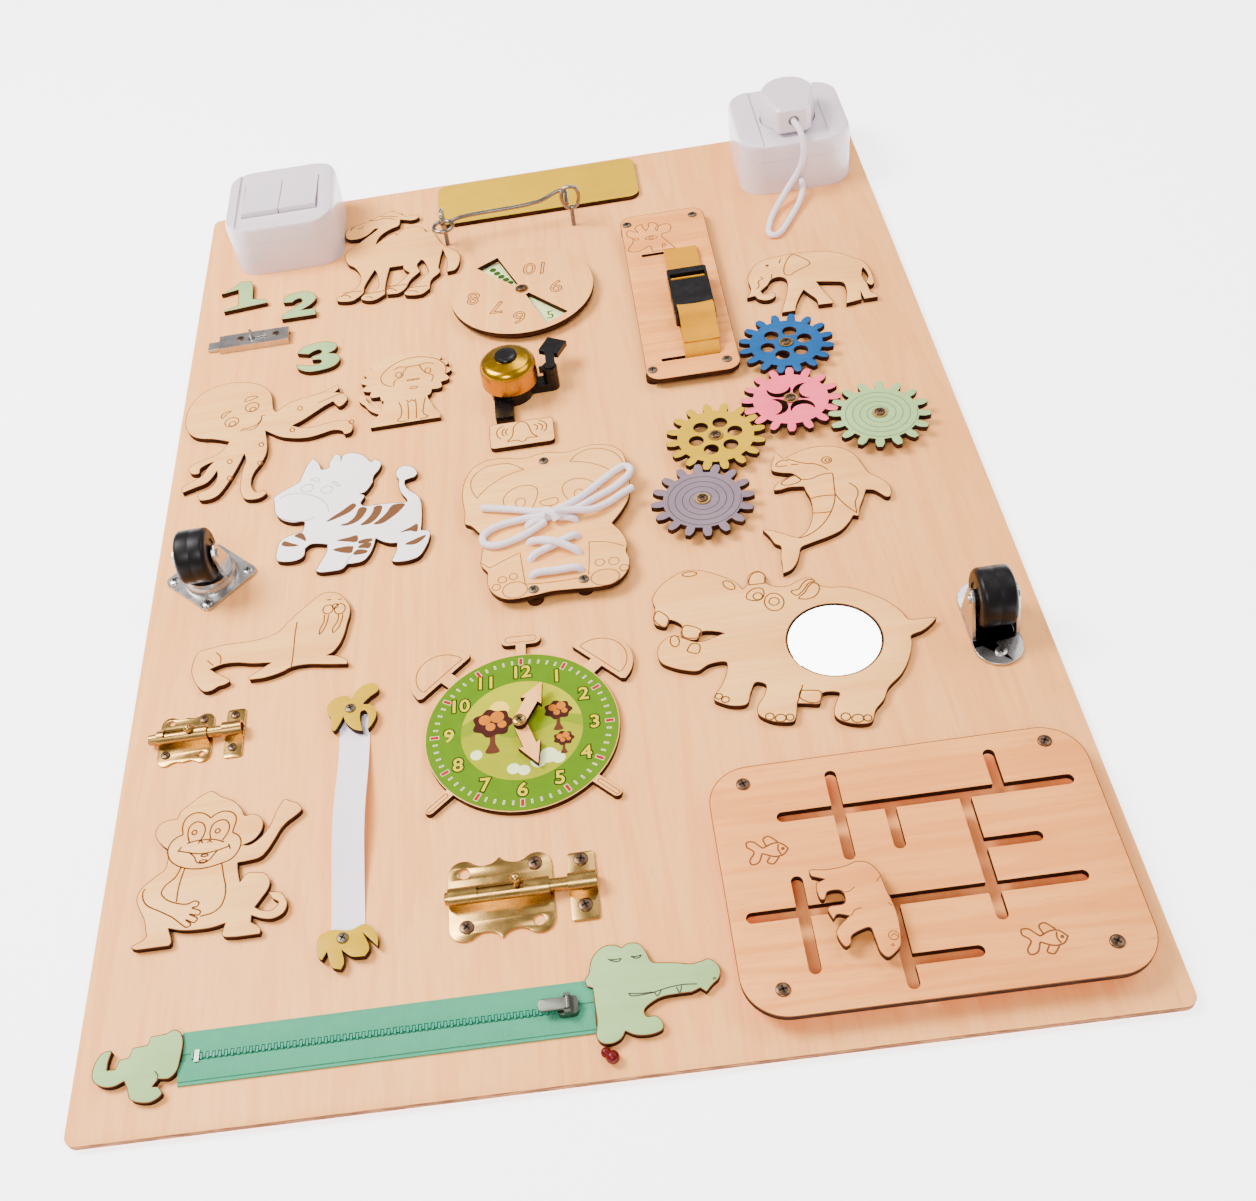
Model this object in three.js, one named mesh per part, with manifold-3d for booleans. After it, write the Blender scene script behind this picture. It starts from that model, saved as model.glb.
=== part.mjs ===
// A busy board: a sheet of plywood that carries switches, bolts, toothed wheels, casters, a bell,
// a zip, a buckle and flat wooden figures. Millimetres, X right, Y up the board, Z out of its face.
import * as THREE from "three";
import { mergeVertices } from "three/addons/utils/BufferGeometryUtils.js";
import Module from "manifold-3d";

const wasm = await Module();
wasm.setup();

// Sheets and shared clearances
const BOARD_W = 500;
const BOARD_H = 745;
const BOARD_T = 4;
const BOARD_CORNER = 6;
const PLY = 3.6;
const GAP = 0.3;
const OVER = 1;
const FACE = BOARD_T;

const board = new THREE.Group();

// Materials
const finish = (color, roughness, metalness = 0) => new THREE.MeshStandardMaterial({
  color, roughness, metalness,
});
const birch = finish(0xf3cfae, 0.62);
const whitePlastic = finish(0xf4f2f0, 0.25);
const blackPlastic = finish(0x17171a, 0.4);
const yellowPaint = finish(0xf6cf2a, 0.5);
const bluePaint = finish(0x2f8fcf, 0.5);
const pinkPaint = finish(0xf6aab4, 0.5);
const mintPaint = finish(0xcfe0bd, 0.55);
const lilacPaint = finish(0xb5a7b4, 0.55);
const greenPaint = finish(0x8db408, 0.5);
const whitePaint = finish(0xf7f1ea, 0.55);
const steel = finish(0xb8bac0, 0.28, 1);
const brass = finish(0xd9b45a, 0.25, 1);
const gold = finish(0xe6bf62, 0.18, 1);
const mirrorGlass = finish(0xe9eef2, 0.03, 1);
const orangeWeb = finish(0xf2a51c, 0.85);
const whiteCloth = finish(0xf1eef0, 0.9);
const tealCloth = finish(0x2f7f80, 0.9);
const blackRubber = finish(0x1d1d1f, 0.6);

// Closed mesh to solid and back
function solidOf(geometry) {
  const bare = geometry.clone();
  bare.deleteAttribute("normal");
  bare.deleteAttribute("uv");
  const welded = mergeVertices(bare);
  return new wasm.Manifold(new wasm.Mesh({
    numProp: 3,
    vertProperties: new Float32Array(welded.attributes.position.array),
    triVerts: new Uint32Array(welded.index.array),
  }));
}

const join = (...solids) => solids.reduce((sum, solid) => sum.add(solid));
const cut = (solid, ...tools) => tools.reduce((rest, tool) => rest.subtract(tool), solid);

function place(name, solid, material, parent = board) {
  const { vertProperties, triVerts, numProp } = solid.getMesh();
  const positions = new Float32Array(vertProperties.length / numProp * 3);
  for (let i = 0; i < positions.length / 3; i++) {
    positions.set(vertProperties.subarray(i * numProp, i * numProp + 3), i * 3);
  }
  const geometry = new THREE.BufferGeometry();
  geometry.setAttribute("position", new THREE.BufferAttribute(positions, 3));
  geometry.setIndex(new THREE.BufferAttribute(new Uint32Array(triVerts), 1));
  geometry.computeVertexNormals();
  const mesh = new THREE.Mesh(geometry, material);
  mesh.name = name;
  parent.add(mesh);
  return mesh;
}

// Prisms, drums and rods
const prism = (shape, bottom, height, x = 0, y = 0, curveSegments = 2) => solidOf(
  new THREE.ExtrudeGeometry(shape, { depth: height, bevelEnabled: false, curveSegments })
    .translate(x, y, bottom));
const drum = (radius, bottom, height, x, y, sides = 20) => solidOf(
  new THREE.CylinderGeometry(radius, radius, height, sides)
    .rotateX(Math.PI / 2)
    .translate(x, y, bottom + height / 2));
const rodX = (radius, x, length, y, z, sides = 16) => solidOf(
  new THREE.CylinderGeometry(radius, radius, length, sides)
    .rotateZ(Math.PI / 2)
    .translate(x + length / 2, y, z));
const block = (width, depth, height, x, y, bottom) => solidOf(
  new THREE.BoxGeometry(width, depth, height).translate(x, y, bottom + height / 2));
const ball = (radius, x, y, z, sides = 16) => solidOf(
  new THREE.SphereGeometry(radius, sides, sides / 2).rotateX(Math.PI / 2).translate(x, y, z));

// A profile drawn in Y and Z, drawn out along X
const alongX = (shape, x, length, curveSegments = 4) => solidOf(
  new THREE.ExtrudeGeometry(shape, { depth: length, bevelEnabled: false, curveSegments })
    .rotateX(Math.PI / 2)
    .rotateZ(Math.PI / 2)
    .translate(x, 0, 0));

// A profile of radius and height, turned round Z
const turned = (profile, x, y, sides = 20) => solidOf(
  new THREE.LatheGeometry(profile.map(([r, z]) => new THREE.Vector2(r, z)), sides)
    .rotateX(Math.PI / 2)
    .translate(x, y, 0));

function polygon(points) {
  return new THREE.Shape(points.map(([x, y]) => new THREE.Vector2(x, y)));
}

function roundedRect(width, height, radius, x = 0, y = 0) {
  const r = Math.min(radius, width / 2, height / 2);
  const left = x - width / 2;
  const low = y - height / 2;
  const shape = new THREE.Shape();
  shape.moveTo(left + r, low);
  shape.lineTo(left + width - r, low);
  shape.absarc(left + width - r, low + r, r, -Math.PI / 2, 0);
  shape.lineTo(left + width, low + height - r);
  shape.absarc(left + width - r, low + height - r, r, 0, Math.PI / 2);
  shape.lineTo(left + r, low + height);
  shape.absarc(left + r, low + height - r, r, Math.PI / 2, Math.PI);
  shape.lineTo(left, low + r);
  shape.absarc(left + r, low + r, r, Math.PI, Math.PI * 1.5);
  return shape;
}

// A closed outline through points given as shares of one side. A third value of 1 marks a sharp
// corner; between corners the line bends through its points.
function figure(shares, side, stepsPerSpan = 1) {
  const first = shares.findIndex((share) => share[2]);
  const turnedShares = [...shares.slice(first), ...shares.slice(0, first + 1)];
  const points = turnedShares.map(([x, y, sharp]) => ({ at: new THREE.Vector3(x * side, y * side, 0), sharp }));
  const outline = [];
  let run = [points[0].at];
  for (const { at, sharp } of points.slice(1)) {
    run.push(at);
    if (sharp) {
      const bend = new THREE.CatmullRomCurve3(run, false, "centripetal");
      const steps = run.length > 2 ? (run.length - 1) * stepsPerSpan : 1;
      outline.push(...bend.getPoints(steps).slice(0, -1));
      run = [at];
    }
  }
  return new THREE.Shape(outline.map(({ x, y }) => new THREE.Vector2(x, y)));
}

// A bar along points in space, as an extrusion of a round section
function wire(points, radius, sides, steps, bend = 0.5) {
  const section = new THREE.Shape();
  section.absarc(0, 0, radius, 0, Math.PI * 2);
  const corners = points.map((point) => new THREE.Vector3(...point));
  const path = new THREE.CatmullRomCurve3(corners, false, "catmullrom", bend);
  return solidOf(new THREE.ExtrudeGeometry(section, {
    steps, extrudePath: path, curveSegments: sides / 2, bevelEnabled: false,
  }));
}

// Figures glued flat on the board
const CAMEL_X = -100;
const CAMEL_Y = 280;
const CAMEL_SIDE = 100;
const camelShares = [
  [-0.06, 0.62, 1], [-0.02, 0.58], [0.05, 0.51], [0.14, 0.51], [0.145, 0.47], [0.10, 0.445], [0, 0.48, 1],
  [-0.01, 0.40], [-0.07, 0.37], [-0.135, 0.315], [-0.17, 0.25], [-0.183, 0.185, 1], [-0.13, 0.24],
  [-0.03, 0.30], [-0.015, 0.28, 1], [0.01, 0.32], [0.08, 0.35], [0.16, 0.33], [0.21, 0.26, 1], [0.24, 0.27, 1],
  [0.27, 0.20], [0.30, 0.11], [0.34, 0.03], [0.42, -0.05], [0.45, -0.15], [0.41, -0.295], [0.35, -0.305, 1],
  [0.355, -0.17], [0.325, -0.005, 1], [0.31, -0.08], [0.287, -0.24, 1], [0.30, -0.29], [0.235, -0.375],
  [0.22, -0.48, 1], [0.16, -0.535], [0.04, -0.51], [0.05, -0.465], [0.14, -0.39], [0.18, -0.33],
  [0.222, -0.28, 1], [0.18, -0.12], [0.16, -0.10, 1], [0.13, -0.16], [0.152, -0.25, 1], [0.08, -0.34],
  [0.04, -0.44], [-0.01, -0.48], [-0.085, -0.475, 1], [-0.09, -0.42], [-0.04, -0.395], [0.02, -0.33],
  [0.08, -0.25, 1], [0.03, -0.18], [0.03, -0.14, 1], [-0.075, -0.14, 1], [-0.093, -0.26], [-0.105, -0.38],
  [-0.105, -0.465, 1], [-0.17, -0.515], [-0.22, -0.52], [-0.28, -0.48], [-0.245, -0.425], [-0.17, -0.40],
  [-0.15, -0.35], [-0.155, -0.28], [-0.17, -0.18], [-0.185, -0.14, 1], [-0.23, -0.25], [-0.26, -0.34],
  [-0.265, -0.41], [-0.30, -0.455, 1], [-0.34, -0.485], [-0.40, -0.485], [-0.455, -0.46], [-0.46, -0.43],
  [-0.39, -0.39], [-0.31, -0.33], [-0.285, -0.22], [-0.33, -0.085], [-0.39, -0.01], [-0.41, 0.13],
  [-0.30, 0.25], [-0.18, 0.38], [-0.165, 0.405, 1], [-0.194, 0.406, 1], [-0.25, 0.333], [-0.30, 0.305],
  [-0.355, 0.30], [-0.40, 0.32], [-0.42, 0.39], [-0.39, 0.47], [-0.25, 0.51], [-0.16, 0.57],
];

const LION_X = -95;
const LION_Y = 120;
const LION_SIDE = 100;
const LION_TUFTS = 18;
const maneWideShare = 0.31;
const maneHighShare = 0.27;
const tuftShare = 0.87;
const lionBodyShares = [
  [-0.125, 0.02, 1], [-0.15, -0.10], [-0.17, -0.20], [-0.22, -0.27], [-0.235, -0.335, 1], [0.23, -0.33, 1],
  [0.22, -0.28], [0.19, -0.23], [0.17, -0.17], [0.15, -0.12], [0.13, 0.02, 1],
];
const lionTailShares = [
  [-0.16, -0.16, 1], [-0.22, -0.12], [-0.265, -0.05], [-0.27, -0.01, 1], [-0.30, 0.02], [-0.32, -0.03],
  [-0.30, -0.07], [-0.275, -0.10], [-0.24, -0.16], [-0.17, -0.22, 1],
];

const OCTOPUS_X = -190;
const OCTOPUS_Y = 90;
const OCTOPUS_SIDE = 100;
const octopusShares = [
  [-0.228, 0.038, 1], [-0.338, 0.088], [-0.425, 0.113], [-0.488, 0.15], [-0.544, 0.25], [-0.55, 0.41],
  [-0.50, 0.55], [-0.40, 0.638], [-0.238, 0.66], [-0.088, 0.61], [0.012, 0.50], [0.05, 0.30], [0.07, 0.275, 1],
  [0.14, 0.34], [0.22, 0.37], [0.30, 0.39], [0.40, 0.42], [0.48, 0.47, 1], [0.49, 0.43], [0.46, 0.39, 1],
  [0.51, 0.37], [0.55, 0.32], [0.54, 0.27], [0.50, 0.235], [0.455, 0.30, 1], [0.40, 0.265], [0.32, 0.20],
  [0.25, 0.145], [0.185, 0.108, 1], [0.23, 0.08], [0.30, 0.06], [0.40, 0.075], [0.48, 0.085], [0.55, 0.08],
  [0.59, 0.03], [0.595, -0.02], [0.58, -0.05], [0.545, -0.06, 1], [0.525, -0.02], [0.462, 0], [0.39, -0.02],
  [0.30, -0.037], [0.212, -0.025], [0.112, 0.013], [0.005, 0.10, 1], [0.03, -0.062], [0.025, -0.15],
  [0, -0.225], [-0.038, -0.30], [-0.053, -0.375], [-0.044, -0.45], [-0.01, -0.50], [0.037, -0.487, 1],
  [0.056, -0.515], [0.03, -0.55], [-0.025, -0.562], [-0.08, -0.544], [-0.113, -0.475], [-0.12, -0.375],
  [-0.113, -0.25], [-0.10, -0.175], [-0.12, -0.10, 1], [-0.138, -0.175], [-0.175, -0.29], [-0.219, -0.40],
  [-0.263, -0.475], [-0.31, -0.50], [-0.375, -0.495], [-0.394, -0.45], [-0.38, -0.42, 1], [-0.338, -0.412],
  [-0.294, -0.362], [-0.28, -0.29], [-0.288, -0.23, 1], [-0.313, -0.29], [-0.35, -0.34], [-0.425, -0.37],
  [-0.50, -0.40, 1], [-0.506, -0.35], [-0.45, -0.312], [-0.38, -0.262], [-0.355, -0.20], [-0.315, -0.14, 1],
  [-0.36, -0.155], [-0.405, -0.19], [-0.41, -0.235], [-0.455, -0.23], [-0.48, -0.18], [-0.44, -0.13],
  [-0.37, -0.105], [-0.30, -0.075], [-0.25, -0.01],
];

const ZEBRA_X = -130;
const ZEBRA_Y = 10;
const ZEBRA_SIDE = 100;
const zebraShares = [
  [-0.486, 0.18], [-0.489, 0.225], [-0.45, 0.26], [-0.40, 0.294], [-0.333, 0.339], [-0.322, 0.378],
  [-0.289, 0.489], [-0.256, 0.544, 1], [-0.217, 0.489], [-0.198, 0.424, 1], [-0.15, 0.428], [-0.144, 0.478],
  [-0.11, 0.556, 1], [-0.078, 0.533], [-0.072, 0.478, 1], [-0.056, 0.533], [0, 0.544], [0.056, 0.517],
  [0.089, 0.483, 1], [0.128, 0.428], [0.15, 0.45, 1], [0.189, 0.411], [0.183, 0.356], [0.144, 0.289],
  [0.139, 0.233, 1], [0.094, 0.156], [0.056, 0.144, 1], [0.09, 0.12], [0.067, 0.056], [0.09, 0.028],
  [0.178, 0.022], [0.267, 0.017], [0.361, 0.009], [0.322, 0.10], [0.306, 0.167], [0.306, 0.222],
  [0.288, 0.27], [0.295, 0.315], [0.33, 0.344], [0.367, 0.339], [0.406, 0.306], [0.422, 0.256],
  [0.406, 0.228, 1], [0.344, 0.211, 1], [0.344, 0.167], [0.372, 0.11], [0.422, 0.056], [0.444, 0],
  [0.45, -0.078], [0.45, -0.167], [0.444, -0.26, 1], [0.494, -0.278], [0.494, -0.344], [0.467, -0.422],
  [0.433, -0.478], [0.378, -0.50], [0.289, -0.498], [0.267, -0.483, 1], [0.294, -0.411], [0.302, -0.339, 1],
  [0.256, -0.333], [0.211, -0.31], [0.167, -0.272, 1], [0.156, -0.333], [0.128, -0.41], [0.094, -0.45],
  [0.033, -0.46], [0, -0.456, 1], [-0.033, -0.494], [-0.10, -0.50], [-0.167, -0.494], [-0.194, -0.478, 1],
  [-0.16, -0.40], [-0.133, -0.333], [-0.128, -0.267, 1], [-0.178, -0.25], [-0.233, -0.244],
  [-0.267, -0.272, 1], [-0.272, -0.333], [-0.30, -0.36], [-0.367, -0.367], [-0.433, -0.344],
  [-0.444, -0.30], [-0.428, -0.189], [-0.389, -0.15], [-0.289, -0.122, 1], [-0.283, -0.039], [-0.356, -0.028],
  [-0.422, 0.006], [-0.467, 0.067],
];

const PANDA_X = 0;
const PANDA_Y = -28.6;
const PANDA_SIDE = 100;
const PANDA_LIFT = 5;
const pandaShares = [
  [-0.588, 0.30], [-0.58, 0.40], [-0.56, 0.47], [-0.51, 0.56], [-0.425, 0.606], [-0.325, 0.606], [-0.20, 0.575],
  [-0.075, 0.60], [0.075, 0.575], [0.225, 0.61], [0.35, 0.575], [0.41, 0.50], [0.425, 0.40], [0.43, 0.30],
  [0.425, 0.20], [0.41, 0.10], [0.36, 0], [0.288, -0.10, 1], [0.338, -0.188], [0.36, -0.275], [0.348, -0.35],
  [0.36, -0.40], [0.35, -0.475], [0.30, -0.55], [0.225, -0.588], [0, -0.58], [-0.10, -0.575], [-0.20, -0.588],
  [-0.35, -0.59], [-0.425, -0.538], [-0.46, -0.45], [-0.456, -0.36, 1], [-0.494, -0.288], [-0.488, -0.225],
  [-0.47, -0.10], [-0.475, -0.06, 1], [-0.538, 0.04], [-0.58, 0.075], [-0.575, 0.15],
];
const pandaScrewShares = [[-0.075, 0.525], [-0.20, -0.545], [0.09, -0.52]];

const ELEPHANT_X = 185;
const ELEPHANT_Y = 175;
const ELEPHANT_SIDE = 100;
const elephantShares = [
  [-0.405, -0.03], [-0.405, 0.10], [-0.37, 0.19], [-0.32, 0.26], [-0.24, 0.30], [-0.15, 0.31], [-0.05, 0.32],
  [0.07, 0.31], [0.19, 0.28], [0.28, 0.22], [0.34, 0.16], [0.39, 0.11], [0.415, 0], [0.415, -0.11],
  [0.41, -0.15], [0.386, -0.17], [0.36, -0.13, 1], [0.39, -0.07], [0.373, 0.04], [0.345, -0.05, 1],
  [0.36, -0.15], [0.37, -0.25], [0.40, -0.275, 1], [0.40, -0.31, 1], [0.31, -0.31, 1], [0.305, -0.205, 1],
  [0.29, -0.31, 1], [0.185, -0.33, 1], [0.218, -0.18], [0.21, -0.095], [0.15, -0.07], [0.036, -0.04, 1],
  [0.07, -0.17], [0.105, -0.28, 1], [0.10, -0.305, 1], [0.005, -0.30, 1], [0.005, -0.24], [-0.03, -0.17],
  [-0.06, -0.11, 1], [-0.10, -0.18], [-0.14, -0.27], [-0.155, -0.325, 1], [-0.245, -0.325, 1], [-0.22, -0.25],
  [-0.19, -0.17], [-0.15, 0], [-0.16, 0.05], [-0.20, 0.075], [-0.25, 0.06], [-0.29, 0], [-0.345, -0.055, 1],
  [-0.33, -0.10], [-0.27, -0.09], [-0.25, -0.12], [-0.285, -0.16], [-0.33, -0.165], [-0.37, -0.14],
  [-0.39, -0.10, 1], [-0.445, -0.11, 1],
];

const DOLPHIN_X = 155;
const DOLPHIN_Y = -40;
const DOLPHIN_SIDE = 100;
const dolphinShares = [
  [-0.26, 0.37], [-0.27, 0.34], [-0.265, 0.31], [-0.21, 0.28], [-0.16, 0.265], [-0.14, 0.245, 1],
  [-0.22, 0.22], [-0.27, 0.18], [-0.285, 0.145], [-0.25, 0.14], [-0.20, 0.15], [-0.15, 0.145], [-0.11, 0.135],
  [-0.105, 0.10], [-0.092, 0.03], [-0.10, -0.09], [-0.14, -0.20], [-0.18, -0.25], [-0.22, -0.27], [-0.30, -0.22],
  [-0.37, -0.18], [-0.405, -0.17, 1], [-0.375, -0.23], [-0.355, -0.29], [-0.325, -0.32], [-0.34, -0.40],
  [-0.342, -0.46], [-0.35, -0.53, 1], [-0.30, -0.51], [-0.26, -0.46], [-0.235, -0.40], [-0.215, -0.35],
  [-0.15, -0.325], [-0.05, -0.295], [0.03, -0.26], [0.09, -0.20], [0.12, -0.155, 1], [0.15, -0.165, 1],
  [0.17, -0.10], [0.20, -0.04], [0.235, 0.04, 1], [0.28, 0.025], [0.34, -0.045], [0.36, -0.04], [0.375, 0.04],
  [0.34, 0.11], [0.28, 0.18], [0.26, 0.25], [0.23, 0.35], [0.17, 0.42], [0.07, 0.46], [-0.03, 0.46],
  [-0.12, 0.43], [-0.185, 0.40, 1], [-0.225, 0.47, 1], [-0.24, 0.42, 1],
];

const HIPPO_X = 120;
const HIPPO_Y = -140;
const HIPPO_SIDE = 100;
const hippoShares = [
  [-0.744, 0.41], [-0.737, 0.34], [-0.756, 0.262], [-0.744, 0.22], [-0.694, 0.20], [-0.67, 0.244],
  [-0.606, 0.19], [-0.62, 0.125], [-0.60, 0.094], [-0.54, 0.075], [-0.512, 0.125], [-0.42, 0.11],
  [-0.385, 0.09, 1], [-0.54, 0.055], [-0.662, 0.125], [-0.725, 0.094], [-0.76, 0.025], [-0.75, -0.05],
  [-0.70, -0.094], [-0.625, -0.13], [-0.562, -0.144], [-0.50, -0.11], [-0.406, -0.11], [-0.412, -0.175],
  [-0.45, -0.26], [-0.494, -0.32], [-0.506, -0.35], [-0.462, -0.388], [-0.412, -0.41], [-0.344, -0.41],
  [-0.312, -0.338], [-0.275, -0.275], [-0.225, -0.30], [-0.24, -0.36], [-0.29, -0.438], [-0.294, -0.488],
  [-0.24, -0.538], [-0.175, -0.56], [-0.125, -0.56], [-0.10, -0.50], [-0.09, -0.45, 1], [-0.04, -0.46],
  [0.025, -0.47], [0.05, -0.406], [0.138, -0.42], [0.11, -0.475], [0.085, -0.55], [0.10, -0.588],
  [0.16, -0.625], [0.225, -0.638], [0.26, -0.63], [0.294, -0.56], [0.35, -0.50], [0.388, -0.43],
  [0.475, -0.35], [0.538, -0.25], [0.575, -0.15], [0.58, -0.106], [0.65, -0.08], [0.71, -0.038],
  [0.74, -0.006, 1], [0.675, 0], [0.594, 0.01], [0.57, 0.07], [0.51, 0.16], [0.42, 0.24], [0.32, 0.30],
  [0.22, 0.32], [0.17, 0.35], [0.14, 0.41], [0.08, 0.40], [0.01, 0.37], [-0.06, 0.38], [-0.11, 0.42],
  [-0.105, 0.48], [-0.14, 0.515], [-0.19, 0.49], [-0.21, 0.42], [-0.24, 0.39, 1], [-0.27, 0.45],
  [-0.35, 0.52], [-0.45, 0.58], [-0.54, 0.595], [-0.63, 0.55], [-0.70, 0.49],
];
const MIRROR_X = 138.3;
const MIRROR_Y = -145.7;
const MIRROR_R = 25.5;
const MIRROR_T = 3;

const WALRUS_X = -170;
const WALRUS_Y = -90;
const WALRUS_SIDE = 100;
const walrusShares = [
  [0.28, 0.33], [0.35, 0.31], [0.39, 0.26], [0.42, 0.20], [0.425, 0.14], [0.41, 0.06], [0.395, -0.02],
  [0.37, -0.09], [0.335, -0.14], [0.298, -0.16, 1], [0.37, -0.18], [0.42, -0.22], [0.42, -0.245, 1],
  [0.30, -0.225], [0.19, -0.205], [0.10, -0.21], [0.05, -0.235], [-0.05, -0.26], [-0.135, -0.26, 1],
  [-0.14, -0.24, 1], [-0.08, -0.20], [-0.015, -0.155, 1], [-0.13, -0.14], [-0.22, -0.118], [-0.30, -0.115],
  [-0.375, -0.14, 1], [-0.33, -0.18], [-0.255, -0.235, 1], [-0.25, -0.25], [-0.28, -0.27], [-0.31, -0.275, 1],
  [-0.35, -0.30], [-0.39, -0.30], [-0.435, -0.25], [-0.46, -0.20], [-0.48, -0.12], [-0.45, 0], [-0.37, 0.02],
  [-0.31, 0.03], [-0.13, 0.03], [-0.05, 0.045], [0.01, 0.07], [0.05, 0.12], [0.11, 0.19], [0.18, 0.26],
  [0.23, 0.31],
];

const MONKEY_X = -190;
const MONKEY_Y = -240;
const MONKEY_SIDE = 100;
const monkeyShares = [
  [-0.14, 0.475], [-0.08, 0.50], [-0.03, 0.46], [0.04, 0.42], [0.09, 0.36], [0.112, 0.315], [0.15, 0.32],
  [0.19, 0.30], [0.21, 0.26], [0.205, 0.21], [0.17, 0.16], [0.11, 0.135, 1], [0.15, 0.13], [0.20, 0.16],
  [0.25, 0.23], [0.28, 0.32], [0.32, 0.385], [0.35, 0.365, 1], [0.385, 0.35], [0.41, 0.31], [0.38, 0.275],
  [0.34, 0.245], [0.31, 0.21], [0.28, 0.15], [0.24, 0.08], [0.21, 0.05], [0.15, 0.038], [0.095, 0.035, 1],
  [0.10, -0.01], [0.117, -0.085, 1], [0.15, -0.04], [0.20, -0.04], [0.245, -0.055], [0.27, -0.10],
  [0.265, -0.14], [0.235, -0.19], [0.202, -0.24, 1], [0.24, -0.262], [0.29, -0.27], [0.325, -0.23],
  [0.29, -0.20], [0.27, -0.165, 1], [0.33, -0.175], [0.365, -0.24], [0.35, -0.29], [0.30, -0.315],
  [0.24, -0.305], [0.19, -0.28, 1], [0.19, -0.32, 1], [0.24, -0.36], [0.24, -0.39, 1], [0.12, -0.39, 1],
  [0.055, -0.375], [0.065, -0.305, 1], [0, -0.32], [-0.07, -0.322], [-0.15, -0.315], [-0.225, -0.292, 1],
  [-0.20, -0.375], [-0.21, -0.39, 1], [-0.37, -0.39, 1], [-0.40, -0.375], [-0.33, -0.33], [-0.335, -0.29],
  [-0.35, -0.23], [-0.39, -0.15], [-0.405, -0.10], [-0.39, -0.05], [-0.33, 0.01], [-0.28, 0.05],
  [-0.27, 0.11], [-0.28, 0.17], [-0.30, 0.19, 1], [-0.335, 0.23], [-0.355, 0.28], [-0.34, 0.33],
  [-0.30, 0.35], [-0.25, 0.35, 1], [-0.23, 0.40], [-0.19, 0.435],
];

const CROC_HEAD_X = 20;
const CROC_HEAD_Y = -335;
const CROC_HEAD_SIDE = 100;
const crocHeadShares = [
  [-0.306, 0.062, 1], [-0.313, 0.094], [-0.294, 0.12], [-0.275, 0.19], [-0.25, 0.225], [-0.213, 0.25],
  [-0.162, 0.25], [-0.131, 0.23, 1], [-0.10, 0.25], [-0.05, 0.24], [-0.025, 0.20], [0, 0.14], [0.05, 0.13],
  [0.11, 0.12], [0.175, 0.106], [0.22, 0.112], [0.256, 0.12], [0.288, 0.094], [0.30, 0.06], [0.288, 0.02],
  [0.256, -0.006], [0.225, -0.038, 1], [0.20, -0.015, 1], [0.16, -0.03, 1], [0.10, -0.03], [0.025, -0.035],
  [-0.025, -0.056], [-0.062, -0.088], [-0.056, -0.12], [-0.012, -0.125], [0.01, -0.15], [0.01, -0.188],
  [-0.04, -0.206], [-0.112, -0.20], [-0.156, -0.175, 1], [-0.175, -0.206], [-0.213, -0.225], [-0.26, -0.22],
  [-0.284, -0.188], [-0.275, -0.125], [-0.278, -0.025], [-0.28, 0.05, 1],
];

const CROC_TAIL_X = -220;
const CROC_TAIL_Y = -340;
const CROC_TAIL_SIDE = 100;
const crocTailShares = [
  [-0.119, 0.094, 1], [-0.16, 0.09], [-0.194, 0.025], [-0.188, -0.038], [-0.138, -0.075], [-0.088, -0.08],
  [-0.038, -0.06, 1], [-0.019, -0.10], [0, -0.15], [0.04, -0.17], [0.10, -0.175], [0.144, -0.144],
  [0.125, -0.11, 1], [0.094, -0.106, 1], [0.12, -0.07, 1], [0.17, -0.073], [0.20, -0.044], [0.212, 0.025],
  [0.215, 0.10], [0.20, 0.144, 1], [0.17, 0.16], [0.131, 0.144, 1], [0.062, 0.14, 1], [0.05, 0.10, 1],
  [-0.019, 0.094, 1], [-0.03, 0.05, 1], [-0.075, 0.044, 1], [-0.088, 0, 1], [-0.13, 0, 1], [-0.13, 0.04],
];

const BANANA_TOP_X = -124;
const BANANA_TOP_Y = -148;
const BANANA_TOP_SIDE = 20;
const bananaTopShares = [
  [-0.66, -0.07], [-0.69, 0.18], [-0.58, 0.37], [-0.35, 0.485], [-0.135, 0.455], [-0.035, 0.30, 1],
  [0.09, 0.565], [0.31, 0.76], [0.535, 0.815], [0.67, 0.705], [0.71, 0.51], [0.48, 0.315], [0.31, 0.10],
  [0.505, 0.05], [0.65, -0.15], [0.67, -0.38], [0.56, -0.65], [0.45, -0.795, 1], [0.45, -0.32], [0.365, -0.13],
  [0.255, -0.15], [0.23, -0.38], [0.31, -0.82, 1], [0.09, -0.74], [-0.135, -0.49], [-0.23, -0.24, 1],
  [-0.33, -0.49], [-0.465, -0.70], [-0.55, -0.60, 1], [-0.58, -0.25],
];

const BANANA_LOW_X = -122;
const BANANA_LOW_Y = -292;
const BANANA_LOW_SIDE = 20;
const bananaLowShares = [
  [-0.75, 0.10], [-0.72, 0.315], [-0.435, 0.45], [0.065, 0.385], [0.35, 0.505], [0.565, 0.385], [0.72, 0.10],
  [0.72, -0.15, 1], [0.565, 0.03], [0.35, 0.28, 1], [0.52, -0.18], [0.42, -0.365, 1], [0.10, -0.33],
  [-0.15, -0.115, 1], [-0.08, -0.47], [-0.15, -0.635, 1], [-0.365, -0.545], [-0.50, -0.115, 1],
  [-0.615, -0.33, 1], [-0.72, -0.22],
];

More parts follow.
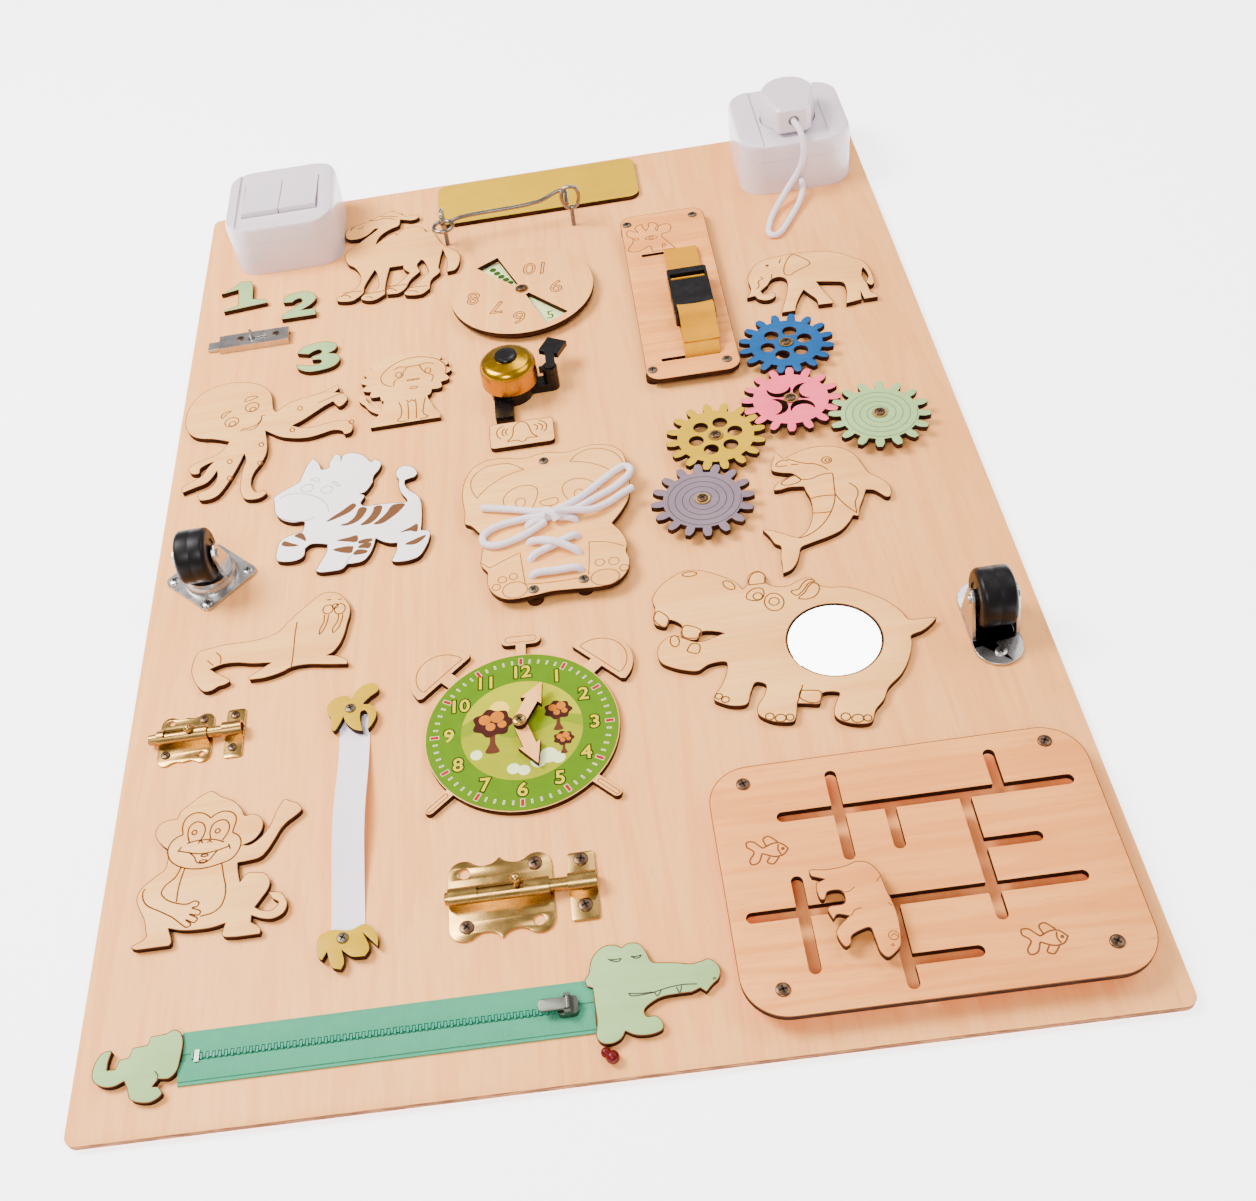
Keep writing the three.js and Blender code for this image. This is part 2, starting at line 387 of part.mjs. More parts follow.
const BEAR_X = 114;
const BEAR_Y = -318;
const BEAR_SIDE = 50;
const bearShares = [
  [-0.34, 0.48], [-0.18, 0.464], [0, 0.48], [0.10, 0.51], [0.20, 0.48], [0.27, 0.38], [0.30, 0.18],
  [0.33, 0.02], [0.34, -0.12], [0.324, -0.28], [0.30, -0.38], [0.24, -0.44], [0.17, -0.476], [0.12, -0.42],
  [0.10, -0.28], [0.08, -0.17], [0, -0.18], [-0.10, -0.23], [-0.12, -0.30], [-0.17, -0.325], [-0.22, -0.18],
  [-0.18, -0.12], [-0.07, -0.03, 1], [-0.18, 0], [-0.22, -0.045, 1], [-0.25, 0.06], [-0.23, 0.084],
  [-0.09, 0.10], [-0.09, 0.23], [-0.22, 0.24], [-0.26, 0.17], [-0.29, 0.17], [-0.31, 0.28], [-0.30, 0.34, 1],
  [-0.21, 0.37, 1], [-0.33, 0.42, 1],
];

// Wooden digits, one figure each
const ONE_X = -216;
const ONE_Y = 260;
const ONE_SIDE = 40;
const oneShares = [
  [-0.445, 0.11, 1], [-0.25, 0.26], [-0.10, 0.425, 1], [0.09, 0.40, 1], [0.135, 0.25], [0.165, -0.1875, 1],
  [0.43, -0.265, 1], [0.45, -0.3625, 1], [-0.35, -0.4525, 1], [-0.35, -0.4125, 1], [-0.085, -0.3125, 1],
  [-0.115, 0.095], [-0.125, 0.1875, 1],
];
const TWO_X = -173.5;
const TWO_Y = 236;
const TWO_SIDE = 34;
const twoShares = [
  [-0.355, 0.17, 1], [-0.33, 0.37], [-0.16, 0.47], [0.06, 0.48], [0.27, 0.38], [0.35, 0.18], [0.27, 0],
  [0.03, -0.20, 1], [0.35, -0.20, 1], [0.37, -0.42, 1], [-0.36, -0.42, 1], [-0.34, -0.28], [-0.07, -0.03],
  [0.06, 0.13], [0, 0.25], [-0.11, 0.22, 1], [-0.16, 0.15, 1],
];
const THREE_X = -157;
const THREE_Y = 171.5;
const THREE_SIDE = 34;
const threeShares = [
  [-0.44, 0.20, 1], [-0.32, 0.38], [-0.06, 0.47], [0.20, 0.45], [0.38, 0.32], [0.35, 0.16], [0.20, 0.06, 1],
  [0.40, -0.02], [0.46, -0.19], [0.36, -0.37], [0.10, -0.46], [-0.20, -0.45], [-0.40, -0.30], [-0.45, -0.16, 1],
  [-0.25, -0.24], [-0.03, -0.27], [0.09, -0.20], [0.05, -0.11], [-0.12, -0.09, 1], [-0.12, 0.03, 1],
  [0.02, 0.06], [0.08, 0.14], [0.02, 0.23], [-0.10, 0.20], [-0.20, 0.12, 1],
];

// Bell plaque and sign plate
const PLAQUE_W = 41;
const PLAQUE_H = 23;
const PLAQUE_CORNER = 3;
const PLAQUE_X = -20;
const PLAQUE_Y = 59.5;
const SIGN_W = 153;
const SIGN_H = 54;
const SIGN_CORNER = 8;
const SIGN_X = 6.5;
const SIGN_Y = 338;

// Pivots of the turning wood: a spacer, a bush and a screw head
const SPACER_R = 6;
const SMALL_SPACER_R = 4.8;
const BUSH_R = 3;
const HEAD_R = 4.6;
const HEAD_T = 1.6;

// Counting wheel over its printed disc
const COUNT_X = -11.5;
const COUNT_Y = 208;
const COUNT_R = 50.5;
const COUNT_DISC_R = 46;
const WINDOW_IN_R = 7;
const WINDOW_OUT_R = 45.5;
const windowAngles = [[110, 133], [-71, -48]];

// Toothed wheels
const TEETH = 16;
const MODULE = 3.5;
const GEAR_ROOT_R = 23.5;
const GEAR_TIP_R = 30.6;
const GEAR_SPACER = 4.1;
const TOOTH_BACKLASH = 1;
const PINK_X = 149.7;
const PINK_Y = 48.9;
const PINK_PHASE = 14;
const GEAR_PITCH = TEETH * MODULE;
const GEAR_HOLE_RING = 12.4;
const GEAR_HOLE_R = 4.6;
const GEAR_HOLES = 6;
const GEAR_HOLE_ANGLE = 10;
const PRESSURE_ANGLE = 20;
const CRESCENT_ANGLE = -60;
const BITE_ANGLE = 30;
const CRESCENTS = 4;
const CRESCENT_R = 7.5;
const CRESCENT_RING = 11.5;
const CRESCENT_SHIFT = 4;

const degrees = Math.PI / 180;

function gearOutline(phase) {
  const pitchR = GEAR_PITCH / 2;
  const toothTurn = Math.PI * 2 / TEETH;
  const halfAtPitch = toothTurn / 4 - TOOTH_BACKLASH / pitchR / 4;
  const baseR = pitchR * Math.cos(PRESSURE_ANGLE * degrees);
  const roll = (r) => {
    const tangent = Math.sqrt(Math.max((r / baseR) ** 2 - 1, 0));
    return tangent - Math.atan(tangent);
  };
  const halfAt = (r) => halfAtPitch + roll(pitchR) - roll(Math.max(r, baseR));
  const radii = [GEAR_ROOT_R, pitchR, GEAR_TIP_R];
  const points = [];
  for (let tooth = 0; tooth < TEETH; tooth++) {
    const middle = phase + tooth * toothTurn;
    for (const r of radii) {
      points.push([r * Math.cos(middle - halfAt(r)), r * Math.sin(middle - halfAt(r))]);
    }
    for (const r of [...radii].reverse()) {
      points.push([r * Math.cos(middle + halfAt(r)), r * Math.sin(middle + halfAt(r))]);
    }
  }
  return polygon(points);
}

const gearBottom = FACE + GEAR_SPACER + GAP;

// The mating phase of a wheel that lies in the direction given, in degrees, from the pink one
const mate = (name, toward, material, pattern) => ({
  name, material, pattern,
  x: PINK_X + GEAR_PITCH * Math.cos(toward * degrees),
  y: PINK_Y + GEAR_PITCH * Math.sin(toward * degrees),
  phase: 2 * toward + 180 + 180 / TEETH - PINK_PHASE,
});
const BLUE_ANGLE = 82.9;
const MINT_ANGLE = -27;
const YELLOW_ANGLE = -154.4;
const GREY_ANGLE = -106;
const blueGear = mate("gear_blue", BLUE_ANGLE, bluePaint, "holes");
const mintGear = mate("gear_mint", MINT_ANGLE, mintPaint, "plain");
const yellowGear = mate("gear_yellow", YELLOW_ANGLE, yellowPaint, "holes");
const pinkGear = {
  name: "gear_pink", material: pinkPaint, pattern: "crescents", x: PINK_X, y: PINK_Y, phase: PINK_PHASE,
};
const greyGear = {
  name: "gear_grey", material: lilacPaint, pattern: "plain",
  x: yellowGear.x + GEAR_PITCH * Math.cos(GREY_ANGLE * degrees),
  y: yellowGear.y + GEAR_PITCH * Math.sin(GREY_ANGLE * degrees),
  phase: 2 * GREY_ANGLE + 180 + 180 / TEETH - yellowGear.phase,
};
const gears = [blueGear, pinkGear, mintGear, yellowGear, greyGear];

// The fixed pivot of one turning sheet: spacer below, bush through it, head above
function pivot(x, y, foot, seat, thickness, sides = 10) {
  const sunk = foot - BOARD_T / 2;
  const top = seat + GAP + thickness + GAP;
  return join(
    drum(SPACER_R, sunk, seat - sunk, x, y, sides),
    drum(BUSH_R, sunk, top + HEAD_T / 2 - sunk, x, y, sides),
    drum(HEAD_R, top, HEAD_T, x, y, sides),
  );
}

// The board with everything that is glued to it
const sunk = FACE - BOARD_T / 2;
const glued = (shares, side, x, y) => prism(figure(shares, side), sunk, PLY + BOARD_T / 2, x, y);

function lion() {
  const mane = [];
  for (let i = 0; i < LION_TUFTS * 2; i++) {
    const reach = i % 2 ? tuftShare : 1;
    const angle = i * Math.PI / LION_TUFTS;
    mane.push([
      LION_SIDE * maneWideShare * reach * Math.cos(angle),
      LION_SIDE * maneHighShare * (reach * Math.sin(angle) + 1 - tuftShare / 2),
    ]);
  }
  return join(
    prism(polygon(mane), sunk, PLY + BOARD_T / 2, LION_X, LION_Y),
    glued(lionBodyShares, LION_SIDE, LION_X, LION_Y),
    glued(lionTailShares, LION_SIDE, LION_X, LION_Y),
  );
}

place("board", join(
  prism(roundedRect(BOARD_W, BOARD_H, BOARD_CORNER), 0, BOARD_T),
  glued(camelShares, CAMEL_SIDE, CAMEL_X, CAMEL_Y),
  lion(),
  glued(elephantShares, ELEPHANT_SIDE, ELEPHANT_X, ELEPHANT_Y),
  glued(dolphinShares, DOLPHIN_SIDE, DOLPHIN_X, DOLPHIN_Y),
  glued(walrusShares, WALRUS_SIDE, WALRUS_X, WALRUS_Y),
  glued(oneShares, ONE_SIDE, ONE_X, ONE_Y),
  glued(twoShares, TWO_SIDE, TWO_X, TWO_Y),
  glued(threeShares, THREE_SIDE, THREE_X, THREE_Y),
  prism(roundedRect(PLAQUE_W, PLAQUE_H, PLAQUE_CORNER), sunk, PLY + BOARD_T / 2, PLAQUE_X, PLAQUE_Y, 1),
  drum(COUNT_DISC_R, sunk, PLY + BOARD_T / 2, COUNT_X, COUNT_Y, 30),
  pivot(COUNT_X, COUNT_Y, FACE, FACE + PLY + GAP, PLY),
  ...gears.map(({ x, y }) => pivot(x, y, FACE, FACE + GEAR_SPACER, PLY)),
), birch);

place("sign_plate", prism(roundedRect(SIGN_W, SIGN_H, SIGN_CORNER), FACE, PLY, SIGN_X, SIGN_Y), yellowPaint);
place("zebra", prism(figure(zebraShares, ZEBRA_SIDE), FACE, PLY, ZEBRA_X, ZEBRA_Y), whitePaint);
place("octopus", prism(figure(octopusShares, OCTOPUS_SIDE), FACE, PLY, OCTOPUS_X, OCTOPUS_Y), birch);
place("monkey", prism(figure(monkeyShares, MONKEY_SIDE), FACE, PLY, MONKEY_X, MONKEY_Y), birch);

// Hippo with its round mirror let in
const hippo = prism(figure(hippoShares, HIPPO_SIDE), FACE, PLY, HIPPO_X, HIPPO_Y);
place("hippo", cut(hippo, drum(MIRROR_R, FACE - OVER, PLY + 2 * OVER, MIRROR_X, MIRROR_Y, 36)), birch);
place("mirror", drum(MIRROR_R - GAP, FACE, MIRROR_T, MIRROR_X, MIRROR_Y, 36), mirrorGlass);

// Counting wheel
function windowShape([from, to]) {
  const shape = new THREE.Shape();
  shape.absarc(0, 0, WINDOW_IN_R, from * degrees, to * degrees, false);
  shape.lineTo(WINDOW_OUT_R * Math.cos(to * degrees), WINDOW_OUT_R * Math.sin(to * degrees));
  shape.lineTo(WINDOW_OUT_R * Math.cos(from * degrees), WINDOW_OUT_R * Math.sin(from * degrees));
  return shape;
}
const countBottom = FACE + PLY + 2 * GAP;
place("counting_wheel", cut(
  drum(COUNT_R, countBottom, PLY, COUNT_X, COUNT_Y, 48),
  drum(BUSH_R + GAP, countBottom - OVER, PLY + 2 * OVER, COUNT_X, COUNT_Y, 12),
  ...windowAngles.map((angles) => prism(windowShape(angles), countBottom - OVER, PLY + 2 * OVER,
    COUNT_X, COUNT_Y, 3)),
), birch);

// Toothed wheels
function gearCuts({ pattern, x, y }) {
  const bottom = gearBottom - OVER;
  const through = PLY + 2 * OVER;
  if (pattern === "holes") {
    return Array.from({ length: GEAR_HOLES }, (_, i) => {
      const angle = (i / GEAR_HOLES) * Math.PI * 2 + GEAR_HOLE_ANGLE * degrees;
      const at = [x + GEAR_HOLE_RING * Math.cos(angle), y + GEAR_HOLE_RING * Math.sin(angle)];
      return drum(GEAR_HOLE_R, bottom, through, ...at, 8);
    });
  }
  if (pattern === "crescents") {
    return Array.from({ length: CRESCENTS }, (_, i) => {
      const angle = (i / CRESCENTS) * Math.PI * 2 + CRESCENT_ANGLE * degrees;
      const at = [x + CRESCENT_RING * Math.cos(angle), y + CRESCENT_RING * Math.sin(angle)];
      const bite = angle - BITE_ANGLE * degrees;
      const lower = [at[0] + CRESCENT_SHIFT * Math.cos(bite), at[1] + CRESCENT_SHIFT * Math.sin(bite)];
      return cut(drum(CRESCENT_R, bottom, through, ...at, 12),
        drum(CRESCENT_R, bottom - OVER, through + 2 * OVER, ...lower, 12));
    });
  }
  return [];
}
for (const gear of gears) {
  place(gear.name, cut(
    prism(gearOutline(gear.phase * degrees), gearBottom, PLY, gear.x, gear.y),
    drum(BUSH_R + GAP, gearBottom - OVER, PLY + 2 * OVER, gear.x, gear.y, 12),
    ...gearCuts(gear),
  ), gear.material);
}

// Surface boxes of the switch and the socket
const BOX_SIDE = 82;
const BOX_CORNER = 18;
const BOX_DEEP = 26;
const BOX_WALL = 2.4;
const BOX_FLOOR = 2;
const COVER_DEEP = 14;
const COVER_EDGE = 4;
const SHOULDER_RISE = 1.8;
const SWITCH_X = -183.5;
const SWITCH_Y = 328.5;
const SOCKET_X = 198.5;
const SOCKET_Y = 331.2;
const coverTop = FACE + BOX_DEEP + COVER_DEEP;
const plateau = coverTop - SHOULDER_RISE;

function surfaceBox(x, y, inside) {
  const shell = cut(
    prism(roundedRect(BOX_SIDE, BOX_SIDE, BOX_CORNER), FACE, BOX_DEEP, x, y),
    prism(roundedRect(BOX_SIDE - 2 * BOX_WALL, BOX_SIDE - 2 * BOX_WALL, BOX_CORNER - BOX_WALL),
      FACE + BOX_FLOOR, BOX_DEEP, x, y),
  );
  return join(shell, inside);
}

function coverBody(x, y, channel) {
  const edge = {
    depth: COVER_DEEP - COVER_EDGE, bevelEnabled: true, bevelThickness: COVER_EDGE, bevelSize: COVER_EDGE,
    bevelOffset: -COVER_EDGE, bevelSegments: 2, curveSegments: 3,
  };
  const pad = new THREE.ExtrudeGeometry(roundedRect(BOX_SIDE, BOX_SIDE, BOX_CORNER), edge);
  return cut(
    solidOf(pad.translate(x, y, FACE + BOX_DEEP)),
    block(BOX_SIDE * 2, BOX_SIDE * 2, COVER_DEEP, x, y, FACE + BOX_DEEP - COVER_DEEP),
    block(channel, BOX_SIDE * 2, COVER_DEEP, x, y, plateau),
  );
}

// Switch: two rockers on one ridge
const ROCKER_W = 27.4;
const ROCKER_L = 45.4;
const ROCKER_RISE = 2;
const ROCKER_T = 6;
const ROCKER_DIP = 0.8;
const ROCKER_ANGLE = 4;
const RIDGE_R = 2.4;
const RIDGE_DEEP = 5;
const SWITCH_GAP = 0.7;
const ROCKER_ROOM = 1.6;
const BLOCK_DEEP = 8;
const windowW = 2 * ROCKER_W + 3 * SWITCH_GAP;
const windowL = ROCKER_L + ROCKER_ROOM;
const ridgeZ = plateau - RIDGE_DEEP;

place("switch_box", surfaceBox(SWITCH_X, SWITCH_Y, join(
  block(windowW - 2 * GAP, windowL - 2 * GAP, plateau - BLOCK_DEEP - FACE - BOX_FLOOR / 2,
    SWITCH_X, SWITCH_Y, FACE + BOX_FLOOR / 2),
  rodX(RIDGE_R, SWITCH_X - windowW / 2 + GAP, windowW - 2 * GAP, SWITCH_Y, ridgeZ, 16),
  block(windowW - 2 * GAP, 2 * RIDGE_R, ridgeZ - FACE - BOX_FLOOR, SWITCH_X, SWITCH_Y, FACE + BOX_FLOOR),
)), whitePlastic);
place("switch_cover", cut(
  coverBody(SWITCH_X, SWITCH_Y, windowW + 2 * COVER_EDGE),
  block(windowW, windowL, 2 * COVER_DEEP, SWITCH_X, SWITCH_Y, FACE + BOX_DEEP - OVER),
), whitePlastic);

function rocker(name, side) {
  const half = ROCKER_L / 2;
  const top = RIDGE_DEEP + ROCKER_RISE;
  const profile = new THREE.Shape();
  profile.moveTo(-half, top - ROCKER_T);
  profile.lineTo(half, top - ROCKER_T);
  profile.lineTo(half, top);
  profile.quadraticCurveTo(0, top - 2 * ROCKER_DIP, -half, top);
  profile.closePath();
  const bodyShape = new THREE.ExtrudeGeometry(profile, { depth: ROCKER_W, bevelEnabled: false, curveSegments: 6 })
    .rotateX(Math.PI / 2)
    .rotateZ(Math.PI / 2)
    .translate(-ROCKER_W / 2, 0, 0);
  const groove = new THREE.CylinderGeometry(RIDGE_R + GAP, RIDGE_R + GAP, ROCKER_W * 2, 16).rotateZ(Math.PI / 2);
  const tilted = (geometry) => geometry
    .rotateX(-ROCKER_ANGLE * degrees)
    .translate(SWITCH_X + side * (ROCKER_W + SWITCH_GAP) / 2, SWITCH_Y, ridgeZ);
  place(name, cut(solidOf(tilted(bodyShape)), solidOf(tilted(groove))), whitePlastic);
}
rocker("rocker_left", -1);
rocker("rocker_right", 1);

// Socket with a contact insert, and the angled plug in it
const RECESS_R = 20.3;
const INSERT_DEEP = 24;
const PIN_R = 2.35;
const PIN_SPREAD = 19;
const PIN_LENGTH = 17;
const PLUG_R = 19.5;
const PLUG_X = 197.5;
const PLUG_Y = 328.5;
const PLUG_NECK_W = 26.6;
const PLUG_FRONT = 28.5;
const PLUG_TOP = 20;
const PLUG_EDGE = 2;
const PLUG_CORNER = 5;
const PLUG_BORE_R = 4;
const PLUG_BORE_DEEP = 6;
const PLUG_BORE_DROP = 10;
const plugUnder = coverTop + GAP;

place("socket_box", surfaceBox(SOCKET_X, SOCKET_Y, cut(
  drum(RECESS_R + BOX_WALL, FACE + BOX_FLOOR / 2, INSERT_DEEP, PLUG_X, PLUG_Y, 24),
  ...[-1, 1].map((side) => drum(PIN_R + GAP, FACE + BOX_FLOOR * 2, BOX_DEEP,
    PLUG_X + side * PIN_SPREAD / 2, PLUG_Y, 8)),
)), whitePlastic);
place("socket_cover", cut(
  coverBody(SOCKET_X, SOCKET_Y, 2 * RECESS_R + 2 * COVER_EDGE),
  drum(RECESS_R, FACE + BOX_DEEP - OVER, 2 * COVER_DEEP, PLUG_X, PLUG_Y, 24),
), whitePlastic);

function plugOutline() {
  const shape = new THREE.Shape();
  shape.moveTo(PLUG_R, 0);
  shape.absarc(0, 0, PLUG_R, 0, Math.PI);
  shape.lineTo(-PLUG_NECK_W / 2, PLUG_CORNER - PLUG_FRONT);
  shape.absarc(PLUG_CORNER - PLUG_NECK_W / 2, PLUG_CORNER - PLUG_FRONT, PLUG_CORNER, Math.PI, Math.PI * 1.5);
  shape.lineTo(PLUG_NECK_W / 2 - PLUG_CORNER, -PLUG_FRONT);
  shape.absarc(PLUG_NECK_W / 2 - PLUG_CORNER, PLUG_CORNER - PLUG_FRONT, PLUG_CORNER, Math.PI * 1.5, Math.PI * 2);
  return shape;
}
const plugGeometry = new THREE.ExtrudeGeometry(plugOutline(), {
  depth: PLUG_TOP - 2 * PLUG_EDGE, bevelEnabled: true, bevelThickness: PLUG_EDGE, bevelSize: PLUG_EDGE,
  bevelOffset: -PLUG_EDGE, bevelSegments: 1, curveSegments: 4,
});
const plugFrontY = PLUG_Y - PLUG_FRONT;
const plugCordZ = plugUnder + PLUG_TOP - PLUG_BORE_DROP;
const boreAlongY = (radius, from, length, x, z, sides) => solidOf(
  new THREE.CylinderGeometry(radius, radius, length, sides).translate(x, from + length / 2, z));
place("plug", cut(
  join(
    solidOf(plugGeometry.translate(PLUG_X, PLUG_Y, plugUnder + PLUG_EDGE)),
    drum(RECESS_R - SWITCH_GAP, FACE + BOX_DEEP, COVER_DEEP + PLUG_TOP / 2, PLUG_X, PLUG_Y, 24),
    ...[-1, 1].map((side) => drum(PIN_R, FACE + BOX_DEEP - PIN_LENGTH, PIN_LENGTH + OVER,
      PLUG_X + side * PIN_SPREAD / 2, PLUG_Y, 8)),
  ),
  boreAlongY(PLUG_BORE_R, plugFrontY - OVER, PLUG_BORE_DEEP + OVER, PLUG_X, plugCordZ, 12),
), whitePlastic);

// The plug's cord: down to the board, round in a bend and up to the wall of the socket box
const CORD_R = 2.2;
const CORD_SIDES = 8;
const CORD_STEPS = 30;
const cordPoints = [
  [PLUG_X, plugFrontY - 2 * GAP, plugCordZ], [PLUG_X, 298, plugCordZ], [198.2, 296.2, 53.6],
  [200.5, 292.5, 51], [202, 286, 43], [198.5, 283, 30], [188.5, 281, 15], [178, 266, 7.6],
  [168.5, 246, 6.9], [168.4, 234.5, 6.9], [176.5, 237, 6.9], [187, 254, 6.9], [197, 272, 8], [200.4, 281, 11],
  [200.6, 287, 12.4], [200.6, SOCKET_Y - BOX_SIDE / 2 - GAP, 12.5],
];
place("plug_cord", wire(cordPoints, CORD_R, CORD_SIDES, CORD_STEPS), whitePlastic);

// Screw eyes and the cabin hook between them
const EYE_WIRE_R = 1.4;
const EYE_RING_W = 12.7;
const EYE_RING_H = 18.2;
const EYE_SHANK = 11;
const EYE_SHANK_R = 1.7;
const EYE_LEFT_X = -64.1;
const EYE_LEFT_Y = 289;
const EYE_RIGHT_X = 31;
const EYE_RIGHT_Y = 289.6;
const EYE_RIGHT_LIFT = 3;
const eyeHalfShares = [[0, 0], [0.62, 0.12], [1, 0.55], [0.72, 0.90], [0, 1], [-0.12, 0.99]];

// A screw eye is a threaded shank with a pear-shaped ring of the same wire
function screwEye(name, x, y, lift, across) {
  const start = FACE + EYE_SHANK + lift;
  const half = (side) => wire(eyeHalfShares.map(([w, h]) => {
    const off = side * w * EYE_RING_W / 2;
    return across === "x" ? [x + off, y, start + h * EYE_RING_H] : [x, y + off, start + h * EYE_RING_H];
  }), EYE_WIRE_R, 6, 8);
  place(name, join(
    drum(EYE_SHANK_R, FACE, EYE_SHANK + lift + EYE_WIRE_R, x, y, 8),
    half(1),
    half(-1),
  ), steel);
}
screwEye("screw_eye_left", EYE_LEFT_X, EYE_LEFT_Y, 0, "y");
screwEye("screw_eye_right", EYE_RIGHT_X, EYE_RIGHT_Y, EYE_RIGHT_LIFT, "x");

const HOOK_WIRE_R = 1.5;
const HOOK_LOOP_R = 7;
const HOOK_RISE = 20;
const HOOK_JOG = 4;
const HOOK_SEAT_GAP = 0.6;
const HOOK_TIP_SIDE = 10.5;
const HOOK_TIP_DEEP = 8.6;
const HOOK_BEND_L = 21;
const HOOK_NOSE_L = 7;
const HOOK_NOSE_RISE = 3.2;
const hookNearShares = [[0.75, 0.75], [2, 1.3]];
const hookY = EYE_LEFT_Y - EYE_RING_W / 2;
const hookZ = FACE + HOOK_RISE;
const hookTipX = EYE_RIGHT_X - EYE_RING_W / 2 + EYE_WIRE_R + HOOK_WIRE_R + HOOK_SEAT_GAP;
const loopGeometry = new THREE.TorusGeometry(HOOK_LOOP_R, HOOK_WIRE_R, 6, 16)
  .translate(EYE_LEFT_X, hookY, hookZ);
const hookOut = EYE_RIGHT_Y + HOOK_TIP_SIDE;
place("cabin_hook", join(
  solidOf(loopGeometry),
  wire([
    ...hookNearShares.map(([u, v]) => [EYE_LEFT_X + HOOK_LOOP_R * u, hookY + HOOK_LOOP_R * v, hookZ]),
    [hookTipX - HOOK_BEND_L, hookOut - HOOK_JOG, hookZ],
    [hookTipX - HOOK_NOSE_L, hookOut, hookZ + HOOK_NOSE_RISE],
    [hookTipX - HOOK_WIRE_R, hookOut, hookZ + HOOK_JOG],
    [hookTipX, hookOut - HOOK_WIRE_R * 2, hookZ + HOOK_JOG],
    [hookTipX, EYE_RIGHT_Y, hookZ + HOOK_JOG],
    [hookTipX, EYE_RIGHT_Y - HOOK_TIP_DEEP, hookZ + HOOK_JOG],
  ], HOOK_WIRE_R, 6, 22),
), steel);

// A bend through points in a plane
const bent = (points) => new THREE.CatmullRomCurve3(
  points.map(([x, y]) => new THREE.Vector3(x, y, 0)), false, "centripetal");

// A strip of cloth bent along points in Y and Z and as wide as given along X
function strap(points, thickness, x, width, steps) {
  const line = bent(points);
  const upper = [];
  const lower = [];
  for (let i = 0; i <= steps; i++) {
    const at = line.getPointAt(i / steps);
    const along = line.getTangentAt(i / steps);
    upper.push([at.x - along.y * thickness / 2, at.y + along.x * thickness / 2]);
    lower.unshift([at.x + along.y * thickness / 2, at.y - along.x * thickness / 2]);
  }
  return alongX(polygon([...upper, ...lower]), x - width / 2, width);
}

// A flat band in the plane of the board along points in X and Y
function band(points, width, thickness, bottom, steps) {
  const line = bent(points);
  const left = [];
  const right = [];
  for (let i = 0; i <= steps; i++) {
    const at = line.getPointAt(i / steps);
    const along = line.getTangentAt(i / steps);
    left.unshift([at.x - along.y * width / 2, at.y + along.x * width / 2]);
    right.push([at.x + along.y * width / 2, at.y - along.x * width / 2]);
  }
  return prism(polygon([...left, ...right]), bottom, thickness);
}

// Steel bolt: a folded case and the flat slider in it
const CASE_X = -204.5;
const CASE_Y = 203.2;
const CASE_L = 50;
const CASE_W = 14.5;
const CASE_H = 5;
const CASE_WALL = 1.2;
const SLIDER_L = 43;
const SLIDER_W = 8.6;
const SLIDER_T = 2.4;
const SLIDER_OUT = 8.5;
const SLIDER_STROKE = 10;
const TAB_T = 1.8;
const TAB_W = 4;
const TAB_H = 7;
const caseLeft = CASE_X - CASE_L / 2;
const tabX = CASE_X - TAB_T;
place("steel_bolt_case", cut(
  block(CASE_L, CASE_W, CASE_H, CASE_X, CASE_Y, FACE),
  block(CASE_L + 2 * OVER, SLIDER_W + 2 * GAP, SLIDER_T + 2 * GAP, CASE_X, CASE_Y, FACE),
  block(CASE_L + 2 * OVER, SLIDER_W / 2, CASE_H - CASE_WALL, CASE_X, CASE_Y, FACE),
  block(SLIDER_STROKE + 2 * TAB_T, TAB_W + 2 * GAP, CASE_H + OVER,
    tabX + SLIDER_STROKE / 2, CASE_Y, FACE + CASE_WALL),
), steel);
place("steel_bolt_slider", join(
  block(SLIDER_L, SLIDER_W, SLIDER_T, caseLeft - SLIDER_OUT + SLIDER_L / 2, CASE_Y, FACE + GAP),
  block(TAB_T, TAB_W, TAB_H, tabX, CASE_Y, FACE + 2 * GAP),
), steel);

// Brass barrel bolts: a shaped plate with a rolled barrel, a rod with a knob and a keeper
const BRASS_T = 1.2;

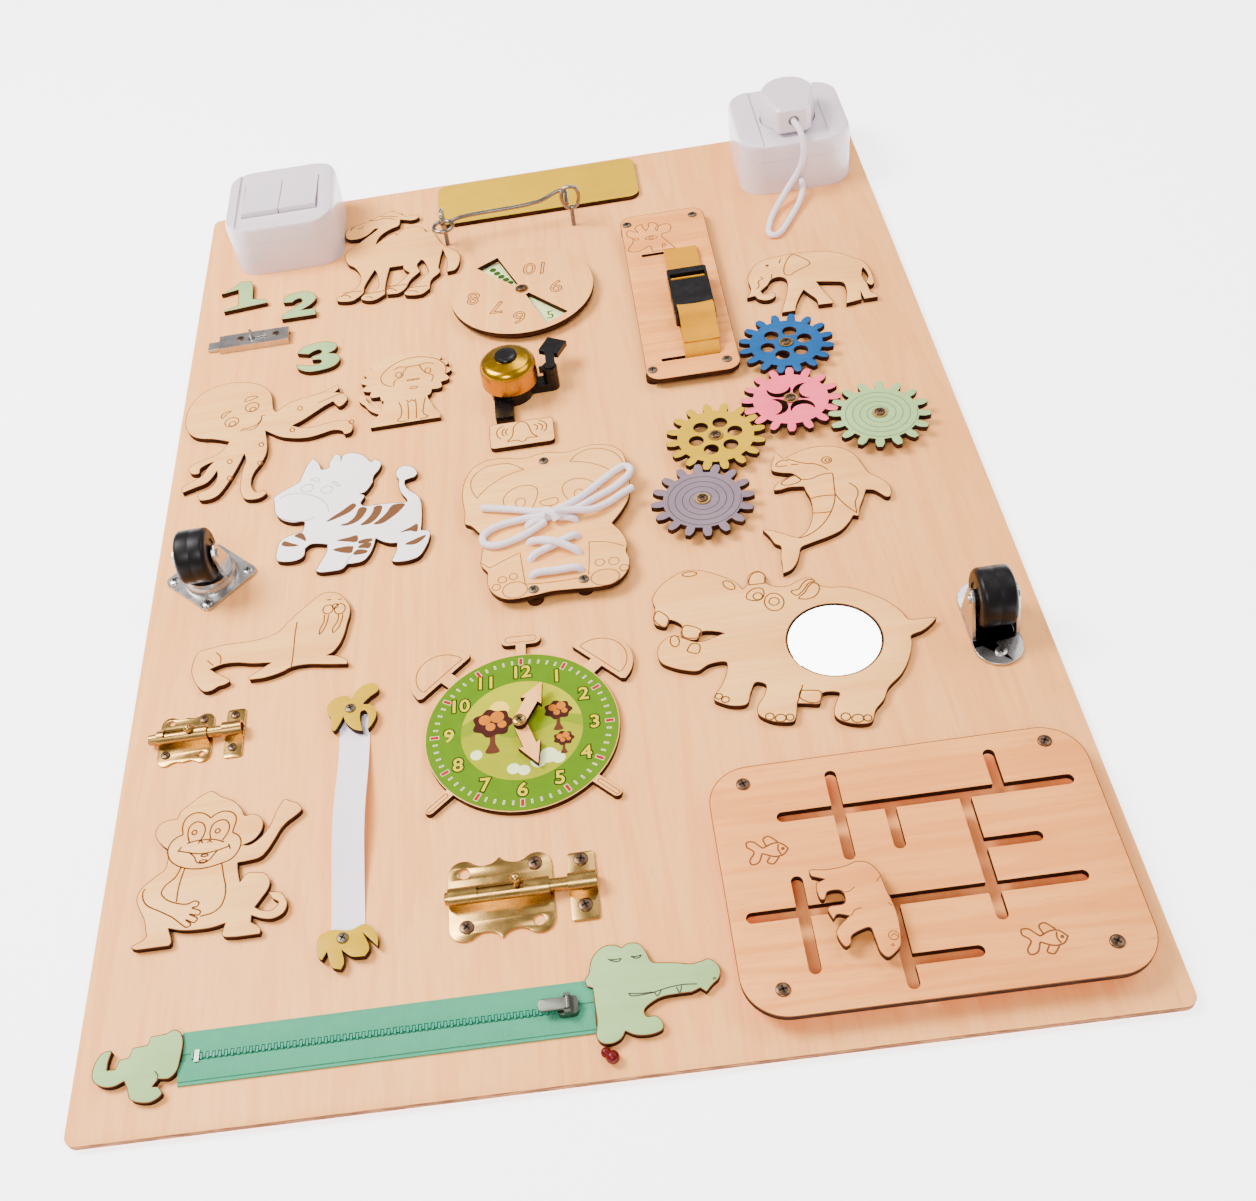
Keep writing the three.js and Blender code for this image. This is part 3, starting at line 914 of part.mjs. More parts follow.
function barrelBolt(bolt) {
  const axisZ = FACE + BRASS_T + bolt.rodR + GAP;
  const barrelR = bolt.rodR + GAP + BRASS_T;
  const barrelL = bolt.barrelTo - bolt.barrelFrom;
  const hollow = (from, length) => rodX(bolt.rodR + GAP, from - OVER, length + 2 * OVER, bolt.y, axisZ, 12);
  const roll = (from, length) => join(
    rodX(barrelR, from, length, bolt.y, axisZ, 12),
    block(length, 2 * barrelR, axisZ - FACE, from + length / 2, bolt.y, FACE),
  );
  const slotL = bolt.stroke + 2 * bolt.knobR + 2 * GAP;
  const slotX = bolt.knobX + bolt.knobR + GAP - slotL / 2;
  place(`${bolt.name}_plate`, cut(
    join(prism(bolt.plate, FACE, BRASS_T), roll(bolt.barrelFrom, barrelL)),
    hollow(bolt.barrelFrom, barrelL),
    block(slotL, barrelR, barrelR + OVER, slotX, bolt.y, axisZ),
    ...bolt.holes.map(([x, y]) => drum(bolt.holeR, FACE - OVER, BRASS_T + 2 * OVER, x, y, 12)),
  ), brass);
  const keeperL = bolt.keeperTo - bolt.keeperFrom;
  place(`${bolt.name}_keeper`, cut(
    join(
      prism(roundedRect(keeperL, bolt.keeperW, BRASS_T), FACE, BRASS_T,
        bolt.keeperFrom + keeperL / 2, bolt.keeperY, 1),
      roll(bolt.keeperFrom, keeperL),
    ),
    hollow(bolt.keeperFrom, keeperL),
  ), brass);
  const knobZ = axisZ + bolt.rodR + bolt.knobH;
  place(`${bolt.name}_rod`, join(
    rodX(bolt.rodR, bolt.rodFrom, bolt.rodTo - bolt.rodFrom, bolt.y, axisZ, 12),
    drum(bolt.knobR, axisZ, bolt.rodR + bolt.knobH, bolt.knobX, bolt.y, 8),
    ball(bolt.knobBallR, bolt.knobX, bolt.y, knobZ, 8),
  ), brass);
}

const SMALL_X = -217;
const SMALL_Y = -150.6;
const SMALL_W = 30;
const SMALL_H = 33.5;
const smallPlateShares = [
  [-0.5, 0.30, 1], [-0.46, 0.45], [-0.33, 0.50], [-0.16, 0.44], [0, 0.46], [0.16, 0.44], [0.33, 0.50],
  [0.46, 0.45], [0.5, 0.30, 1], [0.5, -0.30, 1], [0.46, -0.45], [0.33, -0.50], [0.16, -0.44], [0, -0.46],
  [-0.16, -0.44], [-0.33, -0.50], [-0.46, -0.45], [-0.5, -0.30, 1],
];
const LARGE_X = -48.2;
const LARGE_Y = -274.5;
const LARGE_W = 51.5;
const LARGE_H = 45;
const largePlateShares = [
  [-0.5, 0.30, 1], [-0.46, 0.44], [-0.36, 0.50], [-0.24, 0.44], [-0.12, 0.42], [-0.06, 0.44], [0, 0.50, 1],
  [0.06, 0.44], [0.12, 0.42], [0.24, 0.44], [0.36, 0.50], [0.46, 0.44], [0.5, 0.30, 1], [0.5, -0.30, 1],
  [0.46, -0.44], [0.36, -0.50], [0.24, -0.44], [0.12, -0.42], [0.06, -0.44], [0, -0.50, 1], [-0.06, -0.44],
  [-0.12, -0.42], [-0.24, -0.44], [-0.36, -0.50], [-0.46, -0.44], [-0.5, -0.30, 1],
];
const plateOutline = (shares, width, height, x, y) => {
  const flat = figure(shares.map(([u, v, sharp]) => [u * width, v * height, sharp]), 1);
  return new THREE.Shape(flat.getPoints().map((point) => new THREE.Vector2(point.x + x, point.y + y)));
};
const SMALL_ROD_R = 3;
const SMALL_ROD_FROM = -236.5;
const SMALL_ROD_TO = -186;
const SMALL_STROKE = 11;
const SMALL_BARREL_FROM = -231;
const SMALL_BARREL_TO = -203.5;
const SMALL_KNOB_X = -213;
const SMALL_KNOB_R = 1.8;
const SMALL_KNOB_BALL_R = 2.6;
const SMALL_KNOB_H = 2.4;
const SMALL_HOLE_R = 1.8;
const SMALL_KEEPER_FROM = -195;
const SMALL_KEEPER_TO = -184.5;
const SMALL_KEEPER_W = 33;
const smallHoleShares = [[-0.30, 0.376], [0.327, -0.331]];
barrelBolt({
  name: "small_bolt", y: SMALL_Y,
  plate: plateOutline(smallPlateShares, SMALL_W, SMALL_H, SMALL_X, SMALL_Y),
  barrelFrom: SMALL_BARREL_FROM, barrelTo: SMALL_BARREL_TO,
  rodR: SMALL_ROD_R, rodFrom: SMALL_ROD_FROM, rodTo: SMALL_ROD_TO, stroke: SMALL_STROKE,
  knobX: SMALL_KNOB_X, knobR: SMALL_KNOB_R, knobBallR: SMALL_KNOB_BALL_R, knobH: SMALL_KNOB_H,
  holeR: SMALL_HOLE_R,
  holes: smallHoleShares.map(([u, v]) => [SMALL_X + u * SMALL_W, SMALL_Y + v * SMALL_H]),
  keeperFrom: SMALL_KEEPER_FROM, keeperTo: SMALL_KEEPER_TO, keeperW: SMALL_KEEPER_W, keeperY: SMALL_Y,
});
const LARGE_ROD_R = 3.3;
const LARGE_ROD_FROM = -75;
const LARGE_ROD_TO = -2;
const LARGE_STROKE = 15;
const LARGE_BARREL_FROM = -73;
const LARGE_BARREL_TO = -24;
const LARGE_KNOB_X = -39;
const LARGE_KNOB_R = 1.6;
const LARGE_KNOB_BALL_R = 2.8;
const LARGE_KNOB_H = 7;
const LARGE_HOLE_R = 2.9;
const LARGE_KEEPER_FROM = -15;
const LARGE_KEEPER_TO = -1.2;
const LARGE_KEEPER_W = 38;
const largeHoleShares = [[-0.342, 0.333], [0.346, -0.344]];
barrelBolt({
  name: "large_bolt", y: LARGE_Y,
  plate: plateOutline(largePlateShares, LARGE_W, LARGE_H, LARGE_X, LARGE_Y),
  barrelFrom: LARGE_BARREL_FROM, barrelTo: LARGE_BARREL_TO,
  rodR: LARGE_ROD_R, rodFrom: LARGE_ROD_FROM, rodTo: LARGE_ROD_TO, stroke: LARGE_STROKE,
  knobX: LARGE_KNOB_X, knobR: LARGE_KNOB_R, knobBallR: LARGE_KNOB_BALL_R, knobH: LARGE_KNOB_H,
  holeR: LARGE_HOLE_R,
  holes: largeHoleShares.map(([u, v]) => [LARGE_X + u * LARGE_W, LARGE_Y + v * LARGE_H]),
  keeperFrom: LARGE_KEEPER_FROM, keeperTo: LARGE_KEEPER_TO, keeperW: LARGE_KEEPER_W, keeperY: LARGE_Y,
});

// Casters: one on a swivel, one fixed
const WHEEL_R = 16;
const WHEEL_W = 20;
const WHEEL_ROUND = 4;
const HUB_R = 5;
const AXLE_R = 2.5;
const CHEEK_T = 2;
const HUB_PROUD = 1;
const wheelProfile = [
  [0, -WHEEL_W / 2], [HUB_R, -WHEEL_W / 2], [HUB_R, HUB_PROUD - WHEEL_W / 2],
  [WHEEL_R - WHEEL_ROUND, HUB_PROUD - WHEEL_W / 2], [WHEEL_R, WHEEL_ROUND - WHEEL_W / 2],
  [WHEEL_R, WHEEL_W / 2 - WHEEL_ROUND], [WHEEL_R - WHEEL_ROUND, WHEEL_W / 2 - HUB_PROUD],
  [HUB_R, WHEEL_W / 2 - HUB_PROUD], [HUB_R, WHEEL_W / 2], [0, WHEEL_W / 2],
];
function casterWheel(name, x, y, z) {
  const tread = new THREE.LatheGeometry(wheelProfile.map(([r, h]) => new THREE.Vector2(r, h)), 20)
    .rotateZ(Math.PI / 2)
    .translate(x, y, z);
  place(name, cut(solidOf(tread), rodX(AXLE_R + GAP, x - WHEEL_W, 2 * WHEEL_W, y, z, 10)), blackRubber);
}
// A cheek in Y and Z: wide at its root, round at the axle
function cheek(x, rootY, rootW, rootZ, axleY, axleZ, topR) {
  const shape = new THREE.Shape();
  shape.moveTo(rootY - rootW / 2, rootZ);
  shape.lineTo(rootY + rootW / 2, rootZ);
  shape.lineTo(axleY + topR, axleZ);
  shape.absarc(axleY, axleZ, topR, 0, Math.PI);
  shape.closePath();
  return alongX(shape, x, CHEEK_T, 3);
}

const SWIVEL_X = -214.3;
const SWIVEL_Y = -27.5;
const SWIVEL_SIDE = 41.5;
const SWIVEL_CORNER = 4;
const SWIVEL_PLATE_T = 2;
const SWIVEL_HOLE_R = 2.4;
const SWIVEL_HOLE_OUT = 22.5;
const RACE_R = 16.5;
const RACE_H = 4.5;
const SWIVEL_TRAIL = 8.5;
const SWIVEL_AXLE_Z = 28;
const CROWN_R = 15.5;
const CROWN_T = 2.4;
const KINGPIN_R = 4;
const CHEEK_TOP_R = 6;
const CHEEK_ROOT_W = 18.6;
const diamond = new THREE.Shape(roundedRect(SWIVEL_SIDE, SWIVEL_SIDE, SWIVEL_CORNER).getPoints(1)
  .map((point) => point.rotateAround(new THREE.Vector2(), Math.PI / 4)));
const raceTop = FACE + SWIVEL_PLATE_T + RACE_H;
const crownTop = raceTop + GAP + CROWN_T;
place("caster_plate", cut(
  join(
    prism(diamond, FACE, SWIVEL_PLATE_T, SWIVEL_X, SWIVEL_Y),
    turned([[0, FACE], [RACE_R, FACE], [RACE_R, raceTop - RACE_H / 2], [RACE_R - OVER, raceTop], [0, raceTop]],
      SWIVEL_X, SWIVEL_Y),
    drum(KINGPIN_R / 2, FACE, crownTop + GAP - FACE, SWIVEL_X, SWIVEL_Y, 10),
    drum(KINGPIN_R, crownTop + GAP, CROWN_T / 2, SWIVEL_X, SWIVEL_Y, 10),
  ),
  ...[[1, 0], [0, 1], [-1, 0], [0, -1]].map(([u, v]) => drum(SWIVEL_HOLE_R, FACE - OVER,
    SWIVEL_PLATE_T + 2 * OVER, SWIVEL_X + SWIVEL_HOLE_OUT * u, SWIVEL_Y + SWIVEL_HOLE_OUT * v, 8)),
), steel);
const forkHalf = WHEEL_W / 2 + 2 * GAP;
const swivelAxle = [SWIVEL_Y - SWIVEL_TRAIL, FACE + SWIVEL_AXLE_Z];
place("caster_fork", join(
  cut(
    drum(CROWN_R, raceTop + GAP, CROWN_T, SWIVEL_X, SWIVEL_Y, 20),
    drum(KINGPIN_R / 2 + GAP, raceTop, 2 * CROWN_T, SWIVEL_X, SWIVEL_Y, 10),
  ),
  cheek(SWIVEL_X - forkHalf - CHEEK_T, SWIVEL_Y, CHEEK_ROOT_W, raceTop + GAP, ...swivelAxle, CHEEK_TOP_R),
  cheek(SWIVEL_X + forkHalf, SWIVEL_Y, CHEEK_ROOT_W, raceTop + GAP, ...swivelAxle, CHEEK_TOP_R),
  rodX(AXLE_R, SWIVEL_X - forkHalf - CHEEK_T - OVER, 2 * (forkHalf + CHEEK_T + OVER), ...swivelAxle, 10),
), steel);
casterWheel("caster_wheel", SWIVEL_X, ...swivelAxle);

const FIXED_X = 221;
const FIXED_Y = -147;
const FIXED_W = 26;
const FIXED_L = 60;
const FIXED_T = 2;
const FIXED_AXLE_Z = 22;
const FIXED_CHEEK_W = 24;
const fixedAxle = [FIXED_Y, FACE + FIXED_AXLE_Z];
place("fixed_caster_bracket", join(
  prism(roundedRect(FIXED_W, FIXED_L, FIXED_W / 2), FACE, FIXED_T, FIXED_X, FIXED_Y),
  cheek(FIXED_X - forkHalf - CHEEK_T, FIXED_Y, FIXED_CHEEK_W, FACE + FIXED_T / 2, ...fixedAxle, CHEEK_TOP_R),
  cheek(FIXED_X + forkHalf, FIXED_Y, FIXED_CHEEK_W, FACE + FIXED_T / 2, ...fixedAxle, CHEEK_TOP_R),
  rodX(AXLE_R, FIXED_X - forkHalf - CHEEK_T - OVER, 2 * (forkHalf + CHEEK_T + OVER), ...fixedAxle, 10),
), blackPlastic);
casterWheel("fixed_caster_wheel", FIXED_X, ...fixedAxle);

// Bicycle bell: a clamp foot, a post through the dome, and a thumb lever on its own pin
const BELL_X = -24;
const BELL_Y = 104.5;
const DOME_R = 18.3;
const DOME_WALL = 1.2;
const DOME_LOW = 12;
const DOME_HIGH = 18.6;
const BELL_CAP_R = 7;
const BELL_CAP_T = 2.4;
const BELL_CAP_EDGE = 0.7;
const BELL_CAP_SHOULDER = 1.7;
const BELL_POST_R = 2.5;
const BELL_FOOT_R = 14;
const BELL_FOOT_T = 8;
const CLAMP_W = 12;
const CLAMP_L = 24;
const CLAMP_T = 6;
const CLAMP_OUT = 18;
const LEVER_X = 2.5;
const LEVER_Y = 105.5;
const LEVER_PIN_R = 2;
const LEVER_HEAD_R = 3.6;
const LEVER_EYE_R = 5;
const LEVER_LOW = 13;
const LEVER_T = 4;
const LEVER_PAD_SIDE = 14;
const LEVER_PAD_ANGLE = 30;
const LEVER_PAD_X = 3.5;
const LEVER_PAD_Y = 21.5;
const LEVER_ARM_W = 6;
const HAMMER_L = 7;
const domeTop = FACE + DOME_LOW + DOME_HIGH;
const domeSteps = 5;
const domeProfile = [];
for (let i = 0; i <= domeSteps; i++) {
  const angle = i / domeSteps * Math.PI / 2;
  domeProfile.push([DOME_R * Math.cos(angle), FACE + DOME_LOW + DOME_HIGH * Math.sin(angle)]);
}
for (let i = domeSteps; i >= 0; i--) {
  const angle = i / domeSteps * Math.PI / 2;
  domeProfile.push([
    (DOME_R - DOME_WALL) * Math.cos(angle), FACE + DOME_LOW + (DOME_HIGH - DOME_WALL) * Math.sin(angle)]);
}
domeProfile.push(domeProfile[0]);
place("bell_dome", cut(
  turned(domeProfile, BELL_X, BELL_Y, 20),
  drum(BELL_POST_R + GAP, domeTop - 3 * DOME_WALL, 6 * DOME_WALL, BELL_X, BELL_Y, 10),
), gold);
place("bell_base", join(
  drum(BELL_FOOT_R, FACE, BELL_FOOT_T, BELL_X, BELL_Y, 20),
  prism(roundedRect(CLAMP_W, CLAMP_L, 2 * GAP), FACE, CLAMP_T, BELL_X - CLAMP_W / 2, BELL_Y - CLAMP_OUT),
  block(LEVER_X - BELL_X, LEVER_EYE_R * 2, CLAMP_T, (LEVER_X + BELL_X) / 2, LEVER_Y, FACE),
  drum(LEVER_EYE_R, FACE, LEVER_LOW - GAP, LEVER_X, LEVER_Y, 12),
  drum(LEVER_PIN_R, FACE, LEVER_LOW + LEVER_T + 2 * GAP, LEVER_X, LEVER_Y, 10),
  drum(LEVER_HEAD_R, FACE + LEVER_LOW + LEVER_T + GAP, OVER, LEVER_X, LEVER_Y, 10),
  drum(BELL_POST_R, FACE, domeTop - FACE + OVER, BELL_X, BELL_Y, 10),
  turned([
    [0, domeTop + GAP], [BELL_CAP_R, domeTop + GAP], [BELL_CAP_R - BELL_CAP_EDGE, domeTop + BELL_CAP_SHOULDER],
    [BELL_CAP_R / 2, domeTop + BELL_CAP_T], [0, domeTop + BELL_CAP_T],
  ], BELL_X, BELL_Y, 16),
), blackPlastic);
const padGeometry = new THREE.BoxGeometry(LEVER_PAD_SIDE, LEVER_PAD_SIDE, LEVER_T)
  .rotateZ(-LEVER_PAD_ANGLE * degrees)
  .translate(LEVER_X + LEVER_PAD_X, LEVER_Y + LEVER_PAD_Y, FACE + LEVER_LOW + LEVER_T / 2);
place("bell_lever", cut(
  join(
    drum(LEVER_EYE_R, FACE + LEVER_LOW, LEVER_T, LEVER_X, LEVER_Y, 12),
    block(LEVER_ARM_W, LEVER_PAD_Y, LEVER_T,
      LEVER_X + LEVER_PAD_X / 4, LEVER_Y + LEVER_PAD_Y / 2, FACE + LEVER_LOW),
    block(HAMMER_L, LEVER_ARM_W / 2, LEVER_T, LEVER_X - HAMMER_L / 2, LEVER_Y, FACE + LEVER_LOW),
    solidOf(padGeometry),
  ),
  drum(LEVER_PIN_R + GAP, FACE, 2 * FACE + LEVER_LOW + LEVER_T, LEVER_X, LEVER_Y, 10),
), blackPlastic);

// Clock: dial, two bells, button and legs cut from one sheet, and two arrow hands on a screw
const CLOCK_X = -32.6;
const CLOCK_Y = -177.3;
const DIAL_R = 51.8;
const CLOCK_ANGLE = -2.4;
const CLOCK_BELL_R = 20;
const CLOCK_BELL_OUT = 58;
const CLOCK_BELL_ANGLE = 45.5;
const CLOCK_NECK_W = 8;
const CLOCK_BUTTON_W = 22.3;
const CLOCK_BUTTON_H = 7.7;
const CLOCK_BUTTON_OUT = 63;
const CLOCK_STEM_W = 5.5;
const CLOCK_STEM_DEEP = 20;
const CLOCK_LEG_ANGLE = 46.5;
const CLOCK_LEG_OUT = 68.5;
const CLOCK_LEG_W = 5.2;
const HAND_L = 27.5;
const HAND_W = 7.2;
const HAND_HEAD_W = 12.5;
const HAND_HEAD_L = 13;
const HAND_PIN_R = 2;
const HAND_SCREW_R = 4.1;
const MINUTE_ANGLE = 61;
const HOUR_ANGLE = -73.5;

// A flat piece drawn along +X from the dial's centre and turned to its angle
function radial(shape, angle, arcSteps = 2) {
  return solidOf(new THREE.ExtrudeGeometry(shape, { depth: PLY, bevelEnabled: false, curveSegments: arcSteps })
    .rotateZ(angle * degrees)
    .translate(CLOCK_X, CLOCK_Y, FACE));
}
const stem = (out, width, round) => {
  const length = out - DIAL_R + CLOCK_STEM_DEEP;
  return roundedRect(length, width, round, out - length / 2);
};
function clockBell(angle) {
  const shape = new THREE.Shape();
  const round = CLOCK_NECK_W / 4;
  shape.moveTo(CLOCK_BELL_OUT, round - CLOCK_BELL_R);
  const turn = Math.PI / 2 - round / CLOCK_BELL_R;
  shape.absarc(CLOCK_BELL_OUT, 0, CLOCK_BELL_R, -turn, turn);
  shape.lineTo(CLOCK_BELL_OUT, CLOCK_BELL_R - round);
  return join(
    radial(shape, angle, 6),
    radial(stem(CLOCK_BELL_OUT + CLOCK_NECK_W / 2, CLOCK_NECK_W, GAP), angle, 1),
  );
}
const upright = 90 + CLOCK_ANGLE;
const handSeat = FACE + PLY + 2 * GAP;
const handHeadZ = handSeat + 2 * (PLY + GAP);
place("clock_body", join(
  drum(DIAL_R, FACE, PLY, CLOCK_X, CLOCK_Y, 40),
  clockBell(upright + CLOCK_BELL_ANGLE),
  clockBell(upright - CLOCK_BELL_ANGLE),
  radial(roundedRect(CLOCK_BUTTON_H, CLOCK_BUTTON_W, CLOCK_BUTTON_H / 2, CLOCK_BUTTON_OUT), upright),
  radial(stem(CLOCK_BUTTON_OUT, CLOCK_STEM_W, GAP), upright, 1),
  ...[-1, 1].map((side) => radial(
    stem(CLOCK_LEG_OUT, CLOCK_LEG_W, CLOCK_LEG_W / 2), upright + 180 + side * CLOCK_LEG_ANGLE)),
  drum(HAND_PIN_R, FACE, handHeadZ + HEAD_T / 2 - FACE, CLOCK_X, CLOCK_Y, 10),
  drum(HAND_SCREW_R, handHeadZ, HEAD_T, CLOCK_X, CLOCK_Y, 12),
), greenPaint);
function hand(name, bottom, angle) {
  const neck = HAND_L - HAND_HEAD_L;
  const arrow = new THREE.Shape();
  arrow.moveTo(0, -HAND_W / 2);
  arrow.lineTo(neck, -HAND_W / 2);
  arrow.lineTo(neck - HAND_W / 8, -HAND_HEAD_W / 2);
  arrow.lineTo(HAND_L, 0);
  arrow.lineTo(neck - HAND_W / 8, HAND_HEAD_W / 2);
  arrow.lineTo(neck, HAND_W / 2);
  arrow.lineTo(0, HAND_W / 2);
  arrow.absarc(0, 0, HAND_W / 2, Math.PI / 2, Math.PI * 1.5);
  const geometry = new THREE.ExtrudeGeometry(arrow, { depth: PLY, bevelEnabled: false, curveSegments: 4 })
    .rotateZ(angle * degrees)
    .translate(CLOCK_X, CLOCK_Y, bottom);
  const bore = drum(HAND_PIN_R + GAP, bottom - OVER, PLY + 2 * OVER, CLOCK_X, CLOCK_Y, 10);
  place(name, cut(solidOf(geometry), bore), birch);
}
hand("hour_hand", handSeat, HOUR_ANGLE);
hand("minute_hand", handSeat + PLY + GAP, MINUTE_ANGLE);

// Maze plate on four standoffs, and the bear whose peg runs in its long slot
const MAZE_X = 148.75;
const MAZE_Y = -293.25;
const MAZE_W = 182.5;
const MAZE_H = 133.5;
const MAZE_CORNER = 21;
const MAZE_LIFT = 8.4;
const SLOT_W = 5.7;
const slotShares = [
  [-0.317, 0.261, 0.428, 0.261], [-0.170, 0.0715, -0.170, 0.412], [-0.038, 0.090, -0.038, 0.261],
  [0.252, 0.261, 0.252, 0.412], [0.1575, -0.232, 0.1575, 0.261], [0.1575, 0.047, 0.302, 0.047],
  [-0.443, -0.127, 0.377, -0.127], [-0.315, -0.342, -0.315, -0.008], [-0.0935, -0.438, -0.0935, -0.127],
  [-0.0935, -0.354, 0.077, -0.354],
];
const mazeScrewShares = [[-0.403, 0.424], [0.405, 0.436], [-0.401, -0.403], [0.40, -0.384]];
const mazeBottom = FACE + MAZE_LIFT;
const mazeSlot = ([x0, y0, x1, y1]) => prism(
  roundedRect((x1 - x0) * MAZE_W + SLOT_W, (y1 - y0) * MAZE_H + SLOT_W, SLOT_W / 2),
  mazeBottom - OVER, PLY + 2 * OVER, MAZE_X + (x0 + x1) / 2 * MAZE_W, MAZE_Y + (y0 + y1) / 2 * MAZE_H, 1);
place("maze_plate", join(
  cut(
    prism(roundedRect(MAZE_W, MAZE_H, MAZE_CORNER), mazeBottom, PLY, MAZE_X, MAZE_Y, 3),
    ...slotShares.map(mazeSlot),
  ),
  ...mazeScrewShares.map(([u, v]) => drum(SPACER_R, FACE, MAZE_LIFT + PLY / 2,
    MAZE_X + u * MAZE_W, MAZE_Y + v * MAZE_H, 8)),
), birch);
const PEG_R = 2.4;
const PEG_SHIFT = 5;
const PEG_LIFT = 4;
const WASHER_R = 4.6;
const WASHER_T = 2.6;
const bearBottom = mazeBottom + PLY + PEG_LIFT;
const pegX = BEAR_X + PEG_SHIFT;
const pegY = MAZE_Y + slotShares[6][1] * MAZE_H;
const washerLow = mazeBottom - 2 * GAP - WASHER_T;
place("bear", join(
  prism(figure(bearShares, BEAR_SIDE), bearBottom, PLY, BEAR_X, BEAR_Y),
  drum(WASHER_R, mazeBottom + PLY + GAP, PEG_LIFT, pegX, pegY, 10),
  drum(PEG_R, washerLow, bearBottom - washerLow + OVER, pegX, pegY, 10),
  drum(WASHER_R, washerLow, WASHER_T, pegX, pegY, 10),
), birch);

// Crocodile and the zip that is its back
const crocodileHead = prism(figure(crocHeadShares, CROC_HEAD_SIDE), FACE, PLY, CROC_HEAD_X, CROC_HEAD_Y);
const crocodileTail = prism(figure(crocTailShares, CROC_TAIL_SIDE), FACE, PLY, CROC_TAIL_X, CROC_TAIL_Y);
place("crocodile_head", crocodileHead, mintPaint);
place("crocodile_tail", crocodileTail, mintPaint);
const ZIP_X = -105;
const ZIP_Y = -337.6;
const ZIP_L = 185.5;
const TAPE_W = 26;
const TAPE_T = 0.9;
const TEETH_W = 3;
const TEETH_H = 2;
const ZIP_SLIDER_L = 9.5;
const ZIP_SLIDER_W = 9;
const ZIP_SLIDER_T = 4.2;
const ZIP_PIN_R = 0.5;
const PULL_EYE_R = 1.6;
const BAIL_W = 3;
const PULL_L = 22;
const PULL_W = 6.5;
const PULL_T = 1.6;
const tapeTop = FACE + TAPE_T;
place("zipper_tape", join(
  block(ZIP_L, TAPE_W, TAPE_T, ZIP_X, ZIP_Y, FACE),
  block(ZIP_L - TEETH_W, TEETH_W, TAPE_T / 2 + TEETH_H, ZIP_X, ZIP_Y, FACE + TAPE_T / 2),
), tealCloth);
const zipSliderX = ZIP_X + ZIP_L / 2 - ZIP_SLIDER_L / 2 - TEETH_W;
const sliderLow = tapeTop + GAP;
const sliderTop = sliderLow + ZIP_SLIDER_T;
const pinZ = sliderTop + GAP + PULL_EYE_R;
const bailH = GAP + PULL_EYE_R + 2 * ZIP_PIN_R;
const crossPin = (radius, length) => solidOf(
  new THREE.CylinderGeometry(radius, radius, length, 12).translate(zipSliderX, ZIP_Y, pinZ));
place("zipper_slider", join(
  cut(
    prism(roundedRect(ZIP_SLIDER_L, ZIP_SLIDER_W, ZIP_SLIDER_W / 4), sliderLow, ZIP_SLIDER_T,
      zipSliderX, ZIP_Y, 3),
    block(2 * ZIP_SLIDER_L, TEETH_W + 2 * GAP, TEETH_H + 2 * GAP, zipSliderX, ZIP_Y, tapeTop),
  ),
  ...[-1, 1].map((side) => block(BAIL_W, BAIL_W / 2, bailH + OVER, zipSliderX,
    ZIP_Y + side * (PULL_W / 2 + BAIL_W / 4), sliderTop - OVER)),
  crossPin(ZIP_PIN_R, PULL_W + BAIL_W / 2),
), steel);
place("zipper_pull", cut(
  join(
    prism(roundedRect(PULL_L, PULL_W - 2 * GAP, PULL_W / 2), pinZ - PULL_T / 2, PULL_T,
      zipSliderX - PULL_L / 2, ZIP_Y, 4),
    crossPin(PULL_EYE_R, PULL_W - 2 * GAP),
  ),
  crossPin(ZIP_PIN_R + GAP, 2 * PULL_W),
), steel);

// Ribbon held by two bananas
const RIBBON_X = -123.2;
const RIBBON_W = 16.5;
const RIBBON_T = 0.6;
const RIBBON_TOP = -148;
const RIBBON_LOW = -290;
const RIBBON_TAB = 18;
const RIBBON_BULGE = 6;
const lie = FACE + GAP / 2 + RIBBON_T / 2;
place("ribbon", strap([
  [RIBBON_TOP, lie], [RIBBON_TOP - RIBBON_TAB, lie], [RIBBON_TOP - 2 * RIBBON_TAB, lie + RIBBON_BULGE / 3],
  [(RIBBON_TOP + RIBBON_LOW) / 2, lie + RIBBON_BULGE], [RIBBON_LOW + 2 * RIBBON_TAB, lie + RIBBON_BULGE / 3],
  [RIBBON_LOW + RIBBON_TAB, lie], [RIBBON_LOW, lie],
], RIBBON_T, RIBBON_X, RIBBON_W, 24), whiteCloth);
const bananaSeat = FACE + RIBBON_T + 2 * GAP;
const banana = (shares, side, x, y) => prism(figure(shares, side), bananaSeat, PLY, x, y);
place("banana_top", banana(bananaTopShares, BANANA_TOP_SIDE, BANANA_TOP_X, BANANA_TOP_Y), yellowPaint);
place("banana_bottom", banana(bananaLowShares, BANANA_LOW_SIDE, BANANA_LOW_X, BANANA_LOW_Y), yellowPaint);

// Buckle panel with its two straps and the side-release buckle
const PANEL_X = 94.75;
const PANEL_Y = 181.25;
const PANEL_W = 60.5;
const PANEL_H = 189.5;
const PANEL_CORNER = 9;
const PANEL_LIFT = 4.4;
const PANEL_SLOT_W = 38.7;
const PANEL_SLOT_H = 3;
const PANEL_SLOT_HIGH = 225;
const PANEL_SLOT_LOW = 105.5;
const panelScrewShares = [[-0.425, 0.447], [0.368, 0.451], [-0.434, -0.447], [0.368, -0.447]];
const panelLow = FACE + PANEL_LIFT;
const panelTop = panelLow + PLY;
place("buckle_panel", join(
  cut(
    prism(roundedRect(PANEL_W, PANEL_H, PANEL_CORNER), panelLow, PLY, PANEL_X, PANEL_Y),
    ...[PANEL_SLOT_HIGH, PANEL_SLOT_LOW].map((y) => block(PANEL_SLOT_W, PANEL_SLOT_H, PLY + 2 * OVER,
      PANEL_X, y, panelLow - OVER)),
  ),
  ...panelScrewShares.map(([u, v]) => drum(SMALL_SPACER_R, FACE, PANEL_LIFT + PLY / 2,
    PANEL_X + u * PANEL_W, PANEL_Y + v * PANEL_H, 8)),
), birch);
const WEB_W = 23;
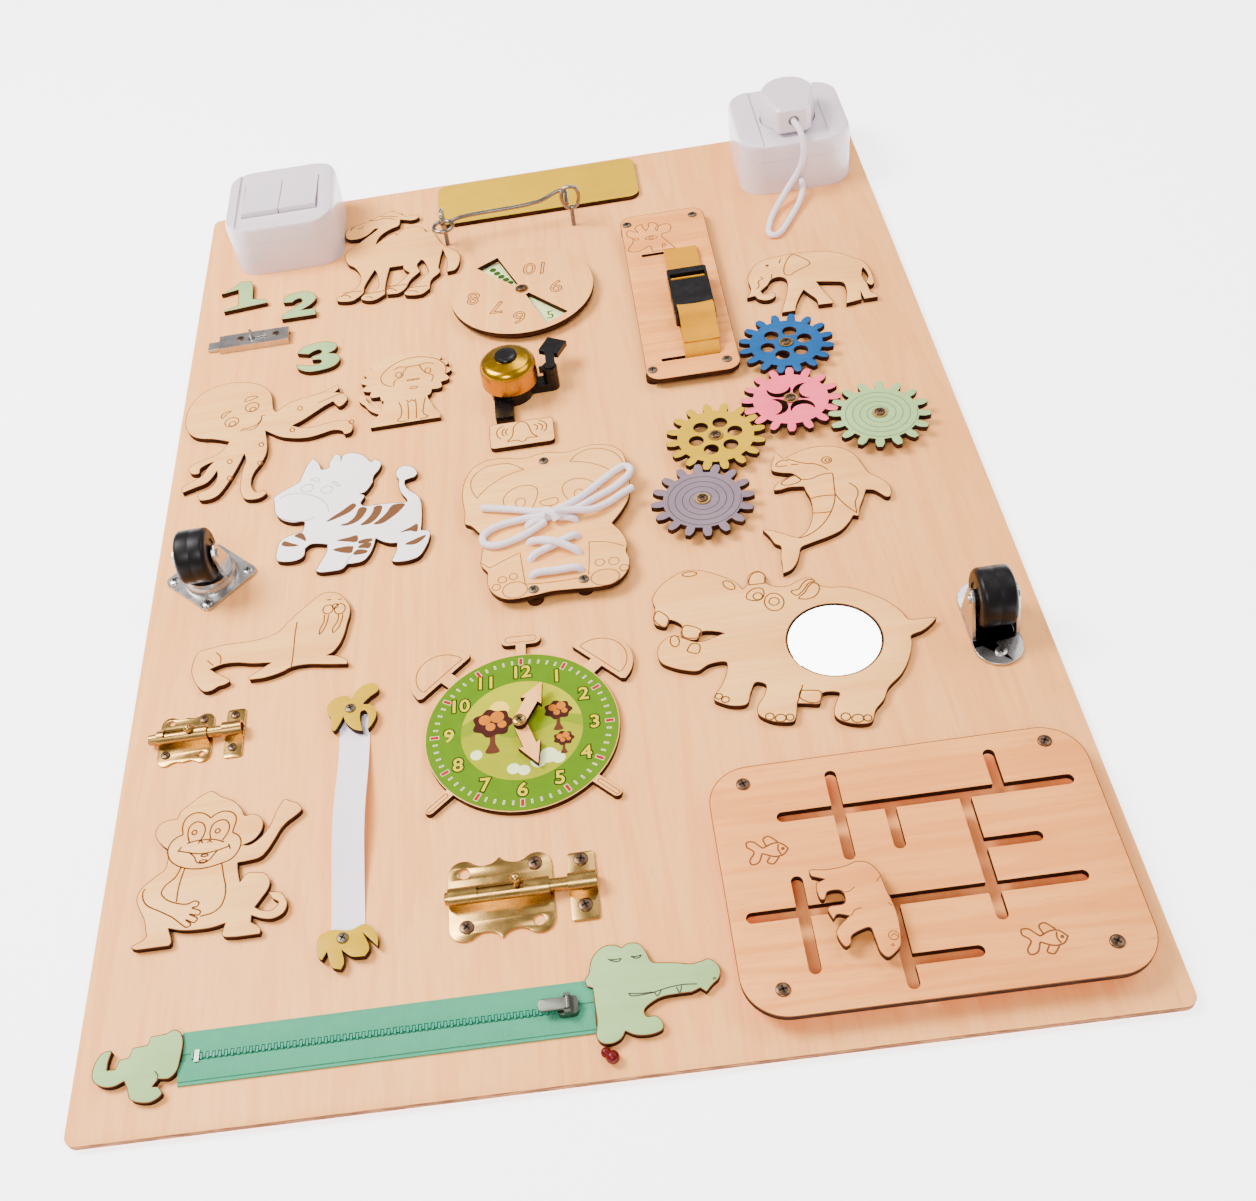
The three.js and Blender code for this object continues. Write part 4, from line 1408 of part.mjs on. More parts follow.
const WEB_T = 1.3;
const BUCKLE_X = 102.5;
const BUCKLE_W = 27;
const BUCKLE_H = 9;
const BUCKLE_LOW = 3.5;
const BUCKLE_WALL = 1.6;
const SOCKET_LOW_Y = 142;
const SOCKET_HIGH_Y = 186;
const SOCKET_MOUTH = 27;
const SOCKET_SIDE_OUT = 16;
const BAR_L = 6;
const WINDOW_L = 7;
const buckleZ = panelTop + BUCKLE_LOW;
const buckleMid = buckleZ + BUCKLE_H / 2;
const mouthW = BUCKLE_W - 2 * BUCKLE_WALL;
const mouthH = BUCKLE_H - 2 * BUCKLE_WALL;
const socketL = SOCKET_HIGH_Y - SOCKET_LOW_Y;
const webWindowY = SOCKET_HIGH_Y - BAR_L - WINDOW_L / 2;
place("buckle_socket", cut(
  prism(roundedRect(BUCKLE_W, socketL, BUCKLE_WALL), buckleZ, BUCKLE_H,
    BUCKLE_X, SOCKET_LOW_Y + socketL / 2, 3),
  block(mouthW, SOCKET_MOUTH + OVER, mouthH,
    BUCKLE_X, SOCKET_LOW_Y + (SOCKET_MOUTH - OVER) / 2, buckleZ + BUCKLE_WALL),
  block(BUCKLE_W + 2 * OVER, BAR_L, mouthH, BUCKLE_X, SOCKET_LOW_Y + SOCKET_SIDE_OUT, buckleZ + BUCKLE_WALL),
  block(mouthW, WINDOW_L, BUCKLE_H + 2 * OVER, BUCKLE_X, webWindowY, buckleZ - OVER),
), blackPlastic);
const CLIP_BASE_L = 9;
const CLIP_SLOT_L = 3.6;
const PRONG_W = 3.2;
const PRONG_L = 23;
const clipTop = SOCKET_LOW_Y - GAP;
place("buckle_clip", join(
  cut(
    prism(roundedRect(BUCKLE_W, CLIP_BASE_L, BUCKLE_WALL), buckleZ + OVER / 2, BUCKLE_H - OVER,
      BUCKLE_X, clipTop - CLIP_BASE_L / 2, 3),
    block(mouthW, CLIP_SLOT_L, BUCKLE_H + 2 * OVER, BUCKLE_X, clipTop - CLIP_BASE_L / 2, buckleZ - OVER),
  ),
  ...[-1, 0, 1].map((side) => block(PRONG_W, PRONG_L, mouthH - 2 * GAP,
    BUCKLE_X + side * (mouthW / 2 - PRONG_W / 2 - GAP), clipTop + PRONG_L / 2 - OVER,
    buckleZ + BUCKLE_WALL + GAP)),
), blackPlastic);
const webUnder = panelLow - 2 * WEB_T;
const webOver = buckleZ - WEB_T;
const clipSlotY = clipTop - CLIP_BASE_L / 2;
const STRAP_END = 12;
const STRAP_TURN = 2;
const STRAP_BEND = 3;
const STRAP_LIE = 18;
const STRAP_NEAR = 4;
place("strap_upper", strap([
  [PANEL_SLOT_HIGH + STRAP_END, webUnder], [PANEL_SLOT_HIGH + STRAP_TURN, webUnder], [PANEL_SLOT_HIGH, panelLow],
  [PANEL_SLOT_HIGH, panelTop + WEB_T], [PANEL_SLOT_HIGH - STRAP_BEND, panelTop + 2 * WEB_T],
  [PANEL_SLOT_HIGH - STRAP_LIE, panelTop + 2 * WEB_T], [SOCKET_HIGH_Y + STRAP_NEAR, webOver],
  [webWindowY + WINDOW_L / 2, webOver], [webWindowY + WEB_T / 2, webOver + WEB_T / 2], [webWindowY, buckleMid],
  [webWindowY, buckleZ + BUCKLE_H - WEB_T],
], WEB_T, BUCKLE_X, WEB_W, 26), orangeWeb);
place("strap_lower", strap([
  [clipSlotY, buckleZ + BUCKLE_H - 2 * WEB_T], [clipSlotY, buckleMid], [clipSlotY - WEB_T / 2, webOver + WEB_T / 2],
  [clipSlotY - CLIP_BASE_L / 2, webOver], [PANEL_SLOT_LOW + STRAP_LIE - STRAP_TURN, buckleZ + WEB_T],
  [PANEL_SLOT_LOW + STRAP_NEAR, panelTop + 3 * WEB_T], [PANEL_SLOT_LOW, panelTop + WEB_T], [PANEL_SLOT_LOW, panelLow],
  [PANEL_SLOT_LOW + STRAP_TURN, webUnder], [PANEL_SLOT_LOW + STRAP_END, webUnder],
], WEB_T, BUCKLE_X, WEB_W, 26), orangeWeb);

// Lacing plate with its holes, and the lace tied in a bow
const LACE_LEFT_X = -20;
const LACE_RIGHT_X = 8;
const LACE_HOLE_R = 2.3;
const LACE_HOLE_TOP = -32;
const LACE_HOLE_STEP = 13.6;
const LACE_ROWS = 4;
const LACE_W = 5.4;
const LACE_T = 1.5;
const LACE_CORE_R = 1.6;
const KNOT_X = -5.5;
const KNOT_Y = -27;
const KNOT_W = 6;
const KNOT_H = 12;
const pandaLow = FACE + PANDA_LIFT;
const laceRows = Array.from({ length: LACE_ROWS }, (_, i) => LACE_HOLE_TOP - i * LACE_HOLE_STEP);
const laceHoles = laceRows.flatMap((y) => [[LACE_LEFT_X, y], [LACE_RIGHT_X, y]]);
place("panda_plate", join(
  cut(
    prism(figure(pandaShares, PANDA_SIDE), pandaLow, PLY, PANDA_X, PANDA_Y),
    ...laceHoles.map(([x, y]) => drum(LACE_HOLE_R, pandaLow - OVER, PLY + 2 * OVER, x, y, 8)),
  ),
  ...pandaScrewShares.map(([u, v]) => drum(SMALL_SPACER_R, FACE, PANDA_LIFT + PLY / 2,
    PANDA_X + u * PANDA_SIDE, PANDA_Y + v * PANDA_SIDE, 8)),
), birch);
const laceLow = pandaLow + PLY + GAP;
const lace = (points, steps) => band(points, LACE_W, LACE_T, laceLow, steps);
const fromKnot = ([u, v]) => [KNOT_X + u * PANDA_SIDE, KNOT_Y + v * PANDA_SIDE];
const bow = (shares, steps) => lace(shares.map(fromKnot), steps);
const loopRightOutShares = [[0, 0.02], [0.195, 0.10], [0.375, 0.27], [0.475, 0.33]];
const loopRightBackShares = [[0.475, 0.33], [0.465, 0.24], [0.295, 0.09], [0, 0]];
const tailRightShares = [[0, -0.02], [0.235, -0.02], [0.385, 0.06], [0.495, 0.13]];
const tailLeftShares = [[0, 0], [-0.245, 0.10], [-0.405, 0.145]];
const loopLeftOutShares = [[0, 0], [-0.245, -0.01], [-0.365, -0.05], [-0.40, -0.14]];
const loopLeftBackShares = [[-0.40, -0.14], [-0.345, -0.20], [-0.165, -0.14], [0, -0.04]];
place("shoelace", join(
  lace([[LACE_LEFT_X, laceRows[3]], [LACE_RIGHT_X, laceRows[3]]], 1),
  lace([[LACE_LEFT_X, laceRows[3]], [LACE_LEFT_X, laceRows[2]]], 1),
  lace([[LACE_LEFT_X, laceRows[2]], [LACE_RIGHT_X, laceRows[1]]], 1),
  lace([[LACE_LEFT_X, laceRows[1]], [LACE_RIGHT_X, laceRows[2]]], 1),
  lace([[LACE_LEFT_X, laceRows[1]], [KNOT_X, KNOT_Y]], 1),
  lace([[LACE_RIGHT_X, laceRows[1]], [KNOT_X, KNOT_Y]], 1),
  bow(loopRightOutShares, 4),
  bow(loopRightBackShares, 4),
  bow(tailRightShares, 4),
  bow(tailLeftShares, 3),
  bow(loopLeftOutShares, 5),
  bow(loopLeftBackShares, 5),
  prism(roundedRect(KNOT_W, KNOT_H, KNOT_W / 3), laceLow, 2 * LACE_T, KNOT_X, KNOT_Y, 1),
  ...laceHoles.slice(2).map(([x, y]) => drum(LACE_CORE_R, pandaLow - OVER / 2,
    PLY + OVER / 2 + GAP + LACE_T / 2, x, y, 5)),
), whiteCloth);

export default board;
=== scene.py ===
import math

import bmesh
import bpy
import numpy as np
from mathutils import Matrix


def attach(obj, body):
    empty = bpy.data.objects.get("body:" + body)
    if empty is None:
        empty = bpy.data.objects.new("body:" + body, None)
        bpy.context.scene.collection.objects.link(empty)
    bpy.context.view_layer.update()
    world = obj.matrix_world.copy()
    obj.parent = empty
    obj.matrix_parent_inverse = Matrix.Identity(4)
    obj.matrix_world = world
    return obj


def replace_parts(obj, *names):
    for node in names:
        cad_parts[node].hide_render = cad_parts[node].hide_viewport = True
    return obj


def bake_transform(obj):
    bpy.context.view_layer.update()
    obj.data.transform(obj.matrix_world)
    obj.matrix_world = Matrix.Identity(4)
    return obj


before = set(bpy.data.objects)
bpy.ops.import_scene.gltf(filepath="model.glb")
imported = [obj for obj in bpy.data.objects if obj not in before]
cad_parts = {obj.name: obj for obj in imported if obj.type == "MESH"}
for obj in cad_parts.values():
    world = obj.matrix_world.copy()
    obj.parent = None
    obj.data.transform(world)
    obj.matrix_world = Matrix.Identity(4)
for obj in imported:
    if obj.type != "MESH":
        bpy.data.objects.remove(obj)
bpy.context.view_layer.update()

# The stand: a pale floor under the board, large soft lamps, and the camera above its lower edge.
# The lens is a short portrait lens, slightly rolled, with the frame shifted a little.
MM = 0.001
FACE = 4.0
IMAGE_W = 1256
FOCAL_PX = 1440.85
SENSOR_MM = 36.0
CENTRE_PX = (562.42, 613.34)
IMAGE_CENTRE_PX = (628.0, 600.5)
CAMERA_MM = (33.42, -644.53, 599.04 + FACE)
CAMERA_RIGHT = (0.98895, -0.07152, -0.12989)
CAMERA_DOWN = (-0.14029, -0.73495, -0.66345)
CAMERA_AHEAD = (-0.04801, 0.67434, -0.73686)


def linked(name, data):
    """A new object of this data, in the scene."""
    obj = bpy.data.objects.new(name, data)
    bpy.context.collection.objects.link(obj)
    return obj


camera_data = bpy.data.cameras.new("camera")
camera_data.sensor_width = SENSOR_MM
camera_data.sensor_fit = "HORIZONTAL"
camera_data.lens = FOCAL_PX * SENSOR_MM / IMAGE_W
camera_data.shift_x = (IMAGE_CENTRE_PX[0] - CENTRE_PX[0]) / IMAGE_W
camera_data.shift_y = (CENTRE_PX[1] - IMAGE_CENTRE_PX[1]) / IMAGE_W
camera_data.clip_start = 0.01
camera = linked("camera", camera_data)
turn = np.eye(4)
turn[:3, 0] = CAMERA_RIGHT
turn[:3, 1] = -np.array(CAMERA_DOWN)
turn[:3, 2] = -np.array(CAMERA_AHEAD)
turn[:3, 3] = np.array(CAMERA_MM) * MM
camera.matrix_world = Matrix(turn.tolist())
bpy.context.scene.camera = camera


def lamp(name, place, target, size, power, colour=(1, 1, 1)):
    data = bpy.data.lights.new(name, "AREA")
    data.shape = "DISK"
    data.size = size
    data.energy = power
    data.color = colour
    obj = linked(name, data)
    away = np.array(place, float) - np.array(target, float)
    away /= np.linalg.norm(away)
    side = np.cross((0.0, 1.0, 0.02), away)
    side /= np.linalg.norm(side)
    pose = np.eye(4)
    pose[:3, 0], pose[:3, 1], pose[:3, 2], pose[:3, 3] = side, np.cross(away, side), away, place
    obj.matrix_world = Matrix(pose.tolist())


lamp("lamp_left", (-1.05, 0.35, 1.45), (0, 0, 0), 0.9, 72, (1.0, 0.975, 0.965))
lamp("lamp_front", (-0.35, -1.3, 1.5), (0, 0, 0), 0.7, 26, (1.0, 0.98, 0.975))
lamp("lamp_right", (1.2, 0.1, 1.5), (0, 0, 0), 1.2, 18, (1.0, 0.975, 0.97))
lamp("lamp_high", (0.39, 1.07, 1.45), (0.14, -0.15, 0), 0.55, 8, (1.0, 0.99, 0.99))
world = bpy.data.worlds.new("studio")
world.use_nodes = True
backdrop = world.node_tree.nodes["Background"].inputs
backdrop["Color"].default_value = (1, 0.985, 0.98, 1)
backdrop["Strength"].default_value = 0.55
bpy.context.scene.world = world


def material(name, colour, roughness=0.5, metallic=0.0, coat=0.0, coat_roughness=0.1, sheen=0.0, specular=0.1):
    """A Principled material with constant values on its sockets; maps are linked in afterwards."""
    made = bpy.data.materials.new(name)
    made.use_nodes = True
    shader = made.node_tree.nodes["Principled BSDF"]
    shader.inputs["Base Color"].default_value = (*colour, 1)
    shader.inputs["Roughness"].default_value = roughness
    shader.inputs["Metallic"].default_value = metallic
    shader.inputs["Specular IOR Level"].default_value = 0.5 if metallic else specular
    shader.inputs["Coat Weight"].default_value = coat
    shader.inputs["Coat Roughness"].default_value = coat_roughness
    shader.inputs["Sheen Weight"].default_value = sheen
    return made


def new_group(name, inputs, outputs):
    """An empty node group with float, vector and colour sockets given as (name, kind, value)."""
    group = bpy.data.node_groups.new(name, "ShaderNodeTree")
    kinds = {"f": "NodeSocketFloat", "v": "NodeSocketVector", "c": "NodeSocketColor"}
    for title, kind, value in inputs:
        socket = group.interface.new_socket(title, in_out="INPUT", socket_type=kinds[kind])
        if value is not None:
            socket.default_value = value
    for title, kind in outputs:
        group.interface.new_socket(title, in_out="OUTPUT", socket_type=kinds[kind])
    return group, group.nodes.new("NodeGroupInput"), group.nodes.new("NodeGroupOutput")


def node(tree, kind, **values):
    """A new node. A value is a constant or another node's output, given by the socket's name or, as
    in i0, by its number; set_ and a name sets a property of the node."""
    made = tree.nodes.new(kind)
    for key, value in values.items():
        if key.startswith("set_"):
            setattr(made, key[4:], value)
            continue
        numbered = key[0] == "i" and key[1:].isdigit()
        socket = made.inputs[int(key[1:]) if numbered else key.replace("_", " ")]
        if isinstance(value, bpy.types.NodeSocket):
            tree.links.new(value, socket)
        else:
            socket.default_value = value
    return made


def mixed(tree, factor, first, second):
    """A colour between two colours or outputs."""
    return node(tree, "ShaderNodeMix", set_data_type="RGBA", set_blend_type="MIX",
                i0=factor, i6=first, i7=second).outputs[2]


def ramp(tree, factor, low, high, start=0.0, end=1.0):
    """A factor carried from start..end to low..high."""
    return node(tree, "ShaderNodeMapRange", i0=factor, i1=start, i2=end, i3=low, i4=high).outputs[0]


def object_coords(tree):
    return node(tree, "ShaderNodeTexCoord").outputs["Object"]


def noise(tree, scale, detail, at=None, **more):
    """Soft noise over the given coordinates, or else over the object's own."""
    at = object_coords(tree) if at is None else at
    return node(tree, "ShaderNodeTexNoise", Vector=at, Scale=scale, Detail=detail, **more).outputs["Fac"]


def vector_maths(tree, operation, first, second):
    return node(tree, "ShaderNodeVectorMath", set_operation=operation, i0=first, i1=second).outputs[0]


def maths(tree, operation, first, **second):
    return node(tree, "ShaderNodeMath", set_operation=operation, i0=first, **second).outputs[0]


def opaque(colour, share=1.0):
    """A colour with full alpha, darkened to a share of itself."""
    return (*[c * share for c in colour], 1)


def shaded(mesh, angle):
    """Shade a mesh round over edges below an angle in degrees; with no angle it stays as it is."""
    if angle is not None:
        mesh.shade_smooth()
        mesh.set_sharp_from_angle(angle=math.radians(angle))


def cleaned(mesh, reach=1e-6, thin=1e-7):
    """Merge doubled points, drop faces of no width and turn the rest outwards."""
    work = bmesh.new()
    work.from_mesh(mesh)
    bmesh.ops.remove_doubles(work, verts=work.verts, dist=reach)
    if thin:
        bmesh.ops.dissolve_degenerate(work, edges=work.edges, dist=thin)
    bmesh.ops.recalc_face_normals(work, faces=work.faces)
    work.to_mesh(mesh)
    work.free()


def evaluated(obj):
    """The mesh of an object after its curve or its modifiers."""
    return bpy.data.meshes.new_from_object(obj.evaluated_get(bpy.context.evaluated_depsgraph_get()))


def drawn(curve):
    """The mesh of a curve, which is used up."""
    draft = linked("draft", curve)
    mesh = evaluated(draft)
    bpy.data.objects.remove(draft)
    bpy.data.curves.remove(curve)
    return mesh


def add_line(curve, points):
    """A straight-sided spline through points in millimetres."""
    spline = curve.splines.new("POLY")
    spline.points.add(len(points) - 1)
    spline.points.foreach_set("co", np.hstack([points * MM, np.ones((len(points), 1))]).ravel())
    return spline


def piece(name, verts, faces, made, body="panel", nodes=(), slot=None, uvs=None):
    """A mesh piece from an N x 3 array in millimetres and faces as index lists."""
    mesh = bpy.data.meshes.new(name)
    mesh.from_pydata((np.asarray(verts, float) * MM).tolist(), [], [list(map(int, f)) for f in faces])
    mesh.materials.append(made)
    if uvs is not None:
        layer = mesh.uv_layers.new(name="along")
        loops = np.empty(len(mesh.loops), dtype=np.int32)
        mesh.loops.foreach_get("vertex_index", loops)
        layer.data.foreach_set("uv", np.asarray(uvs, float)[loops].ravel())
    mesh.validate()
    mesh.update()
    return settle(name, mesh, body, nodes)


def settle(name, mesh, body="panel", nodes=(), smooth=None):
    """Link a finished mesh as a piece: shading, body and the nodes that it stands for."""
    shaded(mesh, smooth)
    obj = linked(name, mesh)
    if body:
        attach(obj, body)
    if nodes:
        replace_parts(obj, *nodes)
    return obj


def band(rows, sides, closed=False):
    """The quads between rows of points, each row a ring; closed joins the last row to the first."""
    i, j = np.meshgrid(np.arange(rows if closed else rows - 1), np.arange(sides), indexing="ij")
    k, m = (j + 1) % sides, (i + 1) % rows
    return np.stack([i * sides + j, i * sides + k, m * sides + k, m * sides + j], -1).reshape(-1, 4)


def capped(rows, sides):
    """A band with its first and its last ring filled."""
    ends = [list(range(sides))[::-1], list(range((rows - 1) * sides, rows * sides))]
    return band(rows, sides).tolist() + ends


def lathe(name, profile, place, made, axis="z", sides=48, smooth=40, **more):
    """A surface of revolution: radius r and height h of the profile carried round the axis,
    (r cos a, r sin a, h), closed at the axis where r is 0."""
    r, h = np.array(profile, float).T
    a = np.arange(sides) / sides * math.tau
    grid = np.stack([np.outer(r, np.cos(a)), np.outer(r, np.sin(a)), np.repeat(h[:, None], sides, 1)], -1)
    grid = grid[..., {"x": [2, 0, 1], "y": [1, 2, 0], "z": [0, 1, 2]}[axis]]
    verts = (grid + np.array(place, float)).reshape(-1, 3)
    return welded(name, verts, band(len(r), sides), made, smooth=smooth, **more)


def drum(name, x, y, r, low, high, made, sides=32, **more):
    """A short upright cylinder."""
    return lathe(name, [(0, low), (r, low), (r, high), (0, high)], (x, y, 0), made, sides=sides, **more)


def welded(name, verts, faces, made, smooth=40, **more):
    """A piece whose doubled points are merged and whose faces are turned outwards; smooth is the
    angle in degrees below which its edges are shaded round."""
    obj = piece(name, verts, faces, made, **more)
    cleaned(obj.data)
    shaded(obj.data, smooth)
    return obj


def bend(points, steps, closed=False):
    """A centripetal Catmull-Rom line: each span is blended from its four neighbours, with knots
    that grow by the square root of the distance between points."""
    p = np.array(points, float)
    if len(p) == 2:
        t = np.linspace(0, 1, steps + 1)[:, None]
        return p[0] + (p[1] - p[0]) * t
    if closed:
        p = np.vstack([p[-1], p, p[0], p[1]])
    else:
        p = np.vstack([2 * p[0] - p[1], p, 2 * p[-1] - p[-2]])
    gaps = np.maximum(np.linalg.norm(np.diff(p, axis=0), axis=1) ** 0.5, 1e-6)
    out = []
    share = np.linspace(0, 1, steps + 1)[:-1, None]
    for i in range(len(p) - 3):
        t0, t1 = 0.0, gaps[i]
        t2, t3 = t1 + gaps[i + 1], t1 + gaps[i + 1] + gaps[i + 2]
        t = t1 + (t2 - t1) * share
        a1 = (t1 - t) / (t1 - t0) * p[i] + (t - t0) / (t1 - t0) * p[i + 1]
        a2 = (t2 - t) / (t2 - t1) * p[i + 1] + (t - t1) / (t2 - t1) * p[i + 2]
        a3 = (t3 - t) / (t3 - t2) * p[i + 2] + (t - t2) / (t3 - t2) * p[i + 3]
        b1 = (t2 - t) / (t2 - t0) * a1 + (t - t0) / (t2 - t0) * a2
        b2 = (t3 - t) / (t3 - t1) * a2 + (t - t1) / (t3 - t1) * a3
        out.append((t2 - t) / (t2 - t1) * b1 + (t - t1) / (t2 - t1) * b2)
    if not closed:
        out.append(p[-2][None])
    return np.vstack(out)


def pairs(text, *place):
    """Points written as numbers with commas, a space between points, set at a place."""
    return np.array([word.split(",") for word in text.split()], float) + (place or 0.0)


# The plug's cord: white round flex, moulded into the plug and led round in a bend on the board
# and up into the wall of the socket box.
CORD_D = 4.4
CORD_ROUTE = pairs("""
    197.5,303,54.3 197.5,299.4,54.3 198,297.2,53.9 199.2,295.2,52.6 200.8,292,49.5 201.8,288,43.5 201.6,285.2,36
    199.2,283.2,28 194.6,281.6,20.5 188.5,278.5,14 182.5,272,9.6 177,264,7.4 172.5,255,6.6 169.4,246,6.4
    167.9,239,6.4 169.2,234.8,6.4 172.6,234,6.4 176.6,237,6.4 181.8,245,6.4 187,254,6.5 192.2,263,7
    196.6,271.5,8.2 199.4,278.5,10.2 200.5,284,12 200.6,289,12.5""")


def swept(name, points, diameter, made, steps, sides=3):
    """A round bar along a bent line: one open spline with a round bevel and closed ends, made a mesh."""
    line = bend(points, steps)
    curve = bpy.data.curves.new(name, "CURVE")
    curve.dimensions = "3D"
    curve.bevel_depth = diameter / 2 * MM
    curve.bevel_resolution = sides
    curve.use_fill_caps = True
    add_line(curve, line).use_smooth = True
    curve.materials.append(made)
    mesh = drawn(curve)
    mesh.name = name
    mesh.shade_smooth()
    return linked(name, mesh), line


# Fine uneven gloss: soft noise that lifts and drops a roughness
gloss_group, gloss_in, gloss_out = new_group(
    "uneven_gloss", [("Scale", "f", 30.0), ("Low", "f", 0.2), ("High", "f", 0.35)],
    [("Roughness", "f"), ("Height", "f")])
gloss_noise = noise(gloss_group, gloss_in.outputs["Scale"], 4.0)
gloss_map = ramp(gloss_group, gloss_noise, gloss_in.outputs["Low"], gloss_in.outputs["High"], 0.35, 0.65)
gloss_group.links.new(gloss_map, gloss_out.inputs["Roughness"])
gloss_group.links.new(gloss_noise, gloss_out.inputs["Height"])


def use_group(made, group, **values):
    """Place a node group in a material with its own values."""
    return node(made.node_tree, "ShaderNodeGroup", set_node_tree=group, **values)


def put(made, socket, output):
    made.node_tree.links.new(output, made.node_tree.nodes["Principled BSDF"].inputs[socket])


def bump(made, height, distance):
    """Raise the surface of a material by a height map over the given distance in millimetres."""
    raised = node(made.node_tree, "ShaderNodeBump", Strength=1.0, Distance=distance * MM, Height=height)
    put(made, "Normal", raised.outputs["Normal"])


def moulded(name, colour, low, high, scale, relief, coat=0.0, specular=0.2):
    """Moulded plastic: one colour with an uneven gloss and a trace of orange peel."""
    made = material(name, colour, roughness=(low + high) / 2, coat=coat, specular=specular)
    held = use_group(made, gloss_group, Scale=scale, Low=low, High=high)
    put(made, "Roughness", held.outputs["Roughness"])
    tint = mixed(made.node_tree, held.outputs["Height"], opaque(colour), opaque(colour, 0.94))
    put(made, "Base Color", tint)
    bump(made, held.outputs["Height"], relief)
    return made


white_plastic = moulded("white_plastic", (0.74, 0.64, 0.70), 0.16, 0.26, 60.0, 0.05, coat=0.3, specular=0.5)
cord_plastic = moulded("cord_plastic", (0.80, 0.70, 0.75), 0.3, 0.45, 120.0, 0.06)
plug_cord, cord_line = swept("plug_cord_flex", CORD_ROUTE, CORD_D, cord_plastic, steps=5)
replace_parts(plug_cord, "plug_cord")
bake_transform(plug_cord)

# The board: birch plywood with a clear satin lacquer, its edges sawn and dark between the plies.
# All the other pieces are glued, pinned or screwed to its face.
BOARD_W, BOARD_H, BOARD_T, BOARD_CORNER = 500.0, 745.0, 4.0, 6.0
PLY = 3.6


def arc(x, y, r, start, stop, steps):
    """Points on a circle from one angle in degrees to another."""
    a = np.radians(np.linspace(start, stop, steps + 1))
    return np.stack([x + r * np.cos(a), y + r * np.sin(a)], 1)


def rounded(width, height, r, x=0.0, y=0.0, steps=8):
    """A rectangle with round corners, run anticlockwise."""
    w, h = width / 2 - r, height / 2 - r
    corners = [(w, -h, -90), (w, h, 0), (-w, h, 90), (-w, -h, 180)]
    return np.vstack([arc(x + cx, y + cy, r, a, a + 90, steps) for cx, cy, a in corners])


def circle(x, y, r, steps=32):
    return arc(x, y, r, 0, 360, steps)[:-1]


def flat_mesh(rings, bottom, thick, soft=0.2):
    """A sheet between closed outlines, inner ones being holes, with its rims slightly rounded."""
    curve = bpy.data.curves.new("outline", "CURVE")
    curve.dimensions = "2D"
    curve.fill_mode = "BOTH"
    curve.extrude = (thick / 2 - soft) * MM
    curve.bevel_depth = soft * MM
    curve.offset = -soft * MM
    curve.bevel_resolution = 1
    for ring in rings:
        add_line(curve, np.hstack([ring, np.zeros((len(ring), 1))])).use_cyclic_u = True
    mesh = drawn(curve)
    mesh.transform(Matrix.Translation((0, 0, (bottom + thick / 2) * MM)))
    cleaned(mesh)
    return mesh


def by_side(mesh, shade_under=False):
    """Sheet faces take the first material and the walls the second, as does the underside when it is painted dark as
    shade under a raised sheet.
    """
    normals = np.empty(len(mesh.polygons) * 3)
    mesh.polygons.foreach_get("normal", normals)
    rise = normals.reshape(-1, 3)[:, 2]
    walls = ((rise if shade_under else np.abs(rise)) < 0.9).astype(np.int32)
    mesh.polygons.foreach_set("material_index", walls)


def sheet_piece(name, rings, bottom, thick, materials, body="panel", nodes=(), slot="birch_plywood", soft=0.2):
    """A flat sheet with one material on its faces and another on its cut walls; a sheet raised off the board takes the
    second on its underside too, as painted shade under it.
    """
    mesh = flat_mesh(rings, bottom, thick, soft)
    for m in materials:
        mesh.materials.append(m)
    # Painted shade: a raised sheet's underside is dark so that the shade beneath it stays dark.
    by_side(mesh, bottom > FACE + 0.5)
    return settle(name, mesh, body, nodes, 30)


# Wood grain: long fibres, broad cathedral bands and short dark pores, all drawn out along one way
grain_group, grain_in, grain_out = new_group(
    "wood_grain", [("Across", "v", (1.0, 1.0, 1.0)), ("Shift", "v", (0.0, 0.0, 0.0))],
    [("Fibre", "f"), ("Band", "f"), ("Pore", "f")])
grain_at = vector_maths(grain_group, "ADD", object_coords(grain_group), grain_in.outputs["Shift"])
grain_flow = vector_maths(grain_group, "MULTIPLY", grain_at, grain_in.outputs["Across"])
grain_band = noise(grain_group, 26.0, 3.0, grain_flow, Distortion=0.8)
grain_rings = maths(grain_group, "SINE", maths(grain_group, "MULTIPLY", grain_band, i1=38.0))
for title, source in (
    ("Fibre", noise(grain_group, 420.0, 5.0, grain_flow, Roughness=0.6)),
    ("Band", ramp(grain_group, grain_rings, 0.0, 1.0, -1.0, 1.0)),
    ("Pore", ramp(grain_group, noise(grain_group, 1300.0, 2.0, grain_flow), 0.0, 1.0, 0.62, 0.72)),
):
    grain_group.links.new(source, grain_out.inputs[title])

ALONG_X = (0.07, 1.0, 1.0)
ALONG_Y = (1.0, 0.07, 1.0)


def birch(name, light, dark, along, shift, depth=1.0):
    """Lacquered birch: two tones mixed by its fibres, bands and clouds, its pores a little darker."""
    roughness = 0.45
    made = material(name, light, roughness=roughness, coat=0.05, coat_roughness=0.3)
    tree = made.node_tree
    held = use_group(made, grain_group, Across=along, Shift=shift)
    tone = opaque(light)
    for factor, share, start, end in (
        (held.outputs["Band"], 0.55, 0.45, 1.0), (held.outputs["Fibre"], 0.5, 0.42, 0.7),
        (noise(tree, 9.0, 2.0), 0.35, 0.4, 0.7),
    ):
        tone = mixed(tree, ramp(tree, factor, 0.0, share * depth, start, end), tone, opaque(dark))
    pore = ramp(tree, held.outputs["Pore"], 0.0, 0.3 * depth)
    tone = mixed(tree, pore, tone, (dark[0] * 0.7, dark[1] * 0.62, dark[2] * 0.55, 1))
    put(made, "Base Color", tone)
    put(made, "Roughness", ramp(tree, held.outputs["Fibre"], roughness - 0.06, roughness + 0.1, 0.3, 0.7))
    bump(made, held.outputs["Fibre"], 0.03)
    return made


